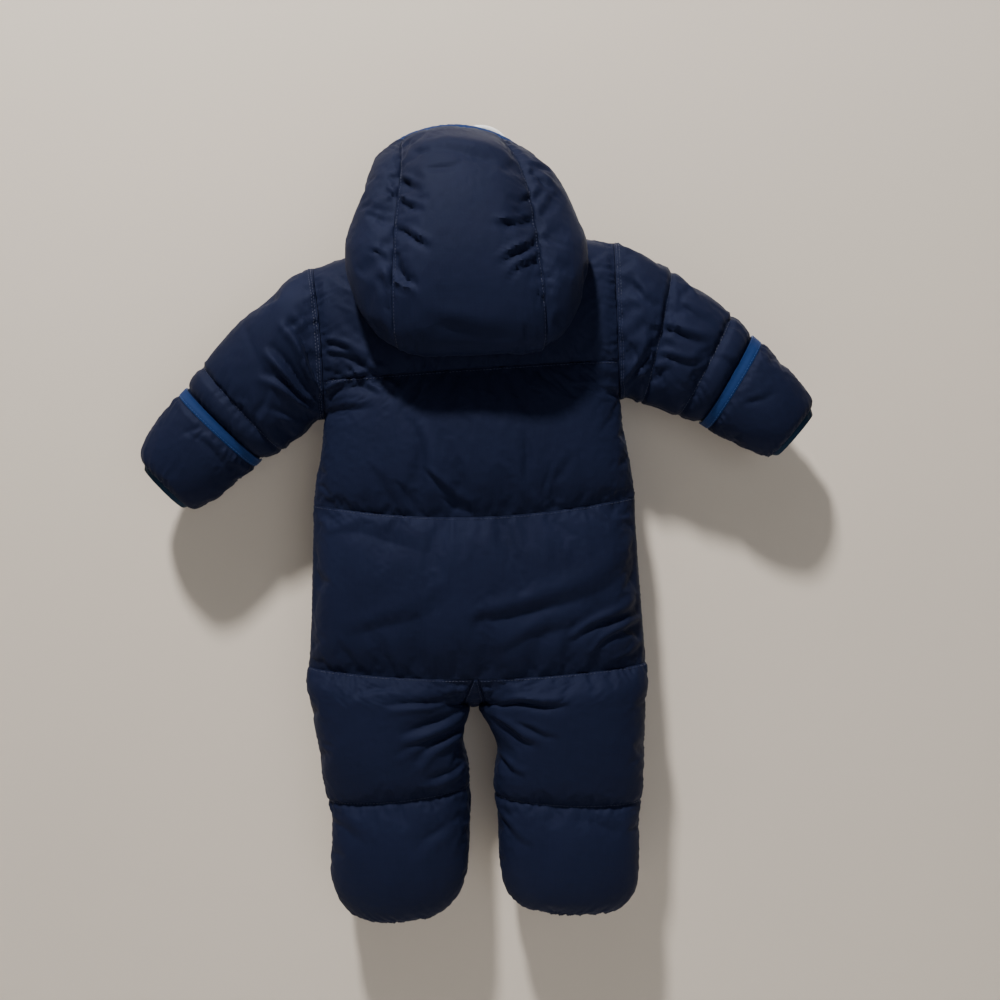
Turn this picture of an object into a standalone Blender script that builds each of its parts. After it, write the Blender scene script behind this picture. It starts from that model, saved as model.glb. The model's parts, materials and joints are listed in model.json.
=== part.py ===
"""A padded baby snowsuit that hangs from a child's plastic hanger.

The suit hangs with its back towards -Y and its zip towards +Y. +X is the wearer's right, +Z is up, and the
origin is the inner top of the hanger's hook. Lengths in the tables are millimetres.

Each piece of cloth is a wall of quilted padding: a plain inner grid of points, and an outer grid that is
moved out along the cloth's normals, thin along the seams and full between them.
"""

import math
from collections import namedtuple

import bmesh
import bpy
from mathutils import Vector
from mathutils.bvhtree import BVHTree

MM = 0.001

# Driving sizes of the cloth
SEAM_GAP = 0.3            # clear space between two pieces that are sewn together
SHELL = 3.0               # padded cloth where a seam holds it flat
BODY_PUFF = 9.0           # extra thickness at the middle of a body channel
YOKE_PUFF = 3.0
FRONT_PUFF = 8.0
LEG_PUFF = 8.0
SLEEVE_PUFF = 7.0
HOOD_PUFF = 7.0
FLAP_PUFF = 5.0
BINDING_PROUD = 1.0       # how far a binding stands out from the cloth that it edges
PUFF_SAG = 1.2            # above 1, the padding hangs low in its channel
ROUNDNESS = 0.7           # exponent of the body's cross-section, 1 for an ellipse, less for a fuller one

# Columns and rows of the body's grid
BODY_COLUMNS = 20
SHOULDER_COLUMNS = 6      # columns from an armhole to the neck
YOKE_ROWS = 8
ARMHOLE_ROWS = 12
CHEST_ROWS = 4            # rows from the underarm to the first waist seam
WAIST_ROWS = 7
LEG_COLUMNS = 10
SLEEVE_COLUMNS = 24
HOOD_COLUMNS = 24

# Armholes: loops from the shoulder's end down to the underarm, on a gently bowed upright surface
Armhole = namedtuple("Armhole", "top_x top_z under_x under_z bow")
ARMHOLE_LEFT = Armhole(-165.0, -139.0, -153.0, -284.0, 5.5)
ARMHOLE_RIGHT = Armhole(132.0, -114.0, 138.0, -265.0, -2.0)
ARMHOLE_DEPTH = 34.0      # half of the armhole's width, front to back
ARMHOLE_POWER = 0.8
UNDERARM_EASE = 0.7       # how far the body keeps inside the armhole's surface at the underarm
YOKE_ANGLE = math.radians(124.0)    # how far round the armhole the yoke's seam meets it

# Neck opening, between the two shoulder seams
NECK_CORNER_LEFT_Z = -108.0
NECK_CORNER_RIGHT_Z = -99.0
NECK_BACK_DEPTH = 22.0
NECK_FRONT_DEPTH = 26.0
NECK_BACK_DIP = 3.0
NECK_FRONT_DIP = 30.0

# Height of the body's middle line at each seam level
YOKE_MIDDLE_Z = -242.0
UNDERARM_MIDDLE_Z = -276.0
FIRST_WAIST = (-372.0, -384.0, -364.0)      # left side, middle, right side
SECOND_WAIST = (-532.0, -540.0, -528.0)

# Body sides below the armholes, and depths of the body from its middle plane
BodyRow = namedtuple("BodyRow", "z left right back front")
BODY = [
    BodyRow(-200.0, -153.0, 133.0, 39.0, 35.0),
    BodyRow(-265.0, -153.0, 138.0, 42.0, 36.0),
    BodyRow(-284.0, -153.0, 139.0, 42.0, 36.0),
    BodyRow(-321.0, -156.0, 146.0, 43.0, 37.0),
    BodyRow(-359.0, -163.0, 152.0, 43.0, 37.0),
    BodyRow(-384.0, -164.0, 153.0, 41.0, 36.0),
    BodyRow(-416.0, -164.5, 155.0, 43.0, 38.0),
    BodyRow(-456.0, -165.5, 158.0, 44.0, 39.0),
    BodyRow(-496.0, -166.5, 161.0, 43.0, 38.0),
    BodyRow(-520.0, -168.0, 163.0, 42.0, 37.0),
    BodyRow(-540.0, -169.0, 163.0, 40.0, 36.0),
]

# Legs, from the second waist seam to the hem. closing runs from 0, where the leg's section is a quarter of
# the body, to 1, where it is a tube of its own.
LegRow = namedtuple("LegRow", "outer_z inner_z outer_x inner_x back front closing")
LEG_LEFT = [
    LegRow(-532.0, -540.0, -169.0, -5.5, 40.0, 36.0, 0.0),
    LegRow(-548.0, -553.0, -169.0, -12.0, 40.0, 36.0, 0.5),
    LegRow(-557.0, -563.0, -167.5, -16.0, 40.0, 36.0, 0.75),
    LegRow(-568.0, -571.0, -165.0, -13.5, 39.0, 36.0, 1.0),
    LegRow(-588.0, -588.0, -161.0, -17.5, 38.0, 36.0, 1.0),
    LegRow(-612.0, -609.0, -156.0, -20.0, 37.0, 35.0, 1.0),
    LegRow(-638.0, -630.0, -153.0, -15.0, 36.0, 34.0, 1.0),
    LegRow(-664.0, -651.0, -148.0, -13.0, 34.0, 32.0, 1.0),
    LegRow(-682.0, -674.0, -144.0, -13.0, 35.0, 33.0, 1.0),
    LegRow(-708.0, -702.0, -143.0, -14.0, 36.0, 34.0, 1.0),
    LegRow(-734.0, -731.0, -143.0, -16.0, 35.0, 33.0, 1.0),
    LegRow(-755.0, -752.0, -137.0, -23.0, 32.0, 30.0, 1.0),
    LegRow(-770.0, -767.0, -127.0, -35.0, 27.0, 25.0, 1.0),
    LegRow(-776.0, -774.0, -117.0, -46.0, 22.0, 20.0, 1.0),
]
LEG_RIGHT = [
    LegRow(-528.0, -540.0, 163.0, -0.5, 40.0, 36.0, 0.0),
    LegRow(-546.0, -553.0, 164.0, 3.0, 40.0, 36.0, 0.5),
    LegRow(-556.0, -563.0, 163.0, 5.0, 40.0, 36.0, 0.75),
    LegRow(-567.0, -571.0, 162.0, 2.0, 39.0, 36.0, 1.0),
    LegRow(-588.0, -588.0, 161.0, 11.0, 38.0, 36.0, 1.0),
    LegRow(-612.0, -612.0, 160.0, 20.0, 37.0, 35.0, 1.0),
    LegRow(-638.0, -638.0, 160.0, 17.0, 36.0, 34.0, 1.0),
    LegRow(-664.0, -659.0, 158.0, 17.0, 34.0, 32.0, 1.0),
    LegRow(-682.0, -678.0, 155.0, 20.0, 35.0, 33.0, 1.0),
    LegRow(-708.0, -704.0, 154.0, 22.0, 36.0, 34.0, 1.0),
    LegRow(-732.0, -729.0, 153.0, 24.0, 35.0, 33.0, 1.0),
    LegRow(-751.0, -749.0, 150.0, 29.0, 32.0, 30.0, 1.0),
    LegRow(-763.0, -761.0, 142.0, 38.0, 27.0, 25.0, 1.0),
    LegRow(-769.0, -767.0, 133.0, 48.0, 22.0, 20.0, 1.0),
]
CROTCH_ROW = 3            # the row where each leg closes into a tube
LEG_SEAM_ROW = 7          # the row of the quilting line below the knee

# Sleeves: each row is one section, by the points of its upper and lower edge. inset is how far the tube's
# inner face lies inside that outline, and line is 1 where a quilting line runs round the sleeve.
SleeveRow = namedtuple("SleeveRow", "top_x top_z low_x low_z depth inset line")
SLEEVE_LEFT = [
    SleeveRow(-190.0, -148.0, -163.0, -289.0, 37.0, 5.0, 0),
    SleeveRow(-213.0, -165.0, -170.0, -296.0, 38.0, 7.0, 0),
    SleeveRow(-234.0, -184.0, -178.0, -304.0, 36.0, 5.5, 1),
    SleeveRow(-256.0, -206.0, -186.0, -311.0, 37.0, 7.5, 0),
    SleeveRow(-276.0, -233.0, -197.0, -319.0, 35.0, 5.0, 1),
    SleeveRow(-285.0, -244.0, -207.0, -324.0, 34.0, 6.0, 0),
    SleeveRow(-293.0, -254.0, -216.0, -329.0, 33.0, 7.5, 0),
    SleeveRow(-300.0, -262.0, -223.5, -335.0, 33.0, 7.5, 0),
    SleeveRow(-314.0, -280.0, -242.0, -350.0, 32.0, 8.5, 0),
    SleeveRow(-325.0, -297.0, -261.0, -366.0, 30.0, 8.5, 0),
    SleeveRow(-334.0, -313.0, -277.0, -375.0, 27.0, 8.5, 0),
    SleeveRow(-336.0, -323.0, -284.0, -377.0, 24.0, 8.5, 0),
    SleeveRow(-337.0, -331.0, -291.0, -379.0, 22.0, 8.5, 0),
]
SLEEVE_RIGHT = [
    SleeveRow(151.0, -119.0, 147.0, -266.5, 37.0, 5.0, 0),
    SleeveRow(171.0, -128.0, 153.0, -269.5, 38.0, 7.0, 0),
    SleeveRow(190.0, -138.0, 161.0, -273.0, 36.0, 5.5, 1),
    SleeveRow(220.0, -157.0, 177.0, -278.0, 37.0, 7.5, 0),
    SleeveRow(250.0, -182.0, 197.0, -285.0, 35.0, 5.0, 1),
    SleeveRow(261.0, -192.0, 208.0, -289.0, 34.0, 6.0, 0),
    SleeveRow(271.0, -201.0, 218.0, -293.0, 33.0, 7.5, 0),
    SleeveRow(279.5, -209.0, 227.0, -298.0, 33.0, 7.5, 0),
    SleeveRow(297.0, -228.0, 246.0, -308.0, 32.0, 8.5, 0),
    SleeveRow(312.0, -244.0, 263.0, -316.0, 30.0, 8.5, 0),
    SleeveRow(325.0, -260.0, 279.0, -323.0, 27.0, 8.5, 0),
    SleeveRow(331.0, -269.0, 286.0, -326.0, 24.0, 8.5, 0),
    SleeveRow(334.0, -277.0, 292.0, -327.0, 22.0, 8.5, 0),
]
BAND_ROW = 7              # rows of the finished sleeve grid, counted from the armhole
FLAP_END_ROW = 12
CUFF_ROW = 12
FLAP_WRAP = 1             # columns by which a mitt flap reaches past the sleeve's upper and lower edge

# Hood: hoops that fan from the front of the neck. Each starts and ends beside the zip, and its middle lies
# on the centre strip, at middle_y and middle_z. fall says how late a hoop leaves the height of its ends,
# square how soon it reaches its full width, and hem_share how far it follows the neck's edge instead.
HoodHoop = namedtuple("HoodHoop", "middle_y middle_z centre_x half_width end_z puff fall square hem_share")
HOOD = [
    HoodHoop(-14.0, -6.5, -30.0, 70.0, -84.0, 0.0, 0.62, 1.0, 0.0),
    HoodHoop(-22.0, -8.0, -29.0, 73.0, -90.0, 0.0, 0.62, 1.0, 0.0),
    HoodHoop(-42.0, -21.0, -26.0, 79.0, -93.0, 0.6, 0.65, 1.0, 0.0),
    HoodHoop(-65.0, -43.0, -19.0, 85.0, -95.0, 1.0, 0.70, 1.0, 0.0),
    HoodHoop(-81.0, -76.0, -14.0, 93.0, -97.0, 1.0, 0.85, 0.9, 0.0),
    HoodHoop(-91.0, -114.0, -12.0, 100.0, -99.0, 1.0, 1.1, 0.8, 0.0),
    HoodHoop(-96.0, -152.0, -9.5, 104.0, -101.0, 1.0, 1.5, 0.62, 0.0),
    HoodHoop(-94.0, -192.0, -8.0, 105.0, -103.0, 0.9, 1.8, 0.48, 0.0),
    HoodHoop(-84.0, -224.0, -7.0, 105.0, -105.0, 0.6, 2.0, 0.38, 0.0),
    HoodHoop(-69.0, -227.0, -7.0, 97.0, -107.0, 0.2, 2.2, 0.4, 0.0),
    HoodHoop(-58.0, -194.0, -10.0, 86.0, -110.0, 0.0, 2.2, 0.6, 0.0),
    HoodHoop(-53.0, -160.0, -12.0, 79.0, -113.0, 0.0, 2.2, 0.8, 0.1),
    HoodHoop(-50.0, -132.0, -14.0, 74.0, -116.0, 0.0, 2.2, 1.0, 0.35),
    HoodHoop(-44.0, -110.0, -16.0, 70.0, -120.0, 0.0, 2.0, 1.0, 0.7),
    HoodHoop(-30.0, -102.0, -16.5, 66.0, -125.0, 0.0, 2.0, 1.0, 1.0),
]
HOOD_END_X = 19.0         # half of the space between the hood's two front ends
HOOD_END_CENTRE = -16.5
HOOD_END_Y = 25.0
HOOP_ROUNDNESS = 0.8
HOOP_FLARE = 3.0
HOOD_TILT = 4.5           # how much higher the hood's right end is than its middle
STRIP_COLUMNS = 8         # columns of each of the hood's three pieces
STRIP_SHARE = 0.64        # half of the centre strip's width, as a share of half of its hoop's
HOOD_CLEARANCE = 0.6      # space between the hood and the neck's edge
REST_CLEARANCE = 0.9      # space between the hood and the shoulders that it lies on, away from the body's middle
BODY_MIDDLE_Z = -200.0    # height of the line, along X inside the body, that the hood is moved away from
CLEARING_PASSES = 8
NECK_TURN = math.radians(72.0)      # how far the hood's neck edge runs on to the front, past each shoulder

# Largest folds of the back, as soft troughs in the cloth: the ends of each, its width and its depth
Fold = namedtuple("Fold", "start_x start_z end_x end_z width depth")
FOLDS = [
    Fold(-61.0, -284.0, -57.0, -350.0, 10.0, 4.5),
    Fold(-150.0, -268.0, -104.0, -250.0, 9.0, 4.0),
    Fold(46.0, -308.0, 51.0, -352.0, 9.0, 3.5),
    Fold(-42.0, -352.0, -8.0, -372.0, 9.0, 3.5),
    Fold(30.0, -478.0, 140.0, -430.0, 14.0, 3.0),
    Fold(112.0, -512.0, 150.0, -478.0, 9.0, 3.5),
    Fold(-22.0, -574.0, -72.0, -604.0, 9.0, 4.5),
    Fold(-22.0, -606.0, -58.0, -628.0, 8.0, 3.5),
    Fold(24.0, -574.0, 76.0, -573.0, 9.0, 4.5),
    Fold(24.0, -594.0, 50.0, -610.0, 8.0, 3.5),
    Fold(24.0, -684.0, 48.0, -708.0, 8.0, 3.0),
    Fold(-158.0, -276.0, -184.0, -212.0, 8.0, 4.5),
    Fold(-164.0, -284.0, -208.0, -240.0, 8.0, 4.0),
    Fold(150.0, -255.0, 176.0, -205.0, 8.0, 4.0),
    Fold(182.0, -222.0, 214.0, -226.0, 8.0, 3.5),
]
THINNEST = 2.4            # cloth at the bottom of the deepest fold

# Centre front zip
ZIP_HALF_WIDTH = 6.2
TAPE_THICKNESS = 2.0
SLIDER_SIZE = (9.0, 5.0, 12.0)
SLIDER_ROW = 3
PULL_SIZE = (6.0, 1.6, 22.0)
PULL_CLEARANCE = 0.6

# Hanger
HOOK_RADIUS = 29.5        # to the middle of the rod
ROD_RADIUS = 3.5
ARM_HEIGHT = 11.0
ARM_HALF_DEPTH = 4.0
ARM_CLEARANCE = 0.9       # between the hanger's arms and the cloth over them
ARM_END_LEFT = -146.0
ARM_END_RIGHT = 116.0
CREST_X = -2.0


# ---------------------------------------------------------------- materials

Finish = namedtuple("Finish", "name colour roughness metallic")
SHELL_CLOTH = Finish("shell_cloth", (0.012, 0.020, 0.060), 0.55, 0.0)
BINDING_CLOTH = Finish("binding_cloth", (0.010, 0.075, 0.260), 0.60, 0.0)
ZIP_TAPE = Finish("zip_tape", (0.012, 0.018, 0.050), 0.80, 0.0)
ZIP_METAL = Finish("zip_metal", (0.030, 0.040, 0.080), 0.35, 0.6)
HANGER_PLASTIC = Finish("hanger_plastic", (0.85, 0.87, 0.90), 0.35, 0.0)


def material_of(finish):
    """The material with a finish's colour, roughness and metallic value, made on first use."""
    material = bpy.data.materials.get(finish.name)
    if material is None:
        material = bpy.data.materials.new(finish.name)
        material.use_nodes = True
        shader = material.node_tree.nodes["Principled BSDF"]
        shader.inputs["Base Color"].default_value = (*finish.colour, 1.0)
        shader.inputs["Roughness"].default_value = finish.roughness
        shader.inputs["Metallic"].default_value = finish.metallic
        material.diffuse_color = (*finish.colour, 1.0)
    return material


# ---------------------------------------------------------------- small helpers

def clear_scene():
    """Remove every object of the scene."""
    for item in list(bpy.data.objects):
        bpy.data.objects.remove(item, do_unlink=True)


def lerp(start, end, share):
    """The value at a share of the way from start to end."""
    return start + (end - start) * share


def smooth_at(table, key, position, column):
    """A column of a table at a position between its rows, on a smooth curve through them."""
    rows = sorted(table, key=lambda row: -getattr(row, key))
    places = [getattr(row, key) for row in rows]
    values = [getattr(row, column) for row in rows]
    position = min(max(position, places[-1]), places[0])
    index = 0
    while index < len(rows) - 2 and position < places[index + 1]:
        index += 1
    before = max(index - 1, 0)
    after = min(index + 2, len(rows) - 1)
    span = places[index + 1] - places[index]
    share = (position - places[index]) / span
    slope_in = (values[index + 1] - values[before]) / (places[index + 1] - places[before]) * span
    slope_out = (values[after] - values[index]) / (places[after] - places[index]) * span
    square, cube = share ** 2, share ** 3
    return ((2 * cube - 3 * square + 1) * values[index] + (cube - 2 * square + share) * slope_in
            + (3 * square - 2 * cube) * values[index + 1] + (cube - square) * slope_out)


def pillow(share):
    """How full the padding is at a share of the way down a channel: 0 at its seams, 1 near the middle."""
    share = min(max(share, 0.0), 1.0) ** PUFF_SAG
    return math.sin(math.pi * share) ** 0.6


def channel_fullness(points, seam_rows):
    """How full the padding is at each point of a grid whose seam rows hold it flat."""
    fullness = [[0.0] * len(line) for line in points]
    for first, last in zip(seam_rows, seam_rows[1:]):
        for j in range(len(points[0])):
            steps = [(points[i][j] - points[i - 1][j]).length for i in range(first + 1, last + 1)]
            for i in range(first + 1, last):
                fullness[i][j] = pillow(sum(steps[:i - first]) / sum(steps))
    return fullness


# ---------------------------------------------------------------- grids of points

def grid_normals(points, closed=False):
    """Outward normals of a grid of points. A closed grid joins its last column to its first."""
    rows, columns = len(points), len(points[0])
    centre = sum((point for line in points for point in line), Vector()) / (rows * columns)
    normals, facing = [], 0.0
    for i in range(rows):
        line = []
        for j in range(columns):
            left = points[i][(j - 1) % columns] if closed or j else points[i][j]
            right = points[i][(j + 1) % columns] if closed or j < columns - 1 else points[i][j]
            down = points[min(i + 1, rows - 1)][j] - points[max(i - 1, 0)][j]
            normal = down.cross(right - left).normalized()
            middle = sum(points[i], Vector()) / columns if closed else centre
            facing += normal.dot((points[i][j] - middle).normalized())
            line.append(normal)
        normals.append(line)
    if facing < 0:
        normals = [[-normal for normal in line] for line in normals]
    return normals


def moved_out(points, normals, thickness):
    """The grid moved along its normals, by a thickness that depends on the row and the column."""
    return [[point + normal * thickness(i, j) for j, (point, normal) in enumerate(zip(line, directions))]
            for i, (line, directions) in enumerate(zip(points, normals))]


def fold_depth(point):
    """How deep the folds of the back are at a point."""
    if point.y > 0:
        return 0.0
    depth = 0.0
    for fold in FOLDS:
        start, end = Vector((fold.start_x, fold.start_z)), Vector((fold.end_x, fold.end_z))
        run, reach = end - start, Vector((point.x, point.z)) - start
        share = min(max(reach.dot(run) / run.length_squared, 0.0), 1.0)
        depth = max(depth, fold.depth * math.exp(-((reach - run * share).length / fold.width) ** 2))
    return depth


def folded_out(points, normals, thickness):
    """The grid moved along its normals by a thickness, less the depth of the folds."""
    return moved_out(points, normals,
                     lambda i, j: max(thickness(i, j) - fold_depth(points[i][j]), THINNEST))


def part_of(grid, first_row, last_row, first_column, last_column):
    """The part of a grid between two rows and two columns, both included."""
    return [line[first_column:last_column + 1] for line in grid[first_row:last_row + 1]]


def drawn_back(inner, outer, borders, gap=SEAM_GAP):
    """Both grids with the named borders drawn back by half a seam gap, along the cloth."""
    inner = [[point.copy() for point in line] for line in inner]
    outer = [[point.copy() for point in line] for line in outer]
    rows, columns = len(inner), len(inner[0])
    steps = []
    if "top" in borders:
        steps += [((0, j), inner[1][j] - inner[0][j]) for j in range(columns)]
    if "bottom" in borders:
        steps += [((rows - 1, j), inner[-2][j] - inner[-1][j]) for j in range(columns)]
    if "start" in borders:
        steps += [((i, 0), inner[i][1] - inner[i][0]) for i in range(rows)]
    if "end" in borders:
        steps += [((i, columns - 1), inner[i][-2] - inner[i][-1]) for i in range(rows)]
    for (i, j), step in steps:
        shift = step.normalized() * (gap / 2)
        inner[i][j] += shift
        outer[i][j] += shift
    return inner, outer


def wall(name, inner, outer, finish, closed=False):
    """One closed solid between two grids of the same size, as an object.

    A closed wall is a tube: its last column joins its first. An open one gets an edge all round.
    """
    rows, columns = len(inner), len(inner[0])
    mesh_data = bmesh.new()
    sides = [[[mesh_data.verts.new(point * MM) for point in line] for line in grid] for grid in (inner, outer)]
    spans = range(columns if closed else columns - 1)
    for side in sides:
        for i in range(rows - 1):
            for j in spans:
                k = (j + 1) % columns
                mesh_data.faces.new((side[i][j], side[i][k], side[i + 1][k], side[i + 1][j]))
    within, without = sides
    for i in (0, rows - 1):
        for j in spans:
            k = (j + 1) % columns
            mesh_data.faces.new((within[i][j], within[i][k], without[i][k], without[i][j]))
    if not closed:
        for j in (0, columns - 1):
            for i in range(rows - 1):
                mesh_data.faces.new((within[i][j], within[i + 1][j], without[i + 1][j], without[i][j]))
    bmesh.ops.recalc_face_normals(mesh_data, faces=mesh_data.faces)
    bmesh.ops.triangulate(mesh_data, faces=mesh_data.faces)
    return finished_object(name, mesh_data, finish)


def finished_object(name, mesh_data, finish):
    """An object with the mesh and one material, shaded smooth but for its edges."""
    mesh = bpy.data.meshes.new(name)
    mesh_data.to_mesh(mesh)
    mesh_data.free()
    mesh.shade_smooth()
    mesh.set_sharp_from_angle(angle=math.radians(50))
    item = bpy.data.objects.new(name, mesh)
    item.data.materials.append(material_of(finish))
    bpy.context.scene.collection.objects.link(item)
    return item


# ---------------------------------------------------------------- body

def armhole_x(armhole, z):
    """Where the armhole's surface lies at a height."""
    share = (armhole.top_z - z) / (armhole.top_z - armhole.under_z)
    share = min(max(share, 0.0), 1.0)
    return lerp(armhole.top_x, armhole.under_x, share) + armhole.bow * 4 * share * (1 - share)


def armhole_angle(row):
    """The angle round the armhole from its top, for a row of the body's grid."""
    if row <= YOKE_ROWS:
        return YOKE_ANGLE * row / YOKE_ROWS
    return lerp(YOKE_ANGLE, math.pi, (row - YOKE_ROWS) / (ARMHOLE_ROWS - YOKE_ROWS))


def armhole_point(armhole, angle):
    """A point of the armhole's loop. Angles up to half a turn are on the back."""
    half_height = (armhole.top_z - armhole.under_z) / 2
    z = armhole.top_z - half_height * (1 - math.cos(angle))
    side = -1.0 if math.sin(angle) >= 0 else 1.0
    y = side * ARMHOLE_DEPTH * abs(math.sin(angle)) ** ARMHOLE_POWER
    return Vector((armhole_x(armhole, z), y, z))


def armhole_normal(armhole, angle):
    """The direction away from the armhole's middle, within its loop."""
    half_height = (armhole.top_z - armhole.under_z) / 2
    return Vector((0.0, -math.sin(angle) * half_height, math.cos(angle) * ARMHOLE_DEPTH)).normalized()


def armhole_width_at(row):
    """Half of the armhole's width, front to back, at a row."""
    if row >= ARMHOLE_ROWS:
        return 0.0
    return ARMHOLE_DEPTH * max(math.sin(armhole_angle(row)), 0.0) ** ARMHOLE_POWER


def across(row, share):
    """The place across the body, 0 at its left edge and 1 at its right, of a column's share of the girth."""
    widest = armhole_width_at(max(row, ARMHOLE_ROWS // 2))
    start = math.asin((widest / BODY[0].back) ** (1 / ROUNDNESS))
    turn = start + (math.pi - 2 * start) * share
    return 0.5 - math.cos(turn) / (2 * math.cos(start))


def depth_across(place, edge_depth, depth):
    """Depth of the body at a place across it: edge_depth at the edges and depth at the middle."""
    fall = 1 - (edge_depth / depth) ** (2 / ROUNDNESS)
    return depth * max(1 - fall * (1 - 2 * place) ** 2, 0.0) ** (ROUNDNESS / 2)


def arched(left, middle, right, place):
    """A value across the body that passes through three given ones."""
    return lerp(left, right, place) + (middle - (left + right) / 2) * 4 * place * (1 - place)


def body_level(row):
    """Heights of the left side, the middle and the right side at a row of the body's grid below the yoke."""
    underarm = (ARMHOLE_LEFT.under_z, UNDERARM_MIDDLE_Z, ARMHOLE_RIGHT.under_z)
    first_seam = ARMHOLE_ROWS + CHEST_ROWS
    if row <= first_seam:
        share = (row - ARMHOLE_ROWS) / CHEST_ROWS
        return tuple(lerp(start, end, share) for start, end in zip(underarm, FIRST_WAIST))
    share = (row - first_seam) / WAIST_ROWS
    return tuple(lerp(start, end, share) for start, end in zip(FIRST_WAIST, SECOND_WAIST))


def neck_row_point(place, neck_start, neck_end, front):
    """A point of the top row: along a shoulder seam, or round the neck between the two corners."""
    if place <= neck_start:
        z = lerp(ARMHOLE_LEFT.top_z, NECK_CORNER_LEFT_Z, place / neck_start)
        return 0.0, z
    if place >= neck_end:
        z = lerp(ARMHOLE_RIGHT.top_z, NECK_CORNER_RIGHT_Z, (1 - place) / (1 - neck_end))
        return 0.0, z
    share = (place - neck_start) / (neck_end - neck_start)
    bulge = math.sqrt(max(1 - (2 * share - 1) ** 2, 0.0))
    corner_z = lerp(NECK_CORNER_LEFT_Z, NECK_CORNER_RIGHT_Z, share)
    if front:
        return NECK_FRONT_DEPTH * bulge, corner_z - NECK_FRONT_DIP * bulge ** 2
    return -NECK_BACK_DEPTH * bulge, corner_z - NECK_BACK_DIP * bulge


def yoke_seam_z(place):
    """Height of the yoke's seam at a place across the body."""
    left = armhole_point(ARMHOLE_LEFT, armhole_angle(YOKE_ROWS)).z
    right = armhole_point(ARMHOLE_RIGHT, armhole_angle(YOKE_ROWS)).z
    return arched(left, YOKE_MIDDLE_Z, right, place)


def body_point(row, place, front):
    """A point of the body's inner surface, at a row and at a place across it."""
    side = 1.0 if front else -1.0
    column = "front" if front else "back"
    if row <= ARMHOLE_ROWS:
        angle = armhole_angle(row)
        edges = armhole_point(ARMHOLE_LEFT, angle), armhole_point(ARMHOLE_RIGHT, angle)
        x = lerp(edges[0].x, edges[1].x, place)
        yoke_share = (1 - math.cos(angle)) / (1 - math.cos(armhole_angle(YOKE_ROWS)))
        neck = across(0, SHOULDER_COLUMNS / BODY_COLUMNS)
        top_y, top_z = neck_row_point(place, neck, 1 - neck, front)
        seam_z = yoke_seam_z(place)
        if row <= YOKE_ROWS:
            z = lerp(top_z, seam_z, yoke_share)
        else:
            under_z = arched(ARMHOLE_LEFT.under_z, UNDERARM_MIDDLE_Z, ARMHOLE_RIGHT.under_z, place)
            z = lerp(seam_z, under_z, (math.cos(armhole_angle(YOKE_ROWS)) - math.cos(angle)) /
                     (math.cos(armhole_angle(YOKE_ROWS)) + 1))
        depth = smooth_at(BODY, "z", min(z, BODY[0].z), column)
        if row <= ARMHOLE_ROWS // 2:
            full = depth_across(place, ARMHOLE_DEPTH, depth)
            y = lerp(top_y, side * full, math.sin(angle) ** ARMHOLE_POWER)
        else:
            y = side * depth_across(place, armhole_width_at(row), depth)
        return Vector((x, y, z))
    left_z, middle_z, right_z = body_level(row)
    x = lerp(smooth_at(BODY, "z", left_z, "left"), smooth_at(BODY, "z", right_z, "right"), place)
    y = side * depth_across(place, 0.0, smooth_at(BODY, "z", middle_z, column))
    return Vector((x, y, arched(left_z, middle_z, right_z, place)))


BODY_ROWS = ARMHOLE_ROWS + CHEST_ROWS + WAIST_ROWS
BODY_SEAMS = (0, YOKE_ROWS, ARMHOLE_ROWS + CHEST_ROWS, BODY_ROWS)


def flat(normal):
    """The normal turned level."""
    return Vector((normal.x, normal.y, 0.0)).normalized()


def edge_normal(armhole, row, side):
    """Normal at a side edge of the body: round the armhole above the underarm, sideways below it."""
    if row <= ARMHOLE_ROWS:
        return armhole_normal(armhole, armhole_angle(row))
    return Vector((side, 0.0, 0.0))


def body_normals(points, front, shoulder_columns):
    """Normals of the body's grid, shared along every seam with the pieces that meet there."""
    normals = grid_normals(points)
    for i, line in enumerate(normals):
        for j, normal in enumerate(line):
            if normal.y > 0 and not front or normal.y < 0 and front:
                line[j] = Vector((normal.x, 0.0, normal.z)).normalized()
        if i in (BODY_SEAMS[2], BODY_SEAMS[3]):
            normals[i] = [flat(normal) for normal in line]
    for j in shoulder_columns:
        normals[0][j] = Vector((0.0, 0.0, 1.0))
    return normals


def body_back():
    """Points and normals of the whole back, from the shoulders to the second waist seam."""
    points = [[body_point(i, across(i, j / BODY_COLUMNS), False) for j in range(BODY_COLUMNS + 1)]
              for i in range(BODY_ROWS + 1)]
    shoulders = [*range(SHOULDER_COLUMNS + 1), *range(BODY_COLUMNS - SHOULDER_COLUMNS, BODY_COLUMNS + 1)]
    normals = body_normals(points, False, shoulders)
    for i in range(BODY_ROWS + 1):
        normals[i][0] = edge_normal(ARMHOLE_LEFT, i, -1.0)
        normals[i][-1] = edge_normal(ARMHOLE_RIGHT, i, 1.0)
    return points, normals


def mirrored_back(normal):
    """A normal of the back, seen on the front."""
    return Vector((normal.x, -normal.y, normal.z))


def body_front(left):
    """Points and normals of one front, from its side seam to the zip."""
    points = []
    for i in range(BODY_ROWS + 1):
        edges = body_point(i, 0.0, True), body_point(i, 1.0, True)
        zip_place = 0.5 - ZIP_HALF_WIDTH / (edges[1].x - edges[0].x)
        places = [across(i, j / BODY_COLUMNS) for j in range(BODY_COLUMNS // 2)] + [zip_place]
        points.append([body_point(i, place if left else 1 - place, True) for place in places])
    normals = body_normals(points, True, range(SHOULDER_COLUMNS + 1))
    armhole = ARMHOLE_LEFT if left else ARMHOLE_RIGHT
    for i in range(BODY_ROWS + 1):
        normals[i][0] = mirrored_back(edge_normal(armhole, i, -1.0 if left else 1.0))
        normals[i][-1].x = 0.0
        normals[i][-1].normalize()
    return points, normals


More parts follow.
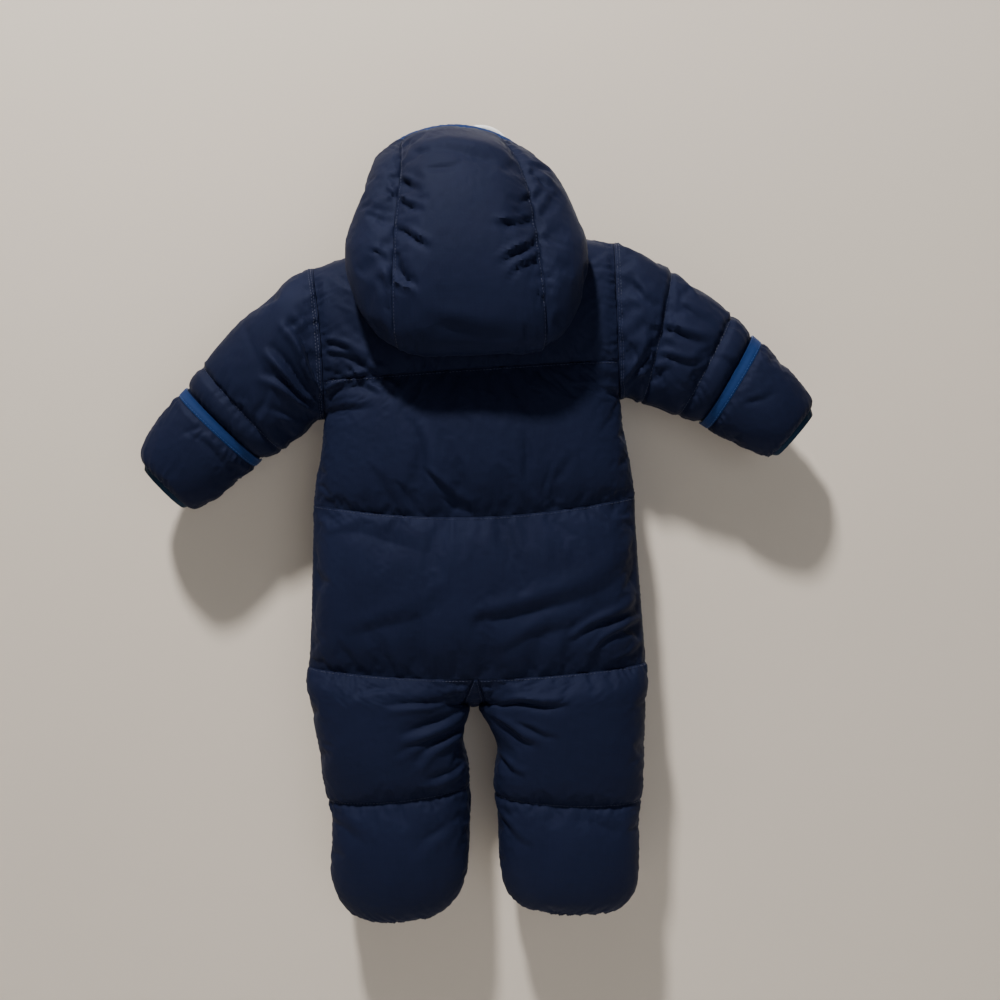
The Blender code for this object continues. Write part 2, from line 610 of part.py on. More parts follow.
def girth_fullness(column, columns):
    """How full a channel is at a column between two upright seams."""
    return math.sin(math.pi * column / columns) ** 0.6


def back_thickness(points):
    """A function that gives the back's thickness at a row and a column of its grid."""
    fullness = channel_fullness(points, BODY_SEAMS)

    def thickness(row, column):
        amount = YOKE_PUFF if row <= YOKE_ROWS else BODY_PUFF
        return SHELL + amount * fullness[row][column] * girth_fullness(column, BODY_COLUMNS)

    return thickness


def front_thickness(points):
    """The same for a front. It is full in the middle, and thin at the side seam and at the zip."""
    fullness = channel_fullness(points, BODY_SEAMS)

    def thickness(row, column):
        amount = FRONT_PUFF * min(row / YOKE_ROWS, 1.0)
        return SHELL + amount * fullness[row][column] * girth_fullness(column, BODY_COLUMNS // 2)

    return thickness


def held_inside(grid):
    """The grid's points, kept inside the surfaces of the two armholes down to the underarms."""
    for armhole, side in ((ARMHOLE_LEFT, -1.0), (ARMHOLE_RIGHT, 1.0)):
        for point in (point for line in grid for point in line):
            below = armhole.under_z - point.z
            if below < SHELL + SEAM_GAP:
                ease = UNDERARM_EASE if below > -SHELL else SEAM_GAP
                limit = side * armhole_x(armhole, point.z) - ease
                point.x = side * min(side * point.x, limit)
    return grid


def build_back():
    """The yoke, the upper back and the lower back."""
    points, normals = body_back()
    outer = held_inside(folded_out(points, normals, back_thickness(points)))
    pieces = zip(("back_yoke", "back_upper", "back_lower"), BODY_SEAMS, BODY_SEAMS[1:])
    for name, first, last in pieces:
        cut = (first, last, 0, BODY_COLUMNS)
        inner = held_inside(part_of(points, *cut))
        borders = drawn_back(inner, part_of(outer, *cut), ("top", "bottom", "start", "end"))
        wall(name, *borders, SHELL_CLOTH)
    return outer


def build_front(left):
    """One front, from the shoulder to the second waist seam."""
    points, normals = body_front(left)
    outer = held_inside(moved_out(points, normals, front_thickness(points)))
    borders = drawn_back(held_inside(points), outer, ("top", "bottom", "start", "end"))
    wall("front_left" if left else "front_right", *borders, SHELL_CLOTH)
    return outer


# ---------------------------------------------------------------- zip

def zip_centre(row):
    """The middle of the zip at a row of the body's grid, and the normal there."""
    here = body_point(row, 0.5, True)
    above = body_point(max(row - 1, 0), 0.5, True)
    below = body_point(min(row + 1, BODY_ROWS), 0.5, True)
    normal = (below - above).cross(Vector((-1.0, 0.0, 0.0))).normalized()
    return here, normal if normal.y > 0 else -normal


def build_zip_tape(left):
    """One half of the zip: a flat tape between a front's edge and the middle of the zip."""
    side = -1.0 if left else 1.0
    points, normals = [], []
    for row in range(BODY_ROWS + 1):
        centre, normal = zip_centre(row)
        points.append([centre + Vector((side * ZIP_HALF_WIDTH, 0, 0)), centre])
        normals.append([normal, normal])
    outer = moved_out(points, normals, lambda i, j: TAPE_THICKNESS)
    borders = drawn_back(points, outer, ("top", "bottom", "start", "end"))
    wall("zip_tape_left" if left else "zip_tape_right", *borders, ZIP_TAPE)


def block(mesh_data, size, bevel):
    """A bevelled box about the origin, added to a mesh."""
    made = bmesh.ops.create_cube(mesh_data, size=1.0)["verts"]
    for vert in made:
        vert.co = Vector(a * b for a, b in zip(vert.co, size))
    edges = list({edge for vert in made for edge in vert.link_edges})
    bmesh.ops.bevel(mesh_data, geom=edges, offset=bevel, segments=1, affect="EDGES")


def slider_frame():
    """The middle of the slider on the zip, and the tilt of the zip there."""
    centre, normal = zip_centre(SLIDER_ROW)
    tilt = math.atan2(normal.z, normal.y)
    return centre, normal, tilt


def build_slider():
    """The slider, closed on the zip near the neck. Its bridge carries the pull tab."""
    centre, normal, tilt = slider_frame()
    mesh_data = bmesh.new()
    block(mesh_data, SLIDER_SIZE, 1.0)
    place = centre + normal * (TAPE_THICKNESS + SEAM_GAP + SLIDER_SIZE[1] / 2)
    placed(mesh_data, place, tilt)
    finished_object("zip_slider", mesh_data, ZIP_METAL)


def placed(mesh_data, place, tilt):
    """Tilt a mesh about X, move it to its place and turn its millimetres into metres."""
    for vert in mesh_data.verts:
        y, z = vert.co.y, vert.co.z
        turned = Vector((vert.co.x, y * math.cos(tilt) - z * math.sin(tilt),
                         y * math.sin(tilt) + z * math.cos(tilt)))
        vert.co = (turned + place) * MM


def pull_hinge():
    """The point about which the pull tab turns."""
    centre, normal, tilt = slider_frame()
    stand = TAPE_THICKNESS + SEAM_GAP + SLIDER_SIZE[1] + PULL_CLEARANCE + PULL_SIZE[1] / 2
    return centre + normal * stand


def build_pull():
    """The pull tab, which hangs from the slider's front face and swings out about its upper end."""
    mesh_data = bmesh.new()
    block(mesh_data, PULL_SIZE, 0.5)
    for vert in mesh_data.verts:
        vert.co.z -= (PULL_SIZE[2] - PULL_SIZE[1]) / 2
    placed(mesh_data, Vector(), slider_frame()[2])
    item = finished_object("zip_pull", mesh_data, ZIP_METAL)
    item.location = pull_hinge() * MM
    return item


# ---------------------------------------------------------------- legs and gusset

def leg_section(row, share, front):
    """A point of a leg's section: share runs from the side seam, 0, to the inner edge, 1."""
    end = math.pi / 2 * (1 + row.closing)
    turn = end * share
    place = (1 - math.cos(turn)) / (1 - math.cos(end))
    depth = row.front if front else row.back
    y = (1.0 if front else -1.0) * depth * max(math.sin(turn), 0.0) ** ROUNDNESS
    middle_sag = 0.0 if row.closing < 1 else 2.0 * math.sin(math.pi * place)
    return Vector((lerp(row.outer_x, row.inner_x, place), y,
                   lerp(row.outer_z, row.inner_z, place) - middle_sag))


def top_leg_row(table, front):
    """The leg's first row, which follows the body's last one."""
    left = table is LEG_LEFT
    edges = body_point(BODY_ROWS, 0.0, front), body_point(BODY_ROWS, 1.0, front)
    inner = (table[0].inner_x - edges[0].x) / (edges[1].x - edges[0].x)
    outer = 0.0 if left else 1.0
    places = [lerp(outer, inner, 1 - math.cos(math.pi / 2 * j / LEG_COLUMNS)) for j in range(LEG_COLUMNS + 1)]
    return [body_point(BODY_ROWS, place, front) for place in places]


def crotch_normal(row, side, front):
    """Normal along a leg's edge beside the gusset: out of the body at first, and slanting down below it."""
    out = 1.0 if front else -1.0
    spread = row.closing
    return Vector((side * spread ** 2 * 0.9, out * (1 - spread), -spread)).normalized()


def leg_grid(table, front):
    """Points and normals of one face of a leg, from the second waist seam to the hem."""
    inward = 1.0 if table is LEG_LEFT else -1.0
    points = [top_leg_row(table, front)]
    for row in table[1:]:
        points.append([leg_section(row, j / LEG_COLUMNS, front) for j in range(LEG_COLUMNS + 1)])
    normals = grid_normals(points)
    normals[0] = [flat(normal) for normal in normals[0]]
    for i, row in enumerate(table):
        normals[i][0] = Vector((-inward, 0.0, 0.0))
        beside_gusset = i <= CROTCH_ROW
        normals[i][-1] = crotch_normal(row, inward, front) if beside_gusset else Vector((inward, 0.0, 0.0))
    return points, normals


def leg_thickness(points):
    """A function that gives the thickness of a leg's face at a row and a column."""
    fullness = channel_fullness(points, (0, LEG_SEAM_ROW, len(LEG_LEFT) - 1))
    return lambda row, column: SHELL + LEG_PUFF * fullness[row][column] * girth_fullness(column, LEG_COLUMNS)


def build_leg(table, front):
    """The back or the front of a leg."""
    points, normals = leg_grid(table, front)
    outer = folded_out(points, normals, leg_thickness(points))
    borders = drawn_back(points, outer, ("top", "start", "end"))
    side = "left" if table is LEG_LEFT else "right"
    wall(f"leg_{'front' if front else 'back'}_{side}", *borders, SHELL_CLOTH)


def build_gusset():
    """The boat-shaped strip under the crotch, from the back's waist seam to the front's."""
    points, normals = [], []
    back_rows = range(CROTCH_ROW + 1)
    front_rows = range(CROTCH_ROW - 1, -1, -1)
    for index, front in [(i, False) for i in back_rows] + [(i, True) for i in front_rows]:
        edges, directions = [], []
        for table, side in ((LEG_LEFT, 1.0), (LEG_RIGHT, -1.0)):
            row = table[index]
            edges.append(leg_section(row, 1.0, front) if index else top_leg_row(table, front)[-1])
            directions.append(crotch_normal(row, side, front))
        spread = [0.0, 0.25, 0.5, 0.75, 1.0]
        points.append([edges[0].lerp(edges[1], share) for share in spread])
        normals.append([directions[0].lerp(directions[1], share).normalized() for share in spread])
    outer = moved_out(points, normals, lambda i, j: SHELL)
    borders = drawn_back(points, outer, ("top", "bottom", "start", "end"))
    wall("crotch_gusset", *borders, SHELL_CLOTH)


# ---------------------------------------------------------------- sleeves, mitt flaps and cuffs

def sleeve_turn(column):
    """The angle of a sleeve's column, so that its first ring meets every row of the armhole's edge."""
    if column <= ARMHOLE_ROWS:
        return armhole_angle(column)
    return 2 * math.pi - armhole_angle(SLEEVE_COLUMNS - column)


def sleeve_section(row):
    """One section of a sleeve, as a loop of points from its upper edge round the back."""
    top, low = Vector((row.top_x, 0, row.top_z)), Vector((row.low_x, 0, row.low_z))
    centre, half = (top + low) / 2, (top - low) / 2
    half -= half.normalized() * row.inset
    loop = []
    for j in range(SLEEVE_COLUMNS):
        turn = sleeve_turn(j)
        side = -1.0 if math.sin(turn) >= 0 else 1.0
        depth = side * (row.depth - row.inset + SHELL) * abs(math.sin(turn)) ** ARMHOLE_POWER
        loop.append(centre + half * math.cos(turn) + Vector((0, depth, 0)))
    return loop


def sleeve_grid(table, armhole):
    """Points and normals of a sleeve, from the armhole to the cuff."""
    turns = [sleeve_turn(j) for j in range(SLEEVE_COLUMNS)]
    points = [[armhole_point(armhole, turn) for turn in turns]]
    points += [sleeve_section(row) for row in table]
    normals = grid_normals(points, closed=True)
    normals[0] = [armhole_normal(armhole, turn) for turn in turns]
    return points, normals


def sleeve_thickness(points, table):
    """A function that gives a sleeve's thickness at a row and a column of its grid."""
    seams = [0] + [i + 1 for i, row in enumerate(table) if row.line] + [BAND_ROW]
    fullness = channel_fullness(points, seams)

    def thickness(row, column):
        roundness = abs(math.sin(sleeve_turn(column))) ** 0.7
        return SHELL + SLEEVE_PUFF * fullness[row][column] * roundness

    return thickness


def wrapped(grid, first_row, last_row):
    """The back half of a sleeve's grid between two rows, and a little past its upper and lower edge."""
    columns = range(-FLAP_WRAP, SLEEVE_COLUMNS // 2 + FLAP_WRAP + 1)
    return [[line[j % SLEEVE_COLUMNS] for j in columns] for line in grid[first_row:last_row + 1]]


def build_sleeve(table, armhole, side):
    """A sleeve with its cuff binding, and the mitt flap that is folded over the back of its end."""
    points, normals = sleeve_grid(table, armhole)
    outer = folded_out(points, normals, sleeve_thickness(points, table))
    last = len(points) - 1
    whole = (0, CUFF_ROW, 0, SLEEVE_COLUMNS - 1)
    tube = drawn_back(part_of(points, *whole), part_of(outer, *whole), ("top", "bottom"))
    wall(f"sleeve_{side}", *tube, SHELL_CLOTH, closed=True)
    end = (CUFF_ROW, last, 0, SLEEVE_COLUMNS - 1)
    ring = drawn_back(part_of(points, *end), part_of(outer, *end), ("top",))
    wall(f"cuff_binding_{side}", *ring, BINDING_CLOTH, closed=True)

    columns = SLEEVE_COLUMNS // 2 + 2 * FLAP_WRAP
    lie = moved_out(outer, normals, lambda i, j: SEAM_GAP)
    under = wrapped(lie, BAND_ROW + 1, FLAP_END_ROW)
    directions = wrapped(normals, BAND_ROW + 1, FLAP_END_ROW)
    span = FLAP_END_ROW - BAND_ROW - 1
    over = moved_out(under, directions,
                     lambda i, j: SHELL + FLAP_PUFF * pillow(i / span) * girth_fullness(j, columns))
    wall(f"mitt_flap_{side}", *drawn_back(under, over, ("top",)), SHELL_CLOTH)

    under = wrapped(lie, BAND_ROW, BAND_ROW + 1)
    directions = wrapped(normals, BAND_ROW, BAND_ROW + 1)
    over = moved_out(under, directions, lambda i, j: SHELL + BINDING_PROUD)
    wall(f"mitt_binding_{side}", *drawn_back(under, over, ("bottom",)), BINDING_CLOTH)


# ---------------------------------------------------------------- hood

def neck_edge_point(share):
    """A point above the neck's edge, from beside the zip round the back to beside the zip again."""
    turn = lerp(-NECK_TURN, math.pi + NECK_TURN, share)
    start = across(0, SHOULDER_COLUMNS / BODY_COLUMNS)
    place = lerp(start, 1 - start, (1 - math.cos(turn)) / 2)
    y, z = neck_row_point(place, start, 1 - start, math.sin(turn) < 0)
    x = lerp(ARMHOLE_LEFT.top_x, ARMHOLE_RIGHT.top_x, place)
    return Vector((x, y, z + 2 * SHELL + HOOD_CLEARANCE))


def hoop_width(hoop, turn, narrowest):
    """Half of a hoop's width at an angle round it, as a share of its flare."""
    rise = max(math.sin(turn), 0.0)
    return abs(math.cos(turn)) ** hoop.square * (1 - (1 - narrowest) * (1 - rise) ** HOOP_FLARE)


def hoop_turns(hoop, peak):
    """The angle of each column round a hoop. The centre strip lies between the two seams' angles."""
    seam = math.acos((STRIP_SHARE * peak) ** (1 / hoop.square))
    sides = [seam * j / STRIP_COLUMNS for j in range(STRIP_COLUMNS)]
    strip = [lerp(seam, math.pi - seam, j / STRIP_COLUMNS) for j in range(STRIP_COLUMNS + 1)]
    return sides + strip + [math.pi - turn for turn in reversed(sides)]


def hoop_points(hoop):
    """One hoop of the hood, from its left front end, round the centre strip, to its right front end."""
    peak = max(hoop_width(hoop, math.pi * j / HOOD_COLUMNS, 0.2) for j in range(HOOD_COLUMNS + 1))
    turns = hoop_turns(hoop, peak)
    line = []
    for j, turn in enumerate(turns):
        rise = max(math.sin(turn), 0.0)
        side = -1.0 if j < HOOD_COLUMNS / 2 else 1.0
        share = hoop_width(hoop, turn, HOOD_END_X * peak / hoop.half_width) / peak
        x = lerp(HOOD_END_CENTRE, hoop.centre_x, rise) + side * hoop.half_width * share
        y = lerp(HOOD_END_Y, hoop.middle_y, rise ** HOOP_ROUNDNESS)
        end_z = hoop.end_z + HOOD_TILT * lerp(-1.0, 1.0, j / HOOD_COLUMNS)
        point = Vector((x, y, lerp(end_z, hoop.middle_z, rise ** hoop.fall)))
        line.append(point.lerp(neck_edge_point(j / HOOD_COLUMNS), hoop.hem_share))
    return line


def surface_tree(grids):
    """A search tree over the faces of some grids of points; a grid is given with whether it is turned."""
    corners, faces = [], []
    for grid, turned in grids:
        start, columns = len(corners), len(grid[0])
        corners += [point for line in grid for point in line]
        for i in range(len(grid) - 1):
            for j in range(columns - 1):
                face = (start + i * columns + j, start + i * columns + j + 1,
                        start + (i + 1) * columns + j + 1, start + (i + 1) * columns + j)
                faces.append(face[::-1] if turned else face)
    return BVHTree.FromPolygons(corners, faces)


def away_from_body(point):
    """The direction from the body's middle line to a point, and the point's distance from that line."""
    reach = Vector((0.0, point.y, point.z - BODY_MIDDLE_Z))
    return reach.normalized(), reach.length


def lift_needed(point, tree):
    """How far a point has to move away from the body's middle to lie clear of the body's surface."""
    direction, distance = away_from_body(point)
    hit = tree.ray_cast(Vector((point.x, 0.0, BODY_MIDDLE_Z)), direction)
    if hit[0] is None:
        return 0.0
    return max(hit[3] + REST_CLEARANCE - distance, 0.0)


def laid_on_body(points, tree):
    """The hood's grid, lifted where its outer face would come nearer to the body than the clearance."""
    rows, columns = len(points), len(points[0])
    shares = (0.0, 1 / 3, 2 / 3, 1.0)
    for _ in range(CLEARING_PASSES):
        outer = moved_out(points, grid_normals(points), hood_thickness)
        lifts = [[0.0] * columns for _ in range(rows)]
        for i in range(rows - 1):
            for j in range(columns - 1):
                starts = [outer[i][j].lerp(outer[i + 1][j], share) for share in shares]
                ends = [outer[i][j + 1].lerp(outer[i + 1][j + 1], share) for share in shares]
                samples = [start.lerp(end, share) for start, end in zip(starts, ends) for share in shares]
                lift = max(lift_needed(sample, tree) for sample in samples)
                for a, b in ((i, j), (i, j + 1), (i + 1, j + 1), (i + 1, j)):
                    lifts[a][b] = max(lifts[a][b], lift)
        points = [[point + away_from_body(point)[0] * lift for point, lift in zip(line, row)]
                  for line, row in zip(points, lifts)]
    return points


def hood_grid(tree):
    """Points and normals of the whole hood, lying on the shoulders and the yoke."""
    points = laid_on_body([hoop_points(hoop) for hoop in HOOD], tree)
    return points, grid_normals(points)


def hood_thickness(row, column):
    """Thickness of the hood: full in the middle of each of its three pieces."""
    fullness = math.sin(math.pi * (column % STRIP_COLUMNS) / STRIP_COLUMNS) ** 0.5
    return SHELL + HOOD_PUFF * HOOD[row].puff * fullness


def build_hood(tree):
    """The centre strip, the two sides and the binding of the face opening."""
    points, normals = hood_grid(tree)
    outer = moved_out(points, normals, hood_thickness)
    last = len(HOOD) - 1
    for index, name in enumerate(("hood_side_left", "hood_centre", "hood_side_right")):
        first = index * STRIP_COLUMNS
        cut = (1, last, first, first + STRIP_COLUMNS)
        borders = drawn_back(part_of(points, *cut), part_of(outer, *cut), ("top", "start", "end"))
        wall(name, *borders, SHELL_CLOTH)
    proud = moved_out(points, normals, lambda i, j: SHELL + BINDING_PROUD)
    cut = (0, 1, 0, HOOD_COLUMNS)
    wall("hood_binding", *drawn_back(part_of(points, *cut), part_of(proud, *cut), ("bottom",)), BINDING_CLOTH)


# ---------------------------------------------------------------- hanger

def shoulder_inner_z(x):
    """Height of the cloth's inner face along the shoulder seams, carried on to the crest between them."""
    neck = across(0, SHOULDER_COLUMNS / BODY_COLUMNS)
    left_corner = lerp(ARMHOLE_LEFT.top_x, ARMHOLE_RIGHT.top_x, neck)
    right_corner = lerp(ARMHOLE_LEFT.top_x, ARMHOLE_RIGHT.top_x, 1 - neck)
    if x < CREST_X:
        slope = (NECK_CORNER_LEFT_Z - ARMHOLE_LEFT.top_z) / (left_corner - ARMHOLE_LEFT.top_x)
        return ARMHOLE_LEFT.top_z + slope * (x - ARMHOLE_LEFT.top_x)
    slope = (NECK_CORNER_RIGHT_Z - ARMHOLE_RIGHT.top_z) / (ARMHOLE_RIGHT.top_x - right_corner)
    return ARMHOLE_RIGHT.top_z + slope * (ARMHOLE_RIGHT.top_x - x)


def build_hanger():
    """The hanger: two sloping arms under the shoulders and a hook, moulded in one."""
    stations = [ARM_END_LEFT, -120.0, -80.0, -40.0, CREST_X, 40.0, 80.0, ARM_END_RIGHT]
    mesh_data = bmesh.new()
    loops = []
    for x in stations:
        z = shoulder_inner_z(x) - ARM_CLEARANCE
        if x == CREST_X:
            z = (shoulder_inner_z(x - 1.0) + shoulder_inner_z(x + 1.0)) / 2 - ARM_CLEARANCE - 3.0
        outline = [(-0.25, 0.0), (0.25, 0.0), (0.8, -0.3), (1.0, -0.55), (0.8, -1.0), (-0.8, -1.0),
                   (-1.0, -0.55), (-0.8, -0.3)]
        loops.append([mesh_data.verts.new(Vector((x, y * ARM_HALF_DEPTH, z + h * ARM_HEIGHT)) * MM)
                      for y, h in outline])
    for start, end in zip(loops, loops[1:]):
        for j in range(len(start)):
            k = (j + 1) % len(start)
            mesh_data.faces.new((start[j], start[k], end[k], end[j]))
    mesh_data.faces.new(loops[0])
    mesh_data.faces.new(loops[-1])
    bmesh.ops.recalc_face_normals(mesh_data, faces=mesh_data.faces)
    arms = finished_object("hanger", mesh_data, HANGER_PLASTIC)

    crest_z = (shoulder_inner_z(CREST_X - 1.0) + shoulder_inner_z(CREST_X + 1.0)) / 2 - 8.0
    centre_z = ROD_RADIUS - HOOK_RADIUS
    route = [Vector((CREST_X, 0, crest_z)), Vector((CREST_X, 0, crest_z + 10.0)),
             Vector((CREST_X - 3.0, 0, centre_z - HOOK_RADIUS - 4.0))]
    for step in range(14):
        turn = math.radians(230.0 - 20.0 * step)
        route.append(Vector((HOOK_RADIUS * math.cos(turn), 0, centre_z + HOOK_RADIUS * math.sin(turn))))
    hook = rod("hook", route, ROD_RADIUS)
    union = arms.modifiers.new("hook", "BOOLEAN")
    union.operation = "UNION"
    union.solver = "EXACT"
    union.object = hook
    hook.hide_render = True
    hook.display_type = "WIRE"


def rod(name, route, radius, sides=8):
    """A round rod along a route in the XZ plane, with flat ends."""
    mesh_data = bmesh.new()
    loops = []
    for i, place in enumerate(route):
        along = (route[min(i + 1, len(route) - 1)] - route[max(i - 1, 0)]).normalized()
        across_rod = Vector((0, 1, 0)).cross(along)
        turns = [2 * math.pi * (k + 0.5) / sides for k in range(sides)]
        flat_radius = radius / math.cos(math.pi / sides)
        loops.append([mesh_data.verts.new((place + (across_rod * math.cos(turn) + Vector((0, math.sin(turn), 0)))
                                           * flat_radius) * MM) for turn in turns])
    for start, end in zip(loops, loops[1:]):
        for j in range(sides):
            k = (j + 1) % sides
            mesh_data.faces.new((start[j], start[k], end[k], end[j]))
    mesh_data.faces.new(loops[0])
    mesh_data.faces.new(loops[-1])
    bmesh.ops.recalc_face_normals(mesh_data, faces=mesh_data.faces)
    return finished_object(name, mesh_data, HANGER_PLASTIC)


def main():
    """Build every piece of the suit and its hanger."""
    clear_scene()
    back = build_back()
    fronts = [build_front(True), build_front(False)]
    for left in (True, False):
        build_zip_tape(left)
    build_slider()
    build_pull()
    for table in (LEG_LEFT, LEG_RIGHT):
        for front in (False, True):
            build_leg(table, front)
    build_gusset()
    build_sleeve(SLEEVE_LEFT, ARMHOLE_LEFT, "left")
    build_sleeve(SLEEVE_RIGHT, ARMHOLE_RIGHT, "right")
    build_hood(surface_tree([(back, True), (fronts[0], False), (fronts[1], True)]))
    build_hanger()


main()
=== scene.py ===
"""Looks of a padded baby snowsuit that hangs from a child's plastic hanger.

Every piece of cloth is built from the same cut as its solid: a grid of points for the inner face, and an
outer face moved out along the cloth's normals, thin at the seams and full between them. The grids are made
finer here, the padding is blown up by a cloth simulation that the seams hold down, and the main creases are
pressed in. Lengths in the tables are millimetres; +X is the wearer's right, +Y the side of the zip.
"""

from __future__ import annotations

import json
import logging
import math
from dataclasses import dataclass, field
from enum import Enum
from typing import Callable, Sequence

import bmesh
import bpy
import numpy as np
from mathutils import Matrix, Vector
from mathutils.bvhtree import BVHTree

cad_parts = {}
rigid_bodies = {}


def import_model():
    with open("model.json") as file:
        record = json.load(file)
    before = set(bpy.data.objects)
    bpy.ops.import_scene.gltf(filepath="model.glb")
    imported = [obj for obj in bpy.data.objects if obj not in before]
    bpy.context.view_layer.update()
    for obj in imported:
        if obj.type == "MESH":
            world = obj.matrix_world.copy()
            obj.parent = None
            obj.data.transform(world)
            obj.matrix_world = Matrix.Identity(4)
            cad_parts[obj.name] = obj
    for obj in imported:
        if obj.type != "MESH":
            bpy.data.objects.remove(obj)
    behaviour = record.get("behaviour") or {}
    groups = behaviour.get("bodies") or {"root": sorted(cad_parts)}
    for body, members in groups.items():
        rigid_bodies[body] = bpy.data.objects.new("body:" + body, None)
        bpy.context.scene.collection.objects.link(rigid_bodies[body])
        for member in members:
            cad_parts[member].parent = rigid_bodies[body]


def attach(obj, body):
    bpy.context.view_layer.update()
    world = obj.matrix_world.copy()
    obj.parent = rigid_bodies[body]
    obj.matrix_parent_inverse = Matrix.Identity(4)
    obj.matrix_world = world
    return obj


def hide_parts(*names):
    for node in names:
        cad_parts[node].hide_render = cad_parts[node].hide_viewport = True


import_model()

LOG = logging.getLogger("snowsuit")
MM = 0.001
SUIT = "suit"
PULL = "zip_pull"
EYE = np.array((20.0, -1030.0, -368.0))      # where the camera stands
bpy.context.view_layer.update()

Grid = np.ndarray
Tree = bpy.types.NodeTree
Socket = bpy.types.NodeSocket
Group = tuple[Tree, bpy.types.Node, bpy.types.Node]


# ---------------------------------------------------------------- cut of the suit

SHELL = 3.0               # padded cloth where a seam holds it flat
SEAM_GAP = 0.3
ROUNDNESS = 0.7
PUFF_SAG = 1.2
SWELL = 0.6               # power of the sine by which padding swells between two held edges
JUST_ABOVE = 0.01         # in coarse rows
NO_CEILING = 1e3
SLEEVE_COLUMNS = 24       # columns round a sleeve, the one cut that closes
ANY_PHASE = 6.28          # the range that a wave's random phase is drawn from


@dataclass(frozen=True)
class Armhole:
    """A loop from the shoulder's end down to the underarm, on a gently bowed upright surface."""

    top_x: float
    top_z: float
    under_x: float
    under_z: float
    bow: float
    depth: float = 34.0
    power: float = 0.8

    def x_at(self, z: float | np.ndarray) -> float | np.ndarray:
        """Where the armhole's surface lies at a height or at several."""
        share = np.clip((self.top_z - z) / (self.top_z - self.under_z), 0.0, 1.0)
        return lerp(self.top_x, self.under_x, share) + self.bow * 4 * share * (1 - share)

    def point(self, angle: float) -> Vector:
        """A point of the loop.

        Args:
            angle: The angle from the top; angles up to half a turn are on the back.

        Returns:
            The point.
        """
        z = self.top_z - (self.top_z - self.under_z) / 2 * (1 - math.cos(angle))
        side = -1.0 if math.sin(angle) >= 0 else 1.0
        return Vector((self.x_at(z), side * self.depth * abs(math.sin(angle)) ** self.power, z))

    def normal(self, angle: float) -> Vector:
        """The direction away from the armhole's middle, within its loop.

        Args:
            angle: The angle from the top.

        Returns:
            The direction, of length 1.
        """
        half = (self.top_z - self.under_z) / 2
        return Vector((0.0, -math.sin(angle) * half, math.cos(angle) * self.depth)).normalized()


def lerp(start: float, end: float, share: float) -> float:
    """The value at a share of the way from start to end."""
    return start + (end - start) * share


def pillow(share: np.ndarray) -> np.ndarray:
    """How full the padding is at a share of the way down a channel: 0 at its seams, 1 near the middle."""
    return np.sin(np.pi * np.clip(share, 0.0, 1.0) ** PUFF_SAG) ** SWELL


def swell_across(places: np.ndarray, end: float) -> np.ndarray:
    """How full the padding is across a panel, from place 0 to its end: 0 at both side edges."""
    return np.sin(np.pi * places / end).clip(0) ** SWELL


def smooth_at(rows: Sequence[tuple], position: float, column: int) -> float:
    """A column of a table at a height between its rows, on a smooth curve through them.

    Args:
        rows: The table, highest row first; each row starts with its height.
        position: The height.
        column: The place of the wanted value in a row.

    Returns:
        The value.
    """
    places = [row[0] for row in rows]
    values = [row[column] for row in rows]
    position = min(max(position, places[-1]), places[0])
    index = 0
    while index < len(rows) - 2 and position < places[index + 1]:
        index += 1
    before = max(index - 1, 0)
    after = min(index + 2, len(rows) - 1)
    span = places[index + 1] - places[index]
    share = (position - places[index]) / span
    slope_in = (values[index + 1] - values[before]) / (places[index + 1] - places[before]) * span
    slope_out = (values[after] - values[index]) / (places[after] - places[index]) * span
    square, cube = share ** 2, share ** 3
    return ((2 * cube - 3 * square + 1) * values[index] + (cube - 2 * square + share) * slope_in
            + (3 * square - 2 * cube) * values[index + 1] + (cube - square) * slope_out)


def grid_normals(points: Grid, closed: bool = False) -> Grid:
    """Outward normals of a grid of points.

    Args:
        points: The grid, rows by columns by 3.
        closed: Whether the last column joins the first.

    Returns:
        The normals, in the same order.
    """
    rows = len(points)
    above = points[np.maximum(np.arange(rows) - 1, 0)]
    below = points[np.minimum(np.arange(rows) + 1, rows - 1)]
    columns = points.shape[1]
    if closed:
        left, right = np.roll(points, 1, axis=1), np.roll(points, -1, axis=1)
        middle = points.mean(axis=1, keepdims=True)
    else:
        left = points[:, np.maximum(np.arange(columns) - 1, 0)]
        right = points[:, np.minimum(np.arange(columns) + 1, columns - 1)]
        middle = points.mean(axis=(0, 1), keepdims=True)
    normals = np.cross(below - above, right - left)
    normals /= np.maximum(np.linalg.norm(normals, axis=2, keepdims=True), 1e-9)
    return normals if (normals * (points - middle)).sum() >= 0 else -normals


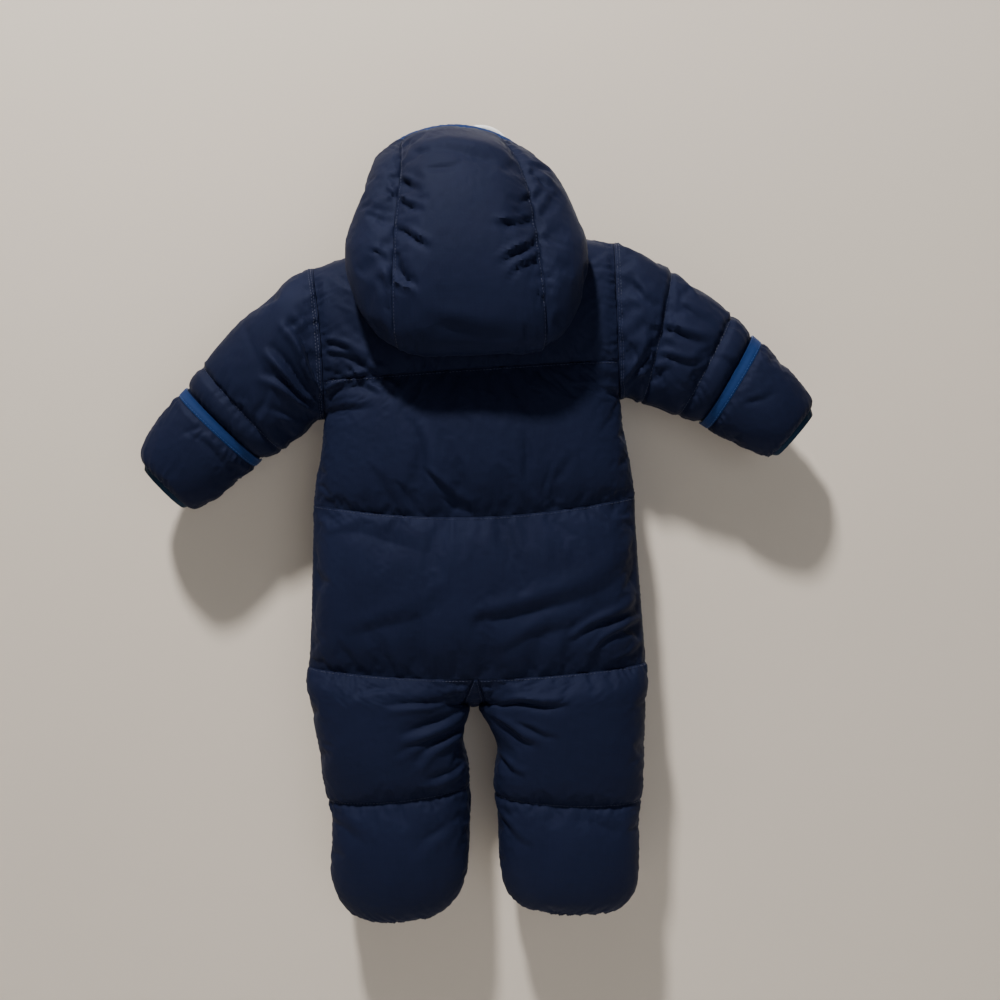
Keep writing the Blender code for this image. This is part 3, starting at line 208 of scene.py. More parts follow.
@dataclass
class Cut:
    """A coarse grid of a piece's inner face, with its normals. Fine grids are made from it."""

    points: Grid
    normals: Grid
    closed: bool = False

    def weights(self, places: np.ndarray, count: int, closed: bool) -> np.ndarray:
        """Weights that carry values at whole rows or columns to places between them, on smooth curves.

        Args:
            places: The wanted places, in rows or columns.
            count: How many rows or columns the coarse grid has.
            closed: Whether the last one joins the first.

        Returns:
            A matrix, wanted places by coarse ones.
        """
        matrix = np.zeros((len(places), count))
        for k, place in enumerate(places):
            start = int(min(math.floor(place + 1e-9), count - (1 if closed else 2)))
            t = place - start
            basis = (-0.5 * t ** 3 + t ** 2 - 0.5 * t, 1.5 * t ** 3 - 2.5 * t ** 2 + 1,
                     -1.5 * t ** 3 + 2 * t ** 2 + 0.5 * t, 0.5 * t ** 3 - 0.5 * t ** 2)
            for offset, weight in zip((-1, 0, 1, 2), basis):
                index = start + offset
                if closed:
                    matrix[k, index % count] += weight
                elif index < 0:
                    matrix[k, 0] += 2 * weight
                    matrix[k, 1] -= weight
                elif index >= count:
                    matrix[k, count - 1] += 2 * weight
                    matrix[k, count - 2] -= weight
                else:
                    matrix[k, index] += weight
        return matrix

    def fine(self, rows: tuple[int, int], columns: tuple[int, int], step: float) -> "Cloth":
        """A fine grid of the part between two rows and two columns.

        Args:
            rows: The first and last coarse row.
            columns: The first and last coarse column.
            step: About how far apart the fine points lie.

        Returns:
            The fine grid, with the place of each of its rows and columns.
        """
        count = self.points.shape[1]
        down = np.linalg.norm(np.diff(self.points, axis=0), axis=2).mean(axis=1)
        wrapped = np.take(self.points, np.arange(columns[0], columns[1] + 1) % count, axis=1)
        along = np.linalg.norm(np.diff(wrapped, axis=1), axis=2).mean(axis=0)
        row_places = spread(rows[0], [down[i] for i in range(*rows)], step)
        column_places = spread(columns[0], list(along), step)
        whole = self.closed and columns[1] - columns[0] == count
        if whole:
            column_places = column_places[:-1]
        by_row = self.weights(row_places, len(self.points), False)
        turns = np.mod(column_places, count) if self.closed else column_places
        by_column = self.weights(turns, count, self.closed)
        points = np.einsum("ai,ijk,bj->abk", by_row, self.points, by_column)
        normals = np.einsum("ai,ijk,bj->abk", by_row, self.normals, by_column)
        normals /= np.linalg.norm(normals, axis=2, keepdims=True)
        return Cloth(points, normals, row_places, column_places, whole)


def spread(start: float, lengths: Sequence[float], step: float) -> np.ndarray:
    """Places along a row of cells, so that each cell is cut into equal parts of about one step.

    Args:
        start: The number of the first cell's start.
        lengths: The length of each cell.
        step: The wanted length of a part.

    Returns:
        The places, in cells.
    """
    places = [float(start)]
    for index, length in enumerate(lengths):
        parts = max(1, round(length / step))
        places += [start + index + (k + 1) / parts for k in range(parts)]
    return np.array(places)


@dataclass
class Cloth:
    """A fine grid of a piece of cloth, on its way to becoming a mesh."""

    inner: Grid
    normals: Grid
    rows: np.ndarray
    columns: np.ndarray
    closed: bool
    thickness: Grid = field(default=None)
    held: Grid = field(default=None)
    outer: Grid = field(default=None)
    sides: tuple[str, ...] = ("top", "bottom", "start", "end")

    def run_down(self) -> Grid:
        """Distance of each point from the first row, along its column."""
        steps = np.linalg.norm(np.diff(self.inner, axis=0), axis=2)
        return np.vstack((np.zeros((1, self.inner.shape[1])), np.cumsum(steps, axis=0)))

    def run_across(self) -> Grid:
        """Distance of each point from the first column, along its row."""
        steps = np.linalg.norm(np.diff(self.inner, axis=1), axis=2)
        return np.hstack((np.zeros((len(self.inner), 1)), np.cumsum(steps, axis=1)))

    def row_of(self, place: float) -> int:
        """The fine row that lies at a coarse row."""
        return int(np.argmin(np.abs(self.rows - place)))

    def fullness(self, seams: Sequence[float]) -> Grid:
        """How full the padding is at each point, between the rows where seams hold it.

        Args:
            seams: The coarse rows of the seams.

        Returns:
            A value from 0 to 1 for each point.
        """
        down = self.run_down()
        full = np.zeros(down.shape)
        for first, last in zip(seams, seams[1:]):
            a, b = self.row_of(first), self.row_of(last)
            if b > a:
                full[a:b + 1] = pillow((down[a:b + 1] - down[a]) / (down[b] - down[a]))
        return full

    def seam_distance(self, lines: Sequence[float] = ()) -> Grid:
        """How far each point lies from the nearest edge of the piece that is sewn, or quilting line.

        Args:
            lines: The coarse rows of quilting lines inside the piece.

        Returns:
            The distance of each point.
        """
        down, along = self.run_down(), self.run_across()
        nearest = np.full(down.shape, 1e3)
        if "top" in self.sides:
            nearest = np.minimum(nearest, down)
        if "bottom" in self.sides:
            nearest = np.minimum(nearest, down[-1] - down)
        if not self.closed and "start" in self.sides:
            nearest = np.minimum(nearest, along)
        if not self.closed and "end" in self.sides:
            nearest = np.minimum(nearest, along[:, -1:] - along)
        for line in lines:
            nearest = np.minimum(nearest, np.abs(down - down[self.row_of(line)]))
        return nearest

    def mark_held(self, lines: Sequence[float] = ()) -> None:
        """Mark the points that seams hold down.

        Args:
            lines: The coarse rows of quilting lines inside the piece.
        """
        self.held = np.zeros(self.inner.shape[:2], bool)
        self.held[0] = self.held[-1] = True
        if not self.closed:
            self.held[:, 0] = self.held[:, -1] = True
        for line in lines:
            self.held[self.row_of(line)] = True

    def puff(self, thickness: Grid, lines: Sequence[float] = (), groove: float = 1.9,
             soft: float = 5.5) -> None:
        """Give the cloth its outer face.

        Args:
            thickness: The thickness at each point.
            lines: The coarse rows of quilting lines inside the piece.
            groove: The thickness at a seam itself.
            soft: How far from a seam the cloth has its full thickness.
        """
        rise = np.clip(self.seam_distance(lines) / soft, 0.0, 1.0)
        rise = np.sin(rise * np.pi / 2)
        self.thickness = groove + (thickness - groove) * rise
        self.mark_held(lines)
        self.outer = self.inner + self.normals * self.thickness[..., None]

    def relax(self, passes: int = 14) -> None:
        """Even out the outer face where no seam holds it.

        Args:
            passes: How often each point is mixed with its neighbours.
        """
        for _ in range(passes):
            even = np.stack([blurred(self.outer[..., k], self.closed, 1) for k in range(3)], axis=-1)
            self.outer = np.where(self.held[..., None], self.outer, even)

    def drawn_back(self) -> None:
        """Draw the sewn edges back by half a seam gap, along the cloth."""
        half = SEAM_GAP / 2
        for side, edge, second in (("top", np.s_[0], np.s_[1]), ("bottom", np.s_[-1], np.s_[-2]),
                                   ("start", np.s_[:, 0], np.s_[:, 1]), ("end", np.s_[:, -1], np.s_[:, -2])):
            if side not in self.sides or self.closed and side in ("start", "end"):
                continue
            shift = self.inner[second] - self.inner[edge]
            shift = shift / np.linalg.norm(shift, axis=-1, keepdims=True) * half
            self.inner[edge] = self.inner[edge] + shift
            self.outer[edge] = self.outer[edge] + shift


# ---------------------------------------------------------------- body

@dataclass
class BodyCut:
    """The cut of the back and the fronts, from the shoulders to the second waist seam."""

    left: Armhole = Armhole(-165.0, -139.0, -153.0, -284.0, 5.5)
    right: Armhole = Armhole(132.0, -114.0, 138.0, -265.0, -2.0)
    columns: int = 20
    shoulder_columns: int = 6
    yoke_rows: int = 8
    armhole_rows: int = 12
    chest_rows: int = 4
    waist_rows: int = 7
    yoke_angle: float = math.radians(124.0)
    underarm_ease: float = 0.7
    neck_left_z: float = -108.0
    neck_right_z: float = -99.0
    neck_back_depth: float = 22.0
    neck_front_depth: float = 26.0
    neck_back_dip: float = 3.0
    neck_front_dip: float = 30.0
    yoke_middle_z: float = -242.0
    underarm_middle_z: float = -276.0
    first_waist: tuple[float, float, float] = (-372.0, -384.0, -364.0)
    second_waist: tuple[float, float, float] = (-532.0, -540.0, -528.0)
    zip_half_width: float = 6.2
    body_puff: float = 9.0
    yoke_puff: float = 3.0
    front_puff: float = 8.0
    # z, left, right, back, front
    table: tuple[tuple[float, float, float, float, float], ...] = (
        (-200.0, -153.0, 133.0, 39.0, 35.0),
        (-265.0, -153.0, 138.0, 42.0, 36.0),
        (-284.0, -153.0, 139.0, 42.0, 36.0),
        (-321.0, -156.0, 146.0, 43.0, 37.0),
        (-359.0, -163.0, 152.0, 43.0, 37.0),
        (-384.0, -164.0, 153.0, 41.0, 36.0),
        (-416.0, -164.5, 155.0, 43.0, 38.0),
        (-456.0, -165.5, 158.0, 44.0, 39.0),
        (-496.0, -166.5, 161.0, 43.0, 38.0),
        (-520.0, -168.0, 163.0, 42.0, 37.0),
        (-540.0, -169.0, 163.0, 40.0, 36.0),
    )

    @property
    def rows(self) -> int:
        """The number of the last row."""
        return self.armhole_rows + self.chest_rows + self.waist_rows

    @property
    def seams(self) -> tuple[int, int, int, int]:
        """The rows of the shoulder, the yoke's seam and the two waist seams."""
        return 0, self.yoke_rows, self.armhole_rows + self.chest_rows, self.rows

    def armhole_angle(self, row: float) -> float:
        """The angle round the armhole from its top, for a row."""
        if row <= self.yoke_rows:
            return self.yoke_angle * row / self.yoke_rows
        return lerp(self.yoke_angle, math.pi, (row - self.yoke_rows) / (self.armhole_rows - self.yoke_rows))

    def armhole_width(self, row: int) -> float:
        """Half of the armhole's width, front to back, at a row."""
        if row >= self.armhole_rows:
            return 0.0
        return self.left.depth * max(math.sin(self.armhole_angle(row)), 0.0) ** self.left.power

    def across(self, row: int, share: float) -> float:
        """The place across the body, from 0 to 1, of a share of its girth at a row."""
        widest = self.armhole_width(max(row, self.armhole_rows // 2))
        start = math.asin((widest / self.table[0][3]) ** (1 / ROUNDNESS))
        turn = start + (math.pi - 2 * start) * share
        return 0.5 - math.cos(turn) / (2 * math.cos(start))

    @staticmethod
    def depth_across(place: float, edge_depth: float, depth: float) -> float:
        """Depth of the body at a place across it: edge_depth at the edges and depth at the middle."""
        fall = 1 - (edge_depth / depth) ** (2 / ROUNDNESS)
        return depth * max(1 - fall * (1 - 2 * place) ** 2, 0.0) ** (ROUNDNESS / 2)

    @staticmethod
    def arched(left: float, middle: float, right: float, place: float) -> float:
        """A value across the body that passes through three given ones."""
        return lerp(left, right, place) + (middle - (left + right) / 2) * 4 * place * (1 - place)

    def level(self, row: int) -> tuple[float, ...]:
        """Heights of the left side, the middle and the right side at a row below the underarm."""
        underarm = (self.left.under_z, self.underarm_middle_z, self.right.under_z)
        first = self.armhole_rows + self.chest_rows
        if row <= first:
            share = (row - self.armhole_rows) / self.chest_rows
            return tuple(lerp(a, b, share) for a, b in zip(underarm, self.first_waist))
        share = (row - first) / self.waist_rows
        return tuple(lerp(a, b, share) for a, b in zip(self.first_waist, self.second_waist))

    def neck_point(self, place: float, front: bool) -> tuple[float, float]:
        """Depth and height of the top row: along a shoulder seam, or round the neck.

        Args:
            place: The place across the body.
            front: Whether it is on the front.

        Returns:
            The place along Y and the height.
        """
        start = self.across(0, self.shoulder_columns / self.columns)
        if place <= start:
            return 0.0, lerp(self.left.top_z, self.neck_left_z, place / start)
        if place >= 1 - start:
            return 0.0, lerp(self.right.top_z, self.neck_right_z, (1 - place) / start)
        share = (place - start) / (1 - 2 * start)
        bulge = math.sqrt(max(1 - (2 * share - 1) ** 2, 0.0))
        corner_z = lerp(self.neck_left_z, self.neck_right_z, share)
        if front:
            return self.neck_front_depth * bulge, corner_z - self.neck_front_dip * bulge ** 2
        return -self.neck_back_depth * bulge, corner_z - self.neck_back_dip * bulge

    def point(self, row: int, place: float, front: bool) -> Vector:
        """A point of the inner face.

        Args:
            row: The row of the grid.
            place: The place across the body, 0 at its left edge.
            front: Whether it is on the front.

        Returns:
            The point.
        """
        side = 1.0 if front else -1.0
        column = 4 if front else 3
        if row > self.armhole_rows:
            left_z, middle_z, right_z = self.level(row)
            x = lerp(smooth_at(self.table, left_z, 1), smooth_at(self.table, right_z, 2), place)
            y = side * self.depth_across(place, 0.0, smooth_at(self.table, middle_z, column))
            return Vector((x, y, self.arched(left_z, middle_z, right_z, place)))
        angle = self.armhole_angle(row)
        x = lerp(self.left.point(angle).x, self.right.point(angle).x, place)
        top_y, top_z = self.neck_point(place, front)
        seam_z = self.arched(self.left.point(self.yoke_angle).z, self.yoke_middle_z,
                             self.right.point(self.yoke_angle).z, place)
        if row <= self.yoke_rows:
            z = lerp(top_z, seam_z, (1 - math.cos(angle)) / (1 - math.cos(self.yoke_angle)))
        else:
            under_z = self.arched(self.left.under_z, self.underarm_middle_z, self.right.under_z, place)
            share = (math.cos(self.yoke_angle) - math.cos(angle)) / (math.cos(self.yoke_angle) + 1)
            z = lerp(seam_z, under_z, share)
        depth = smooth_at(self.table, min(z, self.table[0][0]), column)
        if row <= self.armhole_rows // 2:
            full = self.depth_across(place, self.left.depth, depth)
            return Vector((x, lerp(top_y, side * full, math.sin(angle) ** self.left.power), z))
        return Vector((x, side * self.depth_across(place, self.armhole_width(row), depth), z))

    def edge_normal(self, left: bool, row: int, front: bool) -> Vector:
        """Normal at a side edge: round the armhole above the underarm, sideways below it."""
        if row > self.armhole_rows:
            return Vector((-1.0 if left else 1.0, 0.0, 0.0))
        normal = (self.left if left else self.right).normal(self.armhole_angle(row))
        return Vector((normal.x, -normal.y, normal.z)) if front else normal

    def seam_normals(self, points: Grid, front: bool, shoulder: Sequence[int]) -> Grid:
        """Normals of a grid of the body, shared along every seam with the pieces that meet there."""
        normals = grid_normals(points)
        wrong = (normals[..., 1] < 0) if front else (normals[..., 1] > 0)
        normals[..., 1] = np.where(wrong, 0.0, normals[..., 1])
        for row in self.seams[2:]:
            normals[row, :, 2] = 0.0
        normals[0, list(shoulder)] = (0.0, 0.0, 1.0)
        return normals / np.linalg.norm(normals, axis=2, keepdims=True)

    def back(self) -> Cut:
        """The coarse grid of the whole back."""
        count = self.columns
        points = np.array([[self.point(i, self.across(i, j / count), False) for j in range(count + 1)]
                           for i in range(self.rows + 1)])
        shoulder = [*range(self.shoulder_columns + 1), *range(count - self.shoulder_columns, count + 1)]
        normals = self.seam_normals(points, False, shoulder)
        for i in range(self.rows + 1):
            normals[i, 0] = self.edge_normal(True, i, False)
            normals[i, -1] = self.edge_normal(False, i, False)
        return Cut(points, normals)

    def front(self, left: bool) -> Cut:
        """The coarse grid of one front, from its side seam to the zip."""
        lines = []
        for i in range(self.rows + 1):
            width = self.point(i, 1.0, True).x - self.point(i, 0.0, True).x
            places = [self.across(i, j / self.columns) for j in range(self.columns // 2)]
            places.append(0.5 - self.zip_half_width / width)
            lines.append([self.point(i, place if left else 1 - place, True) for place in places])
        points = np.array(lines)
        normals = self.seam_normals(points, True, range(self.shoulder_columns + 1))
        for i in range(self.rows + 1):
            normals[i, 0] = self.edge_normal(left, i, True)
        normals[:, -1, 0] = 0.0
        normals /= np.linalg.norm(normals, axis=2, keepdims=True)
        return Cut(points, normals)

    def held_inside(self, grid: Grid) -> Grid:
        """A grid's points, kept inside the surfaces of the two armholes down to the underarms."""
        grid = grid.copy()
        for armhole, side in ((self.left, -1.0), (self.right, 1.0)):
            below = armhole.under_z - grid[..., 2]
            ease = np.where(below > -SHELL, self.underarm_ease, SEAM_GAP)
            limit = side * armhole.x_at(grid[..., 2]) - ease
            kept = side * np.minimum(side * grid[..., 0], limit)
            grid[..., 0] = np.where(below < SHELL + SEAM_GAP, kept, grid[..., 0])
        return grid

    def coarse_outer(self, cut: Cut, front: bool) -> Grid:
        """The body's outer face on its coarse grid, which the hood lies on."""
        down = np.vstack((np.zeros((1, cut.points.shape[1])),
                          np.cumsum(np.linalg.norm(np.diff(cut.points, axis=0), axis=2), axis=0)))
        full = np.zeros(down.shape)
        for first, last in zip(self.seams, self.seams[1:]):
            full[first:last + 1] = pillow((down[first:last + 1] - down[first]) / (down[last] - down[first]))
        rows = np.arange(len(down))[:, None]
        columns = np.arange(down.shape[1])[None]
        girth = swell_across(columns, down.shape[1] - 1)
        if front:
            amount = self.front_puff * np.minimum(rows / self.yoke_rows, 1.0)
        else:
            amount = np.where(rows <= self.yoke_rows, self.yoke_puff, self.body_puff)
        return self.held_inside(cut.points + cut.normals * (SHELL + amount * full * girth)[..., None])


# ---------------------------------------------------------------- creases

@dataclass(frozen=True)
class Crease:
    """A soft trough pressed into the cloth, as seen from behind, with a ridge along one side of it."""

    start_x: float
    start_z: float
    end_x: float
    end_z: float
    width: float
    depth: float
    ridge: float = 0.45
    bow: float = 0.13            # how far a crease bows aside, as a share of its length
    snake: float = 0.03
    tip_depth: float = 0.42      # depth at the crease's ends, as a share of its middle's
    more_depth: float = 0.58     # what its middle adds
    skew: float = 0.45           # how far its deepest place leaves the middle
    narrow: float = 0.62         # width at its start, as a share of the stated one
    widening: float = 0.5
    sharpness: float = 1.15
    ridge_place: float = 1.45    # from the trough, in widths
    ridge_width: float = 0.95

    def relief(self, x: np.ndarray, z: np.ndarray) -> np.ndarray:
        """How far the crease moves points out of the cloth; inwards is negative.

        Args:
            x: Places of the points along X.
            z: Their heights.

        Returns:
            The move of each point.
        """
        run = np.array((self.end_x - self.start_x, self.end_z - self.start_z))
        length = np.hypot(*run)
        run = run / length
        along = (x - self.start_x) * run[0] + (z - self.start_z) * run[1]
        aside = (x - self.start_x) * -run[1] + (z - self.start_z) * run[0]
        share = np.clip(along / length, 0.0, 1.0)
        own = math.sin(0.37 * self.start_x + 0.91 * self.end_z)     # each crease's own, from -1 to 1
        aside = aside - self.bow * own * length * np.sin(np.pi * share)
        aside = aside - self.snake * length * np.sin(2 * np.pi * share + own)
        past = np.maximum(np.maximum(-along, along - length), 0.0)
        lean = np.sin(np.pi * share ** (1.0 + self.skew * own))
        fade = np.exp(-(past / self.width) ** 2) * (self.tip_depth + self.more_depth * lean)
        width = self.width * (self.narrow + self.widening * share)
        trough = -np.exp(-(np.abs(aside) / width) ** self.sharpness)
        ridge = self.ridge * np.exp(-((aside - self.ridge_place * width) / (self.ridge_width * width)) ** 2)
        return self.depth * fade * (trough + ridge)


BACK_CREASES: tuple[Crease, ...] = (
    Crease(-68.0, -296.0, -62.0, -358.0, 9.0, 4.2, 0.7),
    Crease(-52.0, -340.0, -12.0, -375.0, 5.0, 3.8, 0.7),
    Crease(-84.0, -352.0, -70.0, -372.0, 4.0, 2.8),
    Crease(-36.0, -366.0, -6.0, -381.0, 3.6, 2.4),
    Crease(47.0, -306.0, 53.0, -358.0, 6.5, 3.2),
    Crease(72.0, -332.0, 64.0, -368.0, 4.0, 2.4),
    Crease(-153.0, -266.0, -101.0, -246.0, 5.5, 5.4, 1.2),
    Crease(-152.0, -283.0, -112.0, -276.0, 5.0, 3.0),
    Crease(-152.0, -212.0, -112.0, -232.0, 5.4, 3.8, 0.9),
    Crease(-150.0, -224.0, -98.0, -247.0, 5.0, 3.8, 1.0),
    Crease(-130.0, -236.0, -104.0, -260.0, 4.0, 4.2, 1.0),
    Crease(-112.0, -246.0, -86.0, -264.0, 4.0, 4.0, 1.0),
    Crease(-146.0, -240.0, -122.0, -252.0, 4.0, 2.6),
    Crease(104.0, -242.0, 128.0, -262.0, 4.5, 2.6),
    Crease(0.0, -486.0, 152.0, -430.0, 13.0, 4.2, 0.8),
    Crease(30.0, -518.0, 120.0, -478.0, 11.0, 3.0, 0.6),
    Crease(96.0, -508.0, 160.0, -474.0, 5.5, 4.4, 0.8),
    Crease(116.0, -523.0, 164.0, -494.0, 4.6, 4.0, 0.8),
    Crease(136.0, -530.0, 166.0, -512.0, 4.0, 2.8),
    Crease(-148.0, -405.0, -60.0, -422.0, 14.0, 2.8, 0.6),
    Crease(-120.0, -500.0, -40.0, -470.0, 12.0, 2.6, 0.6),
    Crease(-16.0, -571.0, -76.0, -600.0, 6.0, 5.4, 0.8),
    Crease(-15.0, -596.0, -62.0, -630.0, 5.0, 4.8, 0.8),
    Crease(-16.0, -628.0, -52.0, -648.0, 4.2, 3.6, 0.7),
    Crease(-30.0, -563.0, -92.0, -572.0, 4.2, 3.4, 0.7),
    Crease(-40.0, -606.0, -80.0, -622.0, 4.0, 3.0),
    Crease(-88.0, -556.0, -130.0, -566.0, 5.0, 2.2),
    Crease(10.0, -556.5, -36.0, -557.5, 3.2, 3.2, 1.1),
    Crease(-150.0, -690.0, -118.0, -712.0, 9.0, 3.0),
    Crease(-30.0, -690.0, -62.0, -716.0, 7.0, 2.6),
    Crease(22.0, -574.0, 84.0, -575.0, 5.0, 5.2, 0.8),
    Crease(15.0, -589.0, 52.0, -614.0, 5.0, 4.6, 0.8),
    Crease(18.0, -622.0, 40.0, -644.0, 4.2, 3.6, 0.7),
    Crease(40.0, -592.0, 74.0, -606.0, 4.0, 3.0),
    Crease(20.0, -684.0, 47.0, -714.0, 5.5, 3.4),
    Crease(104.0, -690.0, 142.0, -702.0, 8.0, 2.4),
    Crease(-157.0, -258.0, -190.0, -192.0, 5.0, 7.0, 1.2),
    Crease(-158.0, -268.0, -206.0, -216.0, 4.8, 6.6, 1.2),
    Crease(-160.0, -276.0, -214.0, -242.0, 4.4, 5.4, 1.0),
    Crease(-168.0, -284.0, -210.0, -276.0, 4.0, 3.0),
    Crease(-164.0, -204.0, -182.0, -178.0, 4.4, 3.4),
    Crease(-178.0, -186.0, -198.0, -200.0, 4.0, 2.6),
    Crease(-214.0, -262.0, -232.0, -292.0, 5.0, 2.8),
    Crease(142.0, -256.0, 172.0, -204.0, 4.6, 4.4, 0.8),
    Crease(148.0, -262.0, 190.0, -238.0, 4.2, 3.8, 0.7),
    Crease(174.0, -198.0, 226.0, -213.0, 5.0, 4.2, 0.9),
    Crease(176.0, -222.0, 220.0, -231.0, 4.6, 3.4, 0.8),
    Crease(150.0, -150.0, 174.0, -172.0, 4.6, 3.0),
    Crease(196.0, -172.0, 226.0, -190.0, 5.0, 2.8),
    Crease(240.0, -226.0, 262.0, -240.0, 4.6, 2.8),
    Crease(-290.0, -305.0, -256.0, -336.0, 5.0, 2.4),
    Crease(-276.0, -290.0, -296.0, -300.0, 4.0, 2.0),
    Crease(268.0, -270.0, 292.0, -262.0, 5.0, 2.2),
    Crease(-60.0, -22.0, 24.0, -36.0, 8.0, 3.4, 0.9),
    Crease(-52.0, -36.0, -20.0, -30.0, 4.0, 2.4),
    Crease(-66.0, -151.0, -90.0, -131.0, 6.0, 7.5, 1.0),
    Crease(-88.0, -46.0, -62.0, -58.0, 3.6, 3.6, 0.8),
    Crease(-90.0, -60.0, -60.0, -76.0, 3.6, 4.0, 0.8),
    Crease(-112.0, -84.0, -90.0, -92.0, 3.6, 2.8),
    Crease(-86.0, -96.0, -54.0, -114.0, 3.6, 4.2, 0.9),
    Crease(-110.0, -118.0, -90.0, -124.0, 3.6, 3.2),
    Crease(54.0, -42.0, 70.0, -56.0, 3.6, 3.8, 0.8),
    Crease(40.0, -72.0, 60.0, -62.0, 3.6, 3.2, 0.8),
    Crease(16.0, -90.0, 58.0, -84.0, 4.6, 3.6, 0.7),
    Crease(22.0, -128.0, 60.0, -106.0, 4.6, 4.2, 0.9),
    Crease(30.0, -146.0, 60.0, -128.0, 4.2, 3.6, 0.8),
    Crease(66.0, -104.0, 84.0, -112.0, 3.6, 2.6),
    Crease(-44.0, -190.0, 30.0, -204.0, 13.0, 2.6, 0.6),
)

FRONT_CREASES: tuple[Crease, ...] = (
    Crease(-150.0, -270.0, -92.0, -246.0, 7.0, 3.8),
    Crease(138.0, -252.0, 84.0, -226.0, 7.0, 3.6),
    Crease(-104.0, -306.0, -66.0, -366.0, 9.0, 2.6),
    Crease(58.0, -330.0, 86.0, -368.0, 7.0, 2.2),
    Crease(-140.0, -470.0, -40.0, -440.0, 14.0, 3.0, 0.6),
    Crease(46.0, -500.0, 140.0, -470.0, 10.0, 3.2, 0.6),
    Crease(-18.0, -572.0, -78.0, -596.0, 6.5, 4.2),
    Crease(-18.0, -606.0, -60.0, -632.0, 5.5, 3.4),
    Crease(22.0, -574.0, 82.0, -584.0, 6.0, 4.2),
    Crease(22.0, -602.0, 60.0, -624.0, 5.5, 3.4),
    Crease(-156.0, -270.0, -196.0, -214.0, 5.0, 4.0),
    Crease(-160.0, -277.0, -212.0, -242.0, 5.0, 3.6),
    Crease(144.0, -256.0, 180.0, -206.0, 5.0, 3.6),
    Crease(150.0, -262.0, 206.0, -232.0, 5.0, 3.2),
    Crease(-286.0, -300.0, -262.0, -340.0, 7.0, 2.2),
    Crease(262.0, -240.0, 286.0, -286.0, 7.0, 2.2),
)


FACING = (1.6, 0.1)       # slope and start of a crease's strength as the cloth turns to its side


def creased(points: Grid, normals: Grid, tables: Sequence[tuple[Sequence[Crease], bool]],
            limit: Grid) -> Grid:
    """Points with the creases pressed in along the normals.

    Args:
        points: The outer face.
        normals: Its normals.
        tables: Tables of creases, each with whether it is for the front.
        limit: How deep a crease may go at each point.

    Returns:
        The moved points.
    """
    reach = (points[..., 1] - EYE[1]) / -EYE[1]
    x = EYE[0] + (points[..., 0] - EYE[0]) / reach
    z = EYE[2] + (points[..., 2] - EYE[2]) / reach
    move = np.zeros(points.shape[:2])
    for table, front in tables:
        facing = np.clip((normals[..., 1] if front else -normals[..., 1]) * FACING[0] + FACING[1], 0.0, 1.0)
        side_x, side_z = (points[..., 0], points[..., 2]) if front else (x, z)
        for crease in table:
            move += crease.relief(side_x, side_z) * facing
    return points + normals * np.maximum(move, -limit)[..., None]


@dataclass
class Elastic:
    """The bunches that an elastic draws into the cloth along the bottom of a leg."""

    pitch: float = 10.5
    amount: float = 3.0
    reach: float = 10.0
    pitch_wander: float = 0.35
    wander_length: float = 61.0
    uneven_length: float = 47.0
    border: float = 9.0
    level: float = 0.6           # how much of a bunch's height lies under the cloth's own
    evenness: tuple[float, float] = (0.7, 0.3)      # of the bunches' height: its mean and its swing
    sag: float = 1.6
    sag_reach: float = 6.0

    def draw_in(self, cloth: Cloth, seed: int) -> None:
        """Bunch the bottom of a piece.

        Args:
            cloth: The finished fine cloth.
            seed: What makes this hem's bunches its own.
        """
        rng = np.random.default_rng(seed)
        down, along = cloth.run_down(), cloth.run_across()
        away = down[-1] - down
        wander = np.sin(2 * np.pi * along / self.wander_length + rng.uniform(0, ANY_PHASE))
        phase = along / self.pitch + self.pitch_wander * wander
        bunch = np.abs(np.sin(np.pi * (phase + rng.uniform(0, 1)))) - self.level
        swing = np.sin(2 * np.pi * along / self.uneven_length + rng.uniform(0, ANY_PHASE))
        uneven = self.evenness[0] + self.evenness[1] * swing
        width = along[:, -1:]
        border = np.clip(np.minimum(along, width - along) / self.border, 0.0, 1.0)
        swell = self.amount * bunch * uneven * border * np.exp(-away / self.reach)
        cloth.outer = cloth.outer + cloth.normals * swell[..., None]
        drop = self.sag * swell * np.exp(-away / self.sag_reach)
        cloth.outer[..., 2] -= drop
        cloth.inner[..., 2] -= drop


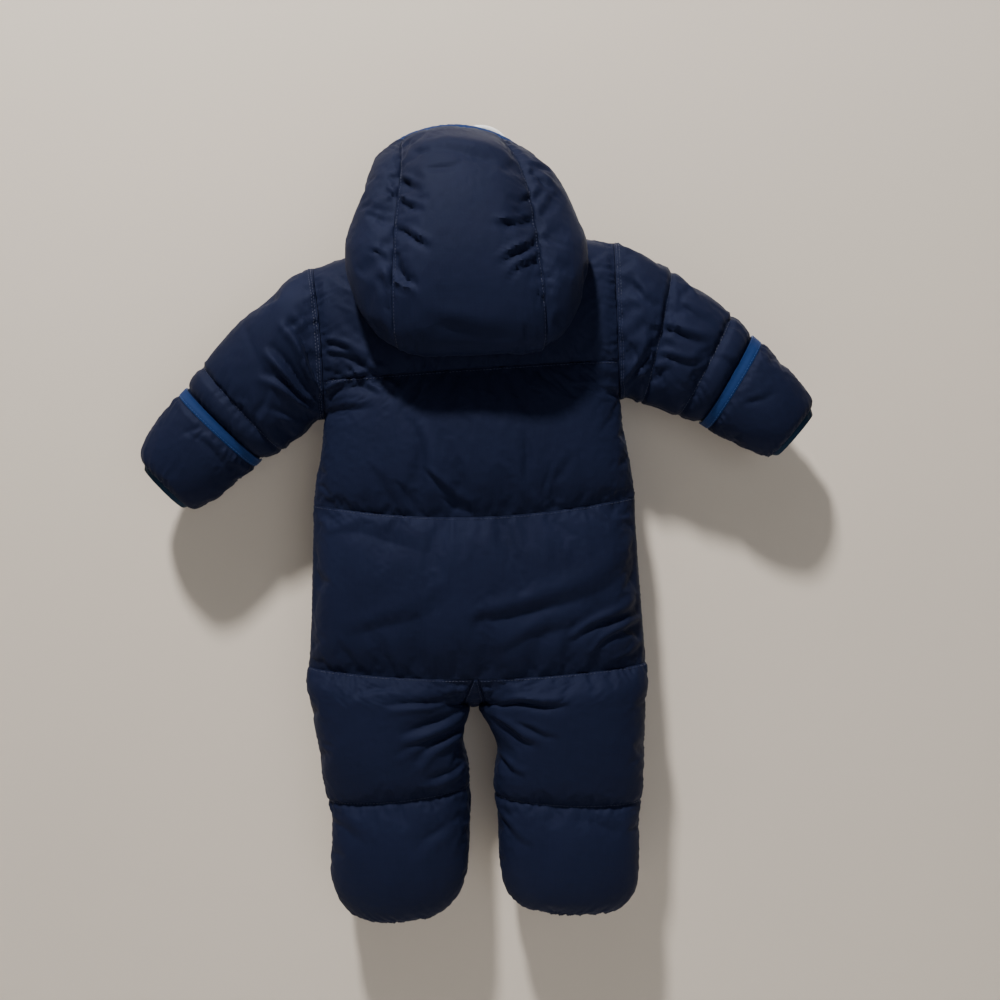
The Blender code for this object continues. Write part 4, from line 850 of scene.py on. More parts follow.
@dataclass
class Gathers:
    """Short folds that run away from a seam where its thread draws the cloth in."""

    amount: float = 1.1
    reach: float = 12.0
    seed: int = 5
    waves: int = 6
    lengths: tuple[float, float] = (8.0, 25.0)
    slant: float = 0.45
    crest: float = 0.9
    deepest: float = 2.4
    uneven_lengths: tuple[float, float] = (60.0, 110.0)
    reach_length: float = 37.0
    reach_share: tuple[float, float] = (0.75, 0.35)     # of the reach: its mean and its swing
    height_share: tuple[float, float] = (0.35, 0.65)    # of the height: what is even and what isn't
    clear: float = 2.2           # how far from the seam the gathers reach their height

    def relief(self, cloth: Cloth, lines: Sequence[float]) -> Grid:
        """How far the gathers move each point of a piece out of the cloth.

        Args:
            cloth: The piece.
            lines: The coarse rows of its quilting lines.

        Returns:
            The move of each point.
        """
        rng = np.random.default_rng(self.seed)
        down, along = cloth.run_down(), cloth.run_across()
        move = np.zeros(down.shape)
        edges = [(down, along), (down[-1] - down, along)]
        if not cloth.closed:
            edges += [(along, down), (along[:, -1:] - along, down)]
        edges += [(np.abs(down - down[cloth.row_of(line)]), along) for line in lines]
        for away, run in edges:
            wave = np.zeros(down.shape)
            for length in rng.uniform(*self.lengths, self.waves):
                slant = rng.uniform(-self.slant, self.slant)
                wave += np.sin(2 * np.pi * (run + slant * away) / length + rng.uniform(0, ANY_PHASE))
            fold = self.crest - np.minimum(np.abs(wave), self.deepest)
            period = rng.uniform(*self.uneven_lengths)
            uneven = 0.5 + 0.5 * np.sin(2 * np.pi * run / period + rng.uniform(0, ANY_PHASE))
            swing = np.sin(2 * np.pi * run / self.reach_length + rng.uniform(0, ANY_PHASE))
            reach = self.reach * (self.reach_share[0] + self.reach_share[1] * swing)
            fade = np.exp(-away / reach) * np.clip(away / self.clear, 0.0, 1.0)
            height = self.amount * (self.height_share[0] + self.height_share[1] * uneven)
            move += height * fold * fade
        return move


# ---------------------------------------------------------------- legs and gusset

@dataclass
class LegCut:
    """The cut of one leg, front and back, from the second waist seam to the elastic hem."""

    body: BodyCut
    left: bool
    columns: int = 10
    crotch_row: int = 3
    seam_row: int = 7
    puff: float = 8.0
    # outer_z, inner_z, outer_x, inner_x, back, front, closing
    left_rows: tuple[tuple[float, ...], ...] = (
        (-532.0, -540.0, -169.0, -5.5, 40.0, 36.0, 0.0),
        (-548.0, -553.0, -169.0, -12.0, 40.0, 36.0, 0.5),
        (-557.0, -563.0, -167.5, -16.0, 40.0, 36.0, 0.75),
        (-568.0, -571.0, -165.0, -13.5, 39.0, 36.0, 1.0),
        (-588.0, -588.0, -161.0, -17.5, 38.0, 36.0, 1.0),
        (-612.0, -609.0, -156.0, -20.0, 37.0, 35.0, 1.0),
        (-638.0, -630.0, -153.0, -15.0, 36.0, 34.0, 1.0),
        (-664.0, -651.0, -148.0, -13.0, 34.0, 32.0, 1.0),
        (-682.0, -674.0, -144.0, -13.0, 35.0, 33.0, 1.0),
        (-708.0, -702.0, -143.0, -14.0, 36.0, 34.0, 1.0),
        (-734.0, -731.0, -143.0, -16.0, 35.0, 33.0, 1.0),
        (-755.0, -752.0, -137.0, -23.0, 32.0, 30.0, 1.0),
        (-770.0, -767.0, -127.0, -35.0, 27.0, 25.0, 1.0),
        (-776.0, -774.0, -117.0, -46.0, 22.0, 20.0, 1.0),
    )
    right_rows: tuple[tuple[float, ...], ...] = (
        (-528.0, -540.0, 163.0, -0.5, 40.0, 36.0, 0.0),
        (-546.0, -553.0, 164.0, 3.0, 40.0, 36.0, 0.5),
        (-556.0, -563.0, 163.0, 5.0, 40.0, 36.0, 0.75),
        (-567.0, -571.0, 162.0, 2.0, 39.0, 36.0, 1.0),
        (-588.0, -588.0, 161.0, 11.0, 38.0, 36.0, 1.0),
        (-612.0, -612.0, 160.0, 20.0, 37.0, 35.0, 1.0),
        (-638.0, -638.0, 160.0, 17.0, 36.0, 34.0, 1.0),
        (-664.0, -659.0, 158.0, 17.0, 34.0, 32.0, 1.0),
        (-682.0, -678.0, 155.0, 20.0, 35.0, 33.0, 1.0),
        (-708.0, -704.0, 154.0, 22.0, 36.0, 34.0, 1.0),
        (-732.0, -729.0, 153.0, 24.0, 35.0, 33.0, 1.0),
        (-751.0, -749.0, 150.0, 29.0, 32.0, 30.0, 1.0),
        (-763.0, -761.0, 142.0, 38.0, 27.0, 25.0, 1.0),
        (-769.0, -767.0, 133.0, 48.0, 22.0, 20.0, 1.0),
    )

    @property
    def rows(self) -> tuple[tuple[float, ...], ...]:
        """The table of this leg."""
        return self.left_rows if self.left else self.right_rows

    @property
    def inward(self) -> float:
        """The sign of the way towards the other leg."""
        return 1.0 if self.left else -1.0

    def section(self, index: int, share: float, front: bool) -> Vector:
        """A point of the inner face.

        Args:
            index: The row.
            share: The place round the leg, 0 at the side seam and 1 at the inner edge.
            front: Whether it is on the front.

        Returns:
            The point.
        """
        outer_z, inner_z, outer_x, inner_x, back, fore, closing = self.rows[index]
        end = math.pi / 2 * (1 + closing)
        turn = end * share
        place = (1 - math.cos(turn)) / (1 - math.cos(end))
        y = (fore if front else -back) * max(math.sin(turn), 0.0) ** ROUNDNESS
        sag = 0.0 if closing < 1 else 2.0 * math.sin(math.pi * place)
        return Vector((lerp(outer_x, inner_x, place), y, lerp(outer_z, inner_z, place) - sag))

    def top_row(self, front: bool) -> list[Vector]:
        """The first row, which follows the body's last one."""
        row = self.body.rows
        start, end = self.body.point(row, 0.0, front), self.body.point(row, 1.0, front)
        inner = (self.rows[0][3] - start.x) / (end.x - start.x)
        outer = 0.0 if self.left else 1.0
        shares = [1 - math.cos(math.pi / 2 * j / self.columns) for j in range(self.columns + 1)]
        return [self.body.point(row, lerp(outer, inner, share), front) for share in shares]

    def crotch_normal(self, index: int, front: bool) -> Vector:
        """Normal beside the gusset: out of the body at first, and slanting down below it."""
        closing = self.rows[index][6]
        out = 1.0 if front else -1.0
        return Vector((self.inward * closing ** 2 * 0.9, out * (1 - closing), -closing)).normalized()

    def face(self, front: bool) -> Cut:
        """The coarse grid of the leg's back or front."""
        lines = [self.top_row(front)]
        for i in range(1, len(self.rows)):
            lines.append([self.section(i, j / self.columns, front) for j in range(self.columns + 1)])
        points = np.array(lines)
        normals = grid_normals(points)
        normals[0, :, 2] = 0.0
        normals[0] /= np.linalg.norm(normals[0], axis=1, keepdims=True)
        normals[:, 0] = (-self.inward, 0.0, 0.0)
        normals[:, -1] = (self.inward, 0.0, 0.0)
        for i in range(self.crotch_row + 1):
            normals[i, -1] = self.crotch_normal(i, front)
        return Cut(points, normals)


def gusset_cut(left: LegCut, right: LegCut) -> Cut:
    """The coarse grid of the strip under the crotch, from the back's waist seam to the front's.

    Args:
        left: The left leg.
        right: The right leg.

    Returns:
        The grid.
    """
    points, normals = [], []
    order = [(i, False) for i in range(left.crotch_row + 1)]
    order += [(i, True) for i in range(left.crotch_row - 1, -1, -1)]
    for index, front in order:
        edges = [leg.section(index, 1.0, front) if index else leg.top_row(front)[-1] for leg in (left, right)]
        ways = [leg.crotch_normal(index, front) for leg in (left, right)]
        shares = (0.0, 0.25, 0.5, 0.75, 1.0)
        points.append([edges[0].lerp(edges[1], share) for share in shares])
        normals.append([ways[0].lerp(ways[1], share).normalized() for share in shares])
    return Cut(np.array(points), np.array(normals))


# ---------------------------------------------------------------- sleeves

@dataclass
class SleeveCut:
    """The cut of a sleeve: a tube from the armhole to the cuff, with quilting lines round it."""

    body: BodyCut
    left: bool
    columns: int = SLEEVE_COLUMNS
    band_row: int = 7
    flap_end_row: int = 12
    cuff_row: int = 12
    flap_wrap: int = 1
    puff: float = 7.0
    flap_puff: float = 5.0
    proud: float = 2.4
    lines: tuple[int, ...] = (3, 5)
    # top_x, top_z, low_x, low_z, depth, inset
    left_rows: tuple[tuple[float, ...], ...] = (
        (-190.0, -148.0, -163.0, -289.0, 37.0, 5.0),
        (-213.0, -165.0, -170.0, -296.0, 38.0, 7.0),
        (-234.0, -184.0, -178.0, -304.0, 36.0, 5.5),
        (-256.0, -206.0, -186.0, -311.0, 37.0, 7.5),
        (-276.0, -233.0, -197.0, -319.0, 35.0, 5.0),
        (-285.0, -244.0, -207.0, -324.0, 34.0, 6.0),
        (-293.0, -254.0, -216.0, -329.0, 33.0, 7.5),
        (-300.0, -262.0, -223.5, -335.0, 33.0, 7.5),
        (-314.0, -280.0, -242.0, -350.0, 32.0, 8.5),
        (-325.0, -297.0, -261.0, -366.0, 30.0, 8.5),
        (-334.0, -313.0, -277.0, -375.0, 27.0, 8.5),
        (-336.0, -323.0, -284.0, -377.0, 24.0, 8.5),
        (-337.0, -331.0, -291.0, -379.0, 22.0, 8.5),
    )
    right_rows: tuple[tuple[float, ...], ...] = (
        (151.0, -119.0, 147.0, -266.5, 37.0, 5.0),
        (171.0, -128.0, 153.0, -269.5, 38.0, 7.0),
        (190.0, -138.0, 161.0, -273.0, 36.0, 5.5),
        (220.0, -157.0, 177.0, -278.0, 37.0, 7.5),
        (250.0, -182.0, 197.0, -285.0, 35.0, 5.0),
        (261.0, -192.0, 208.0, -289.0, 34.0, 6.0),
        (271.0, -201.0, 218.0, -293.0, 33.0, 7.5),
        (279.5, -209.0, 227.0, -298.0, 33.0, 7.5),
        (297.0, -228.0, 246.0, -308.0, 32.0, 8.5),
        (312.0, -244.0, 263.0, -316.0, 30.0, 8.5),
        (325.0, -260.0, 279.0, -323.0, 27.0, 8.5),
        (331.0, -269.0, 286.0, -326.0, 24.0, 8.5),
        (334.0, -277.0, 292.0, -327.0, 22.0, 8.5),
    )

    @property
    def armhole(self) -> Armhole:
        """The armhole that the sleeve is sewn into."""
        return self.body.left if self.left else self.body.right

    def turn(self, column: int) -> float:
        """The angle of a column, so that the first ring meets every row of the armhole's edge."""
        if column <= self.body.armhole_rows:
            return self.body.armhole_angle(column)
        return 2 * math.pi - self.body.armhole_angle(self.columns - column)

    def section(self, row: tuple[float, ...]) -> list[Vector]:
        """One section, as a loop of points from its upper edge round the back."""
        top_x, top_z, low_x, low_z, depth, inset = row
        top, low = Vector((top_x, 0, top_z)), Vector((low_x, 0, low_z))
        centre, half = (top + low) / 2, (top - low) / 2
        half -= half.normalized() * inset
        loop = []
        for j in range(self.columns):
            turn = self.turn(j)
            side = -1.0 if math.sin(turn) >= 0 else 1.0
            reach = side * (depth - inset + SHELL) * abs(math.sin(turn)) ** self.armhole.power
            loop.append(centre + half * math.cos(turn) + Vector((0, reach, 0)))
        return loop

    def tube(self) -> Cut:
        """The coarse grid of the whole sleeve, from the armhole to the open end."""
        turns = [self.turn(j) for j in range(self.columns)]
        lines = [[self.armhole.point(turn) for turn in turns]]
        lines += [self.section(row) for row in (self.left_rows if self.left else self.right_rows)]
        points = np.array(lines)
        normals = grid_normals(points, closed=True)
        normals[0] = [self.armhole.normal(turn) for turn in turns]
        return Cut(points, normals, True)

    def roundness(self, columns: np.ndarray) -> np.ndarray:
        """How far a channel may swell at each column: least at the upper and lower edge."""
        count = self.columns
        turns = np.array([self.turn(j) for j in range(count + 1)])
        turns[-1] = 2 * math.pi
        angles = np.interp(np.mod(columns, count), np.arange(count + 1), turns)
        return np.abs(np.sin(angles)) ** 0.7

    def outside(self, cut: Cut) -> Cut:
        """The sleeve's outer face on its coarse grid, which the mitt flap lies on."""
        down = np.vstack((np.zeros((1, self.columns)),
                          np.cumsum(np.linalg.norm(np.diff(cut.points, axis=0), axis=2), axis=0)))
        full = np.zeros(down.shape)
        seams = (0, *self.lines, self.band_row)
        for first, last in zip(seams, seams[1:]):
            full[first:last + 1] = pillow((down[first:last + 1] - down[first]) / (down[last] - down[first]))
        swell = self.roundness(np.arange(self.columns))
        lie = cut.points + cut.normals * (SHELL + self.puff * full * swell + SEAM_GAP)[..., None]
        return Cut(lie, cut.normals, True)


# ---------------------------------------------------------------- hood

@dataclass
class HoodCut:
    """The cut of the hood: a centre strip between two sides, in hoops that fan from the front of the neck."""

    body: BodyCut
    columns: int = 24
    strip_columns: int = 8
    strip_share: float = 0.64
    end_x: float = 19.0
    end_centre: float = -16.5
    end_y: float = 25.0
    roundness: float = 0.8
    flare: float = 3.0
    tilt: float = 4.5
    clearance: float = 0.6
    rest_clearance: float = 0.9
    middle_z: float = -200.0
    passes: int = 8
    neck_turn: float = math.radians(72.0)
    puff: float = 7.0
    # middle_y, middle_z, centre_x, half_width, end_z, puff, fall, square, hem_share
    hoops: tuple[tuple[float, ...], ...] = (
        (-14.0, -6.5, -30.0, 70.0, -84.0, 0.0, 0.62, 1.0, 0.0),
        (-22.0, -8.0, -29.0, 73.0, -90.0, 0.0, 0.62, 1.0, 0.0),
        (-42.0, -21.0, -26.0, 79.0, -93.0, 0.6, 0.65, 1.0, 0.0),
        (-65.0, -43.0, -19.0, 85.0, -95.0, 1.0, 0.70, 1.0, 0.0),
        (-81.0, -76.0, -14.0, 93.0, -97.0, 1.0, 0.85, 0.9, 0.0),
        (-91.0, -114.0, -12.0, 100.0, -99.0, 1.0, 1.1, 0.8, 0.0),
        (-96.0, -152.0, -9.5, 104.0, -101.0, 1.0, 1.5, 0.62, 0.0),
        (-94.0, -192.0, -8.0, 105.0, -103.0, 0.9, 1.8, 0.48, 0.0),
        (-84.0, -224.0, -7.0, 105.0, -105.0, 0.6, 2.0, 0.38, 0.0),
        (-69.0, -227.0, -7.0, 97.0, -107.0, 0.2, 2.2, 0.4, 0.0),
        (-58.0, -194.0, -10.0, 86.0, -110.0, 0.0, 2.2, 0.6, 0.0),
        (-53.0, -160.0, -12.0, 79.0, -113.0, 0.0, 2.2, 0.8, 0.1),
        (-50.0, -132.0, -14.0, 74.0, -116.0, 0.0, 2.2, 1.0, 0.35),
        (-44.0, -110.0, -16.0, 70.0, -120.0, 0.0, 2.0, 1.0, 0.7),
        (-30.0, -102.0, -16.5, 66.0, -125.0, 0.0, 2.0, 1.0, 1.0),
    )

    def neck_edge(self, share: float) -> Vector:
        """A point above the neck's edge, from beside the zip round the back to beside the zip again."""
        body = self.body
        turn = lerp(-self.neck_turn, math.pi + self.neck_turn, share)
        start = body.across(0, body.shoulder_columns / body.columns)
        place = lerp(start, 1 - start, (1 - math.cos(turn)) / 2)
        y, z = body.neck_point(place, math.sin(turn) < 0)
        x = lerp(body.left.top_x, body.right.top_x, place)
        return Vector((x, y, z + 2 * SHELL + self.clearance))

    def width(self, square: float, turn: float, narrowest: float) -> float:
        """Half of a hoop's width at an angle round it, as a share of its flare."""
        rise = max(math.sin(turn), 0.0)
        return abs(math.cos(turn)) ** square * (1 - (1 - narrowest) * (1 - rise) ** self.flare)

    def turns(self, square: float, peak: float) -> list[float]:
        """The angle of each column round a hoop; the centre strip lies between the two seams' angles."""
        count = self.strip_columns
        seam = math.acos((self.strip_share * peak) ** (1 / square))
        sides = [seam * j / count for j in range(count)]
        strip = [lerp(seam, math.pi - seam, j / count) for j in range(count + 1)]
        return sides + strip + [math.pi - turn for turn in reversed(sides)]

    def hoop(self, row: tuple[float, ...]) -> list[Vector]:
        """One hoop, from its left front end, round the centre strip, to its right front end."""
        middle_y, middle_z, centre_x, half_width, end_z, _, fall, square, hem_share = row
        peak = max(self.width(square, math.pi * j / self.columns, 0.2) for j in range(self.columns + 1))
        turns = self.turns(square, peak)
        line = []
        for j, turn in enumerate(turns):
            rise = max(math.sin(turn), 0.0)
            side = -1.0 if j < self.columns / 2 else 1.0
            share = self.width(square, turn, self.end_x * peak / half_width) / peak
            x = lerp(self.end_centre, centre_x, rise) + side * half_width * share
            y = lerp(self.end_y, middle_y, rise ** self.roundness)
            tilted = end_z + self.tilt * lerp(-1.0, 1.0, j / self.columns)
            point = Vector((x, y, lerp(tilted, middle_z, rise ** fall)))
            line.append(point.lerp(self.neck_edge(j / self.columns), hem_share))
        return line

    def thickness(self, rows: np.ndarray, columns: np.ndarray) -> Grid:
        """Thickness of the hood, full in the middle of each of its three pieces."""
        puffs = np.interp(rows, np.arange(len(self.hoops)), [row[5] for row in self.hoops])
        strip = np.mod(columns, self.strip_columns) / self.strip_columns
        return SHELL + self.puff * puffs[:, None] * np.sin(np.pi * strip[None]).clip(0) ** 0.5

    def lay(self, tree: BVHTree) -> Cut:
        """The coarse grid, lifted where its outer face would come too near to the body.

        Args:
            tree: The body's outer surface.

        Returns:
            The grid.
        """
        points = np.array([self.hoop(row) for row in self.hoops])
        thickness = self.thickness(np.arange(len(points)), np.arange(self.columns + 1))
        shares = np.linspace(0, 1, 4)
        for _ in range(self.passes):
            outer = points + grid_normals(points) * thickness[..., None]
            lifts = np.zeros(points.shape[:2])
            for i in range(len(points) - 1):
                for j in range(self.columns):
                    corners = outer[i:i + 2, j:j + 2]
                    lift = max(self.lift(corners[0, 0] * (1 - a) * (1 - b) + corners[1, 0] * a * (1 - b)
                                         + corners[0, 1] * (1 - a) * b + corners[1, 1] * a * b, tree)
                               for a in shares for b in shares)
                    lifts[i:i + 2, j:j + 2] = np.maximum(lifts[i:i + 2, j:j + 2], lift)
            away = points - np.array((0.0, 0.0, self.middle_z))
            away[..., 0] = 0.0
            away /= np.linalg.norm(away, axis=2, keepdims=True)
            points = points + away * lifts[..., None]
        return Cut(points, grid_normals(points))

    def lift(self, point: np.ndarray, tree: BVHTree) -> float:
        """How far a point has to move away from the body's middle line to lie clear of the body."""
        reach = Vector((0.0, point[1], point[2] - self.middle_z))
        hit = tree.ray_cast(Vector((point[0], 0.0, self.middle_z)), reach.normalized())
        return 0.0 if hit[0] is None else max(hit[3] + self.rest_clearance - reach.length, 0.0)


def surface_tree(grids: Sequence[tuple[Grid, bool]]) -> BVHTree:
    """A search tree over the faces of some grids.

    Args:
        grids: The grids, each with whether its faces are turned round.

    Returns:
        The tree.
    """
    corners, faces = [], []
    for grid, turned in grids:
        start, columns = len(corners), grid.shape[1]
        corners += [Vector(point) for point in grid.reshape(-1, 3)]
        for i in range(len(grid) - 1):
            for j in range(columns - 1):
                first = start + i * columns + j
                face = (first, first + 1, first + columns + 1, first + columns)
                faces.append(face[::-1] if turned else face)
    return BVHTree.FromPolygons(corners, faces)


# ---------------------------------------------------------------- finishes

class Slot(Enum):
    """The record's material slots."""

    SHELL = "shell_cloth"
    BINDING = "binding_cloth"
    TAPE = "zip_tape"
    METAL = "zip_metal"
    PLASTIC = "hanger_plastic"


def new_group(name: str, inputs: dict[str, tuple[str, object]],
              outputs: Sequence[tuple[str, str]]) -> Group:
    """An empty shader node group with named sockets.

    Args:
        name: The group's name.
        inputs: Socket types and default values by name.
        outputs: Names and socket types.

    Returns:
        The group with its input and output nodes.
    """
    tree = bpy.data.node_groups.new(name, "ShaderNodeTree")
    for label, (kind, value) in inputs.items():
        socket = tree.interface.new_socket(name=label, in_out="INPUT", socket_type=kind)
        if value is not None:
            socket.default_value = value
    for label, kind in outputs:
        tree.interface.new_socket(name=label, in_out="OUTPUT", socket_type=kind)
    return tree, tree.nodes.new("NodeGroupInput"), tree.nodes.new("NodeGroupOutput")


def math_node(tree: Tree, operation: str, *values: float | Socket) -> Socket:
    """A Math node whose inputs are numbers or sockets.

    Args:
        tree: The node tree.
        operation: The operation.
        values: Numbers or sockets.

    Returns:
        The node's output socket.
    """
    node = tree.nodes.new("ShaderNodeMath")
    node.operation = operation
    for socket, value in zip(node.inputs, values):
        if isinstance(value, (int, float)):
            socket.default_value = value
        else:
            tree.links.new(value, socket)
    return node.outputs[0]


def noise_node(tree: Tree, vector: Socket, scale: float, detail: float, roughness: float = 0.5,
               distortion: float = 0.0) -> Socket:
    """A noise texture.

    Args:
        tree: The node tree.
        vector: The socket that gives the place.
        scale: Its scale.
        detail: Its detail.
        roughness: Its roughness.
        distortion: Its distortion.

    Returns:
        The socket with the noise, from 0 to 1.
    """
    node = tree.nodes.new("ShaderNodeTexNoise")
    node.inputs["Scale"].default_value = scale
    node.inputs["Detail"].default_value = detail
    node.inputs["Roughness"].default_value = roughness
    node.inputs["Distortion"].default_value = distortion
    tree.links.new(vector, node.inputs["Vector"])
    return node.outputs["Fac"]


def scaled_node(tree: Tree, vector: Socket, factors: tuple[float, float, float]) -> Socket:
    """The vector times three factors."""
    node = tree.nodes.new("ShaderNodeVectorMath")
    node.operation = "MULTIPLY"
    node.inputs[1].default_value = factors
    tree.links.new(vector, node.inputs[0])
    return node.outputs[0]


SLUBS = (900.0, 30.0)     # how often the yarns vary across and along them, per metre


def weave_group() -> Tree:
    """A plain weave on a piece's own UV map in metres, with uneven yarns.

    Returns:
        The group, which gives the weave's height and a mask of its slubs.
    """
    tree, entry, leave = new_group("plain_weave", {"UV": ("NodeSocketVector", None),
                                                   "Yarns per metre": ("NodeSocketFloat", 2400.0),
                                                   "Unevenness": ("NodeSocketFloat", 0.3)},
                                   [("Height", "NodeSocketFloat"), ("Slub", "NodeSocketFloat")])
    split = tree.nodes.new("ShaderNodeSeparateXYZ")
    tree.links.new(entry.outputs["UV"], split.inputs[0])
    waves = []
    for axis in ("X", "Y"):
        turns = math_node(tree, "MULTIPLY", split.outputs[axis], entry.outputs["Yarns per metre"])
        waves.append(math_node(tree, "SINE", math_node(tree, "MULTIPLY", turns, math.pi)))
    crossed = math_node(tree, "MULTIPLY", waves[0], waves[1])
    warp, weft = (noise_node(tree, scaled_node(tree, entry.outputs["UV"], (*rates, 1.0)), 1.0, detail=2.0)
                  for rates in (SLUBS, SLUBS[::-1]))
    slub = math_node(tree, "MULTIPLY", math_node(tree, "ADD", warp, weft), 0.5)
    uneven = math_node(tree, "MULTIPLY", slub, entry.outputs["Unevenness"])
    tree.links.new(math_node(tree, "ADD", math_node(tree, "MULTIPLY", crossed, 0.5), uneven),
                   leave.inputs["Height"])
    tree.links.new(slub, leave.inputs["Slub"])
    return tree


CRUMPLE_BEND = 0.045      # how far the small creases wander, in metres
CRUMPLE_EDGE = (3.4, 4.0)       # how narrow their crests are, and how sharp


def crumple_group() -> Tree:
    """Small creases of thin cloth over padding, on Object coordinates.

    Returns:
        The group, which gives the creases' height and a soft mottle.
    """
    tree, entry, leave = new_group("crumple", {"Object": ("NodeSocketVector", None),
                                               "Crease": ("NodeSocketFloat", 1.0),
                                               "Dimple": ("NodeSocketFloat", 1.0)},
                                   [("Height", "NodeSocketFloat"), ("Mottle", "NodeSocketFloat")])
    warped = tree.nodes.new("ShaderNodeTexNoise")
    warped.inputs["Scale"].default_value = 22.0
    warped.inputs["Detail"].default_value = 2.0
    tree.links.new(entry.outputs["Object"], warped.inputs["Vector"])
    bent = tree.nodes.new("ShaderNodeVectorMath")
    bent.operation = "MULTIPLY_ADD"
    bent.inputs[1].default_value = (CRUMPLE_BEND,) * 3
    tree.links.new(warped.outputs["Color"], bent.inputs[0])
    tree.links.new(entry.outputs["Object"], bent.inputs[2])
    drawn = scaled_node(tree, bent.outputs[0], (1.0, 1.0, 0.45))
    ridge = noise_node(tree, drawn, scale=46.0, detail=3.0, roughness=0.5)
    folded = math_node(tree, "ABSOLUTE", math_node(tree, "SUBTRACT", ridge, 0.5))
    fallen = math_node(tree, "SUBTRACT", 1.0, math_node(tree, "MULTIPLY", folded, CRUMPLE_EDGE[0]))
    sharp = math_node(tree, "POWER", fallen, CRUMPLE_EDGE[1])
    dimple = noise_node(tree, bent.outputs[0], scale=150.0, detail=3.0, roughness=0.55)
    height = math_node(tree, "ADD", math_node(tree, "MULTIPLY", sharp, entry.outputs["Crease"]),
                       math_node(tree, "MULTIPLY", dimple, entry.outputs["Dimple"]))
    tree.links.new(height, leave.inputs["Height"])
    mottle = noise_node(tree, entry.outputs["Object"], scale=9.0, detail=4.0, roughness=0.6)
    tree.links.new(mottle, leave.inputs["Mottle"])
    return tree


def group_of(name: str, make: Callable[[], Tree]) -> Tree:
    """The node group of that name, made on first use."""
    return bpy.data.node_groups.get(name) or make()


@dataclass(frozen=True)
class Finish:
    """The shared start of every finish: a named material with one Principled shader."""

    name: str
    colour: tuple[float, float, float]
    roughness: float

    def material(self) -> bpy.types.Material:
        """The finish's material, made on first use."""
        found = bpy.data.materials.get(self.name)
        if found is None:
            found = bpy.data.materials.new(self.name)
            found.use_nodes = True
            found.diffuse_color = (*self.colour, 1.0)
            self.dress(found.node_tree, found.node_tree.nodes["Principled BSDF"])
        return found

    def dress(self, tree: Tree, shader: bpy.types.Node) -> None:
        """Set the shader's values and build its nodes.

        Args:
            tree: The material's node tree.
            shader: Its Principled shader.
        """
        shader.inputs["Base Color"].default_value = (*self.colour, 1.0)
        shader.inputs["Roughness"].default_value = self.roughness

    def varied(self, tree: Tree, shader: bpy.types.Node, mask: Socket, dark: float, light: float,
               rough: float) -> None:
        """Vary colour and roughness by a mask.

        Args:
            tree: The material's node tree.
            shader: Its shader.
            mask: The socket with the mask, from 0 to 1.
            dark: Factor of the colour where the mask is 0.3.
            light: Factor of the colour where it is 0.7.
            rough: How far the roughness changes.
        """
        ramp = tree.nodes.new("ShaderNodeValToRGB")
        for element, place, factor in zip(ramp.color_ramp.elements, (0.3, 0.7), (dark, light)):
            element.position = place
            element.color = (*(min(part * factor, 1.0) for part in self.colour), 1.0)
        tree.links.new(mask, ramp.inputs[0])
        tree.links.new(ramp.outputs[0], shader.inputs["Base Color"])
        spread_rough = math_node(tree, "MULTIPLY", math_node(tree, "SUBTRACT", mask, 0.5), rough)
        tree.links.new(math_node(tree, "ADD", spread_rough, self.roughness), shader.inputs["Roughness"])

    @staticmethod
    def bumped(tree: Tree, shader: bpy.types.Node,
               heights: Sequence[tuple[Socket, float, float]]) -> None:
        """Chain bump nodes into the shader's normal.

        Args:
            tree: The material's node tree.
            shader: Its shader.
            heights: Sockets with their strength and their height in metres.
        """
        last = None
        for socket, strength, distance in heights:
            bump = tree.nodes.new("ShaderNodeBump")
            bump.inputs["Strength"].default_value = strength
            bump.inputs["Distance"].default_value = distance
            tree.links.new(socket, bump.inputs["Height"])
            if last is not None:
                tree.links.new(last.outputs["Normal"], bump.inputs["Normal"])
            last = bump
        tree.links.new(last.outputs["Normal"], shader.inputs["Normal"])


@dataclass(frozen=True)
class ClothFinish(Finish):
    """Woven cloth: weave and slubs on the UV map, and fine creases on Object coordinates."""

    yarns: float
    weave_height: float
    crease_height: float
    sheen: float
    sheen_tint: tuple[float, float, float]
    crease: float = 1.0
    dimple: float = 0.5
    gloss: float = 0.5

    def dress(self, tree: Tree, shader: bpy.types.Node) -> None:
        """Build the weave, the creases and the colour variation.

        Args:
            tree: The material's node tree.
            shader: Its Principled shader.
        """
        place = tree.nodes.new("ShaderNodeTexCoord")
        weave = tree.nodes.new("ShaderNodeGroup")
        weave.node_tree = group_of("plain_weave", weave_group)
        weave.inputs["Yarns per metre"].default_value = self.yarns
        tree.links.new(place.outputs["UV"], weave.inputs["UV"])
        crumple = tree.nodes.new("ShaderNodeGroup")
        crumple.node_tree = group_of("crumple", crumple_group)
        crumple.inputs["Crease"].default_value = self.crease
        crumple.inputs["Dimple"].default_value = self.dimple
        tree.links.new(place.outputs["Object"], crumple.inputs["Object"])
        mask = math_node(tree, "ADD", math_node(tree, "MULTIPLY", crumple.outputs["Mottle"], 0.6),
                         math_node(tree, "MULTIPLY", weave.outputs["Slub"], 0.4))
        self.varied(tree, shader, mask, dark=0.80, light=1.28, rough=0.16)
        shader.inputs["Specular IOR Level"].default_value = self.gloss
        shader.inputs["Specular Tint"].default_value = (*self.sheen_tint, 1.0)
        shader.inputs["Sheen Weight"].default_value = self.sheen
        shader.inputs["Sheen Roughness"].default_value = 0.35
        shader.inputs["Sheen Tint"].default_value = (*self.sheen_tint, 1.0)
        self.bumped(tree, shader, [(crumple.outputs["Height"], 1.0, self.crease_height),
                                   (weave.outputs["Height"], 1.0, self.weave_height)])


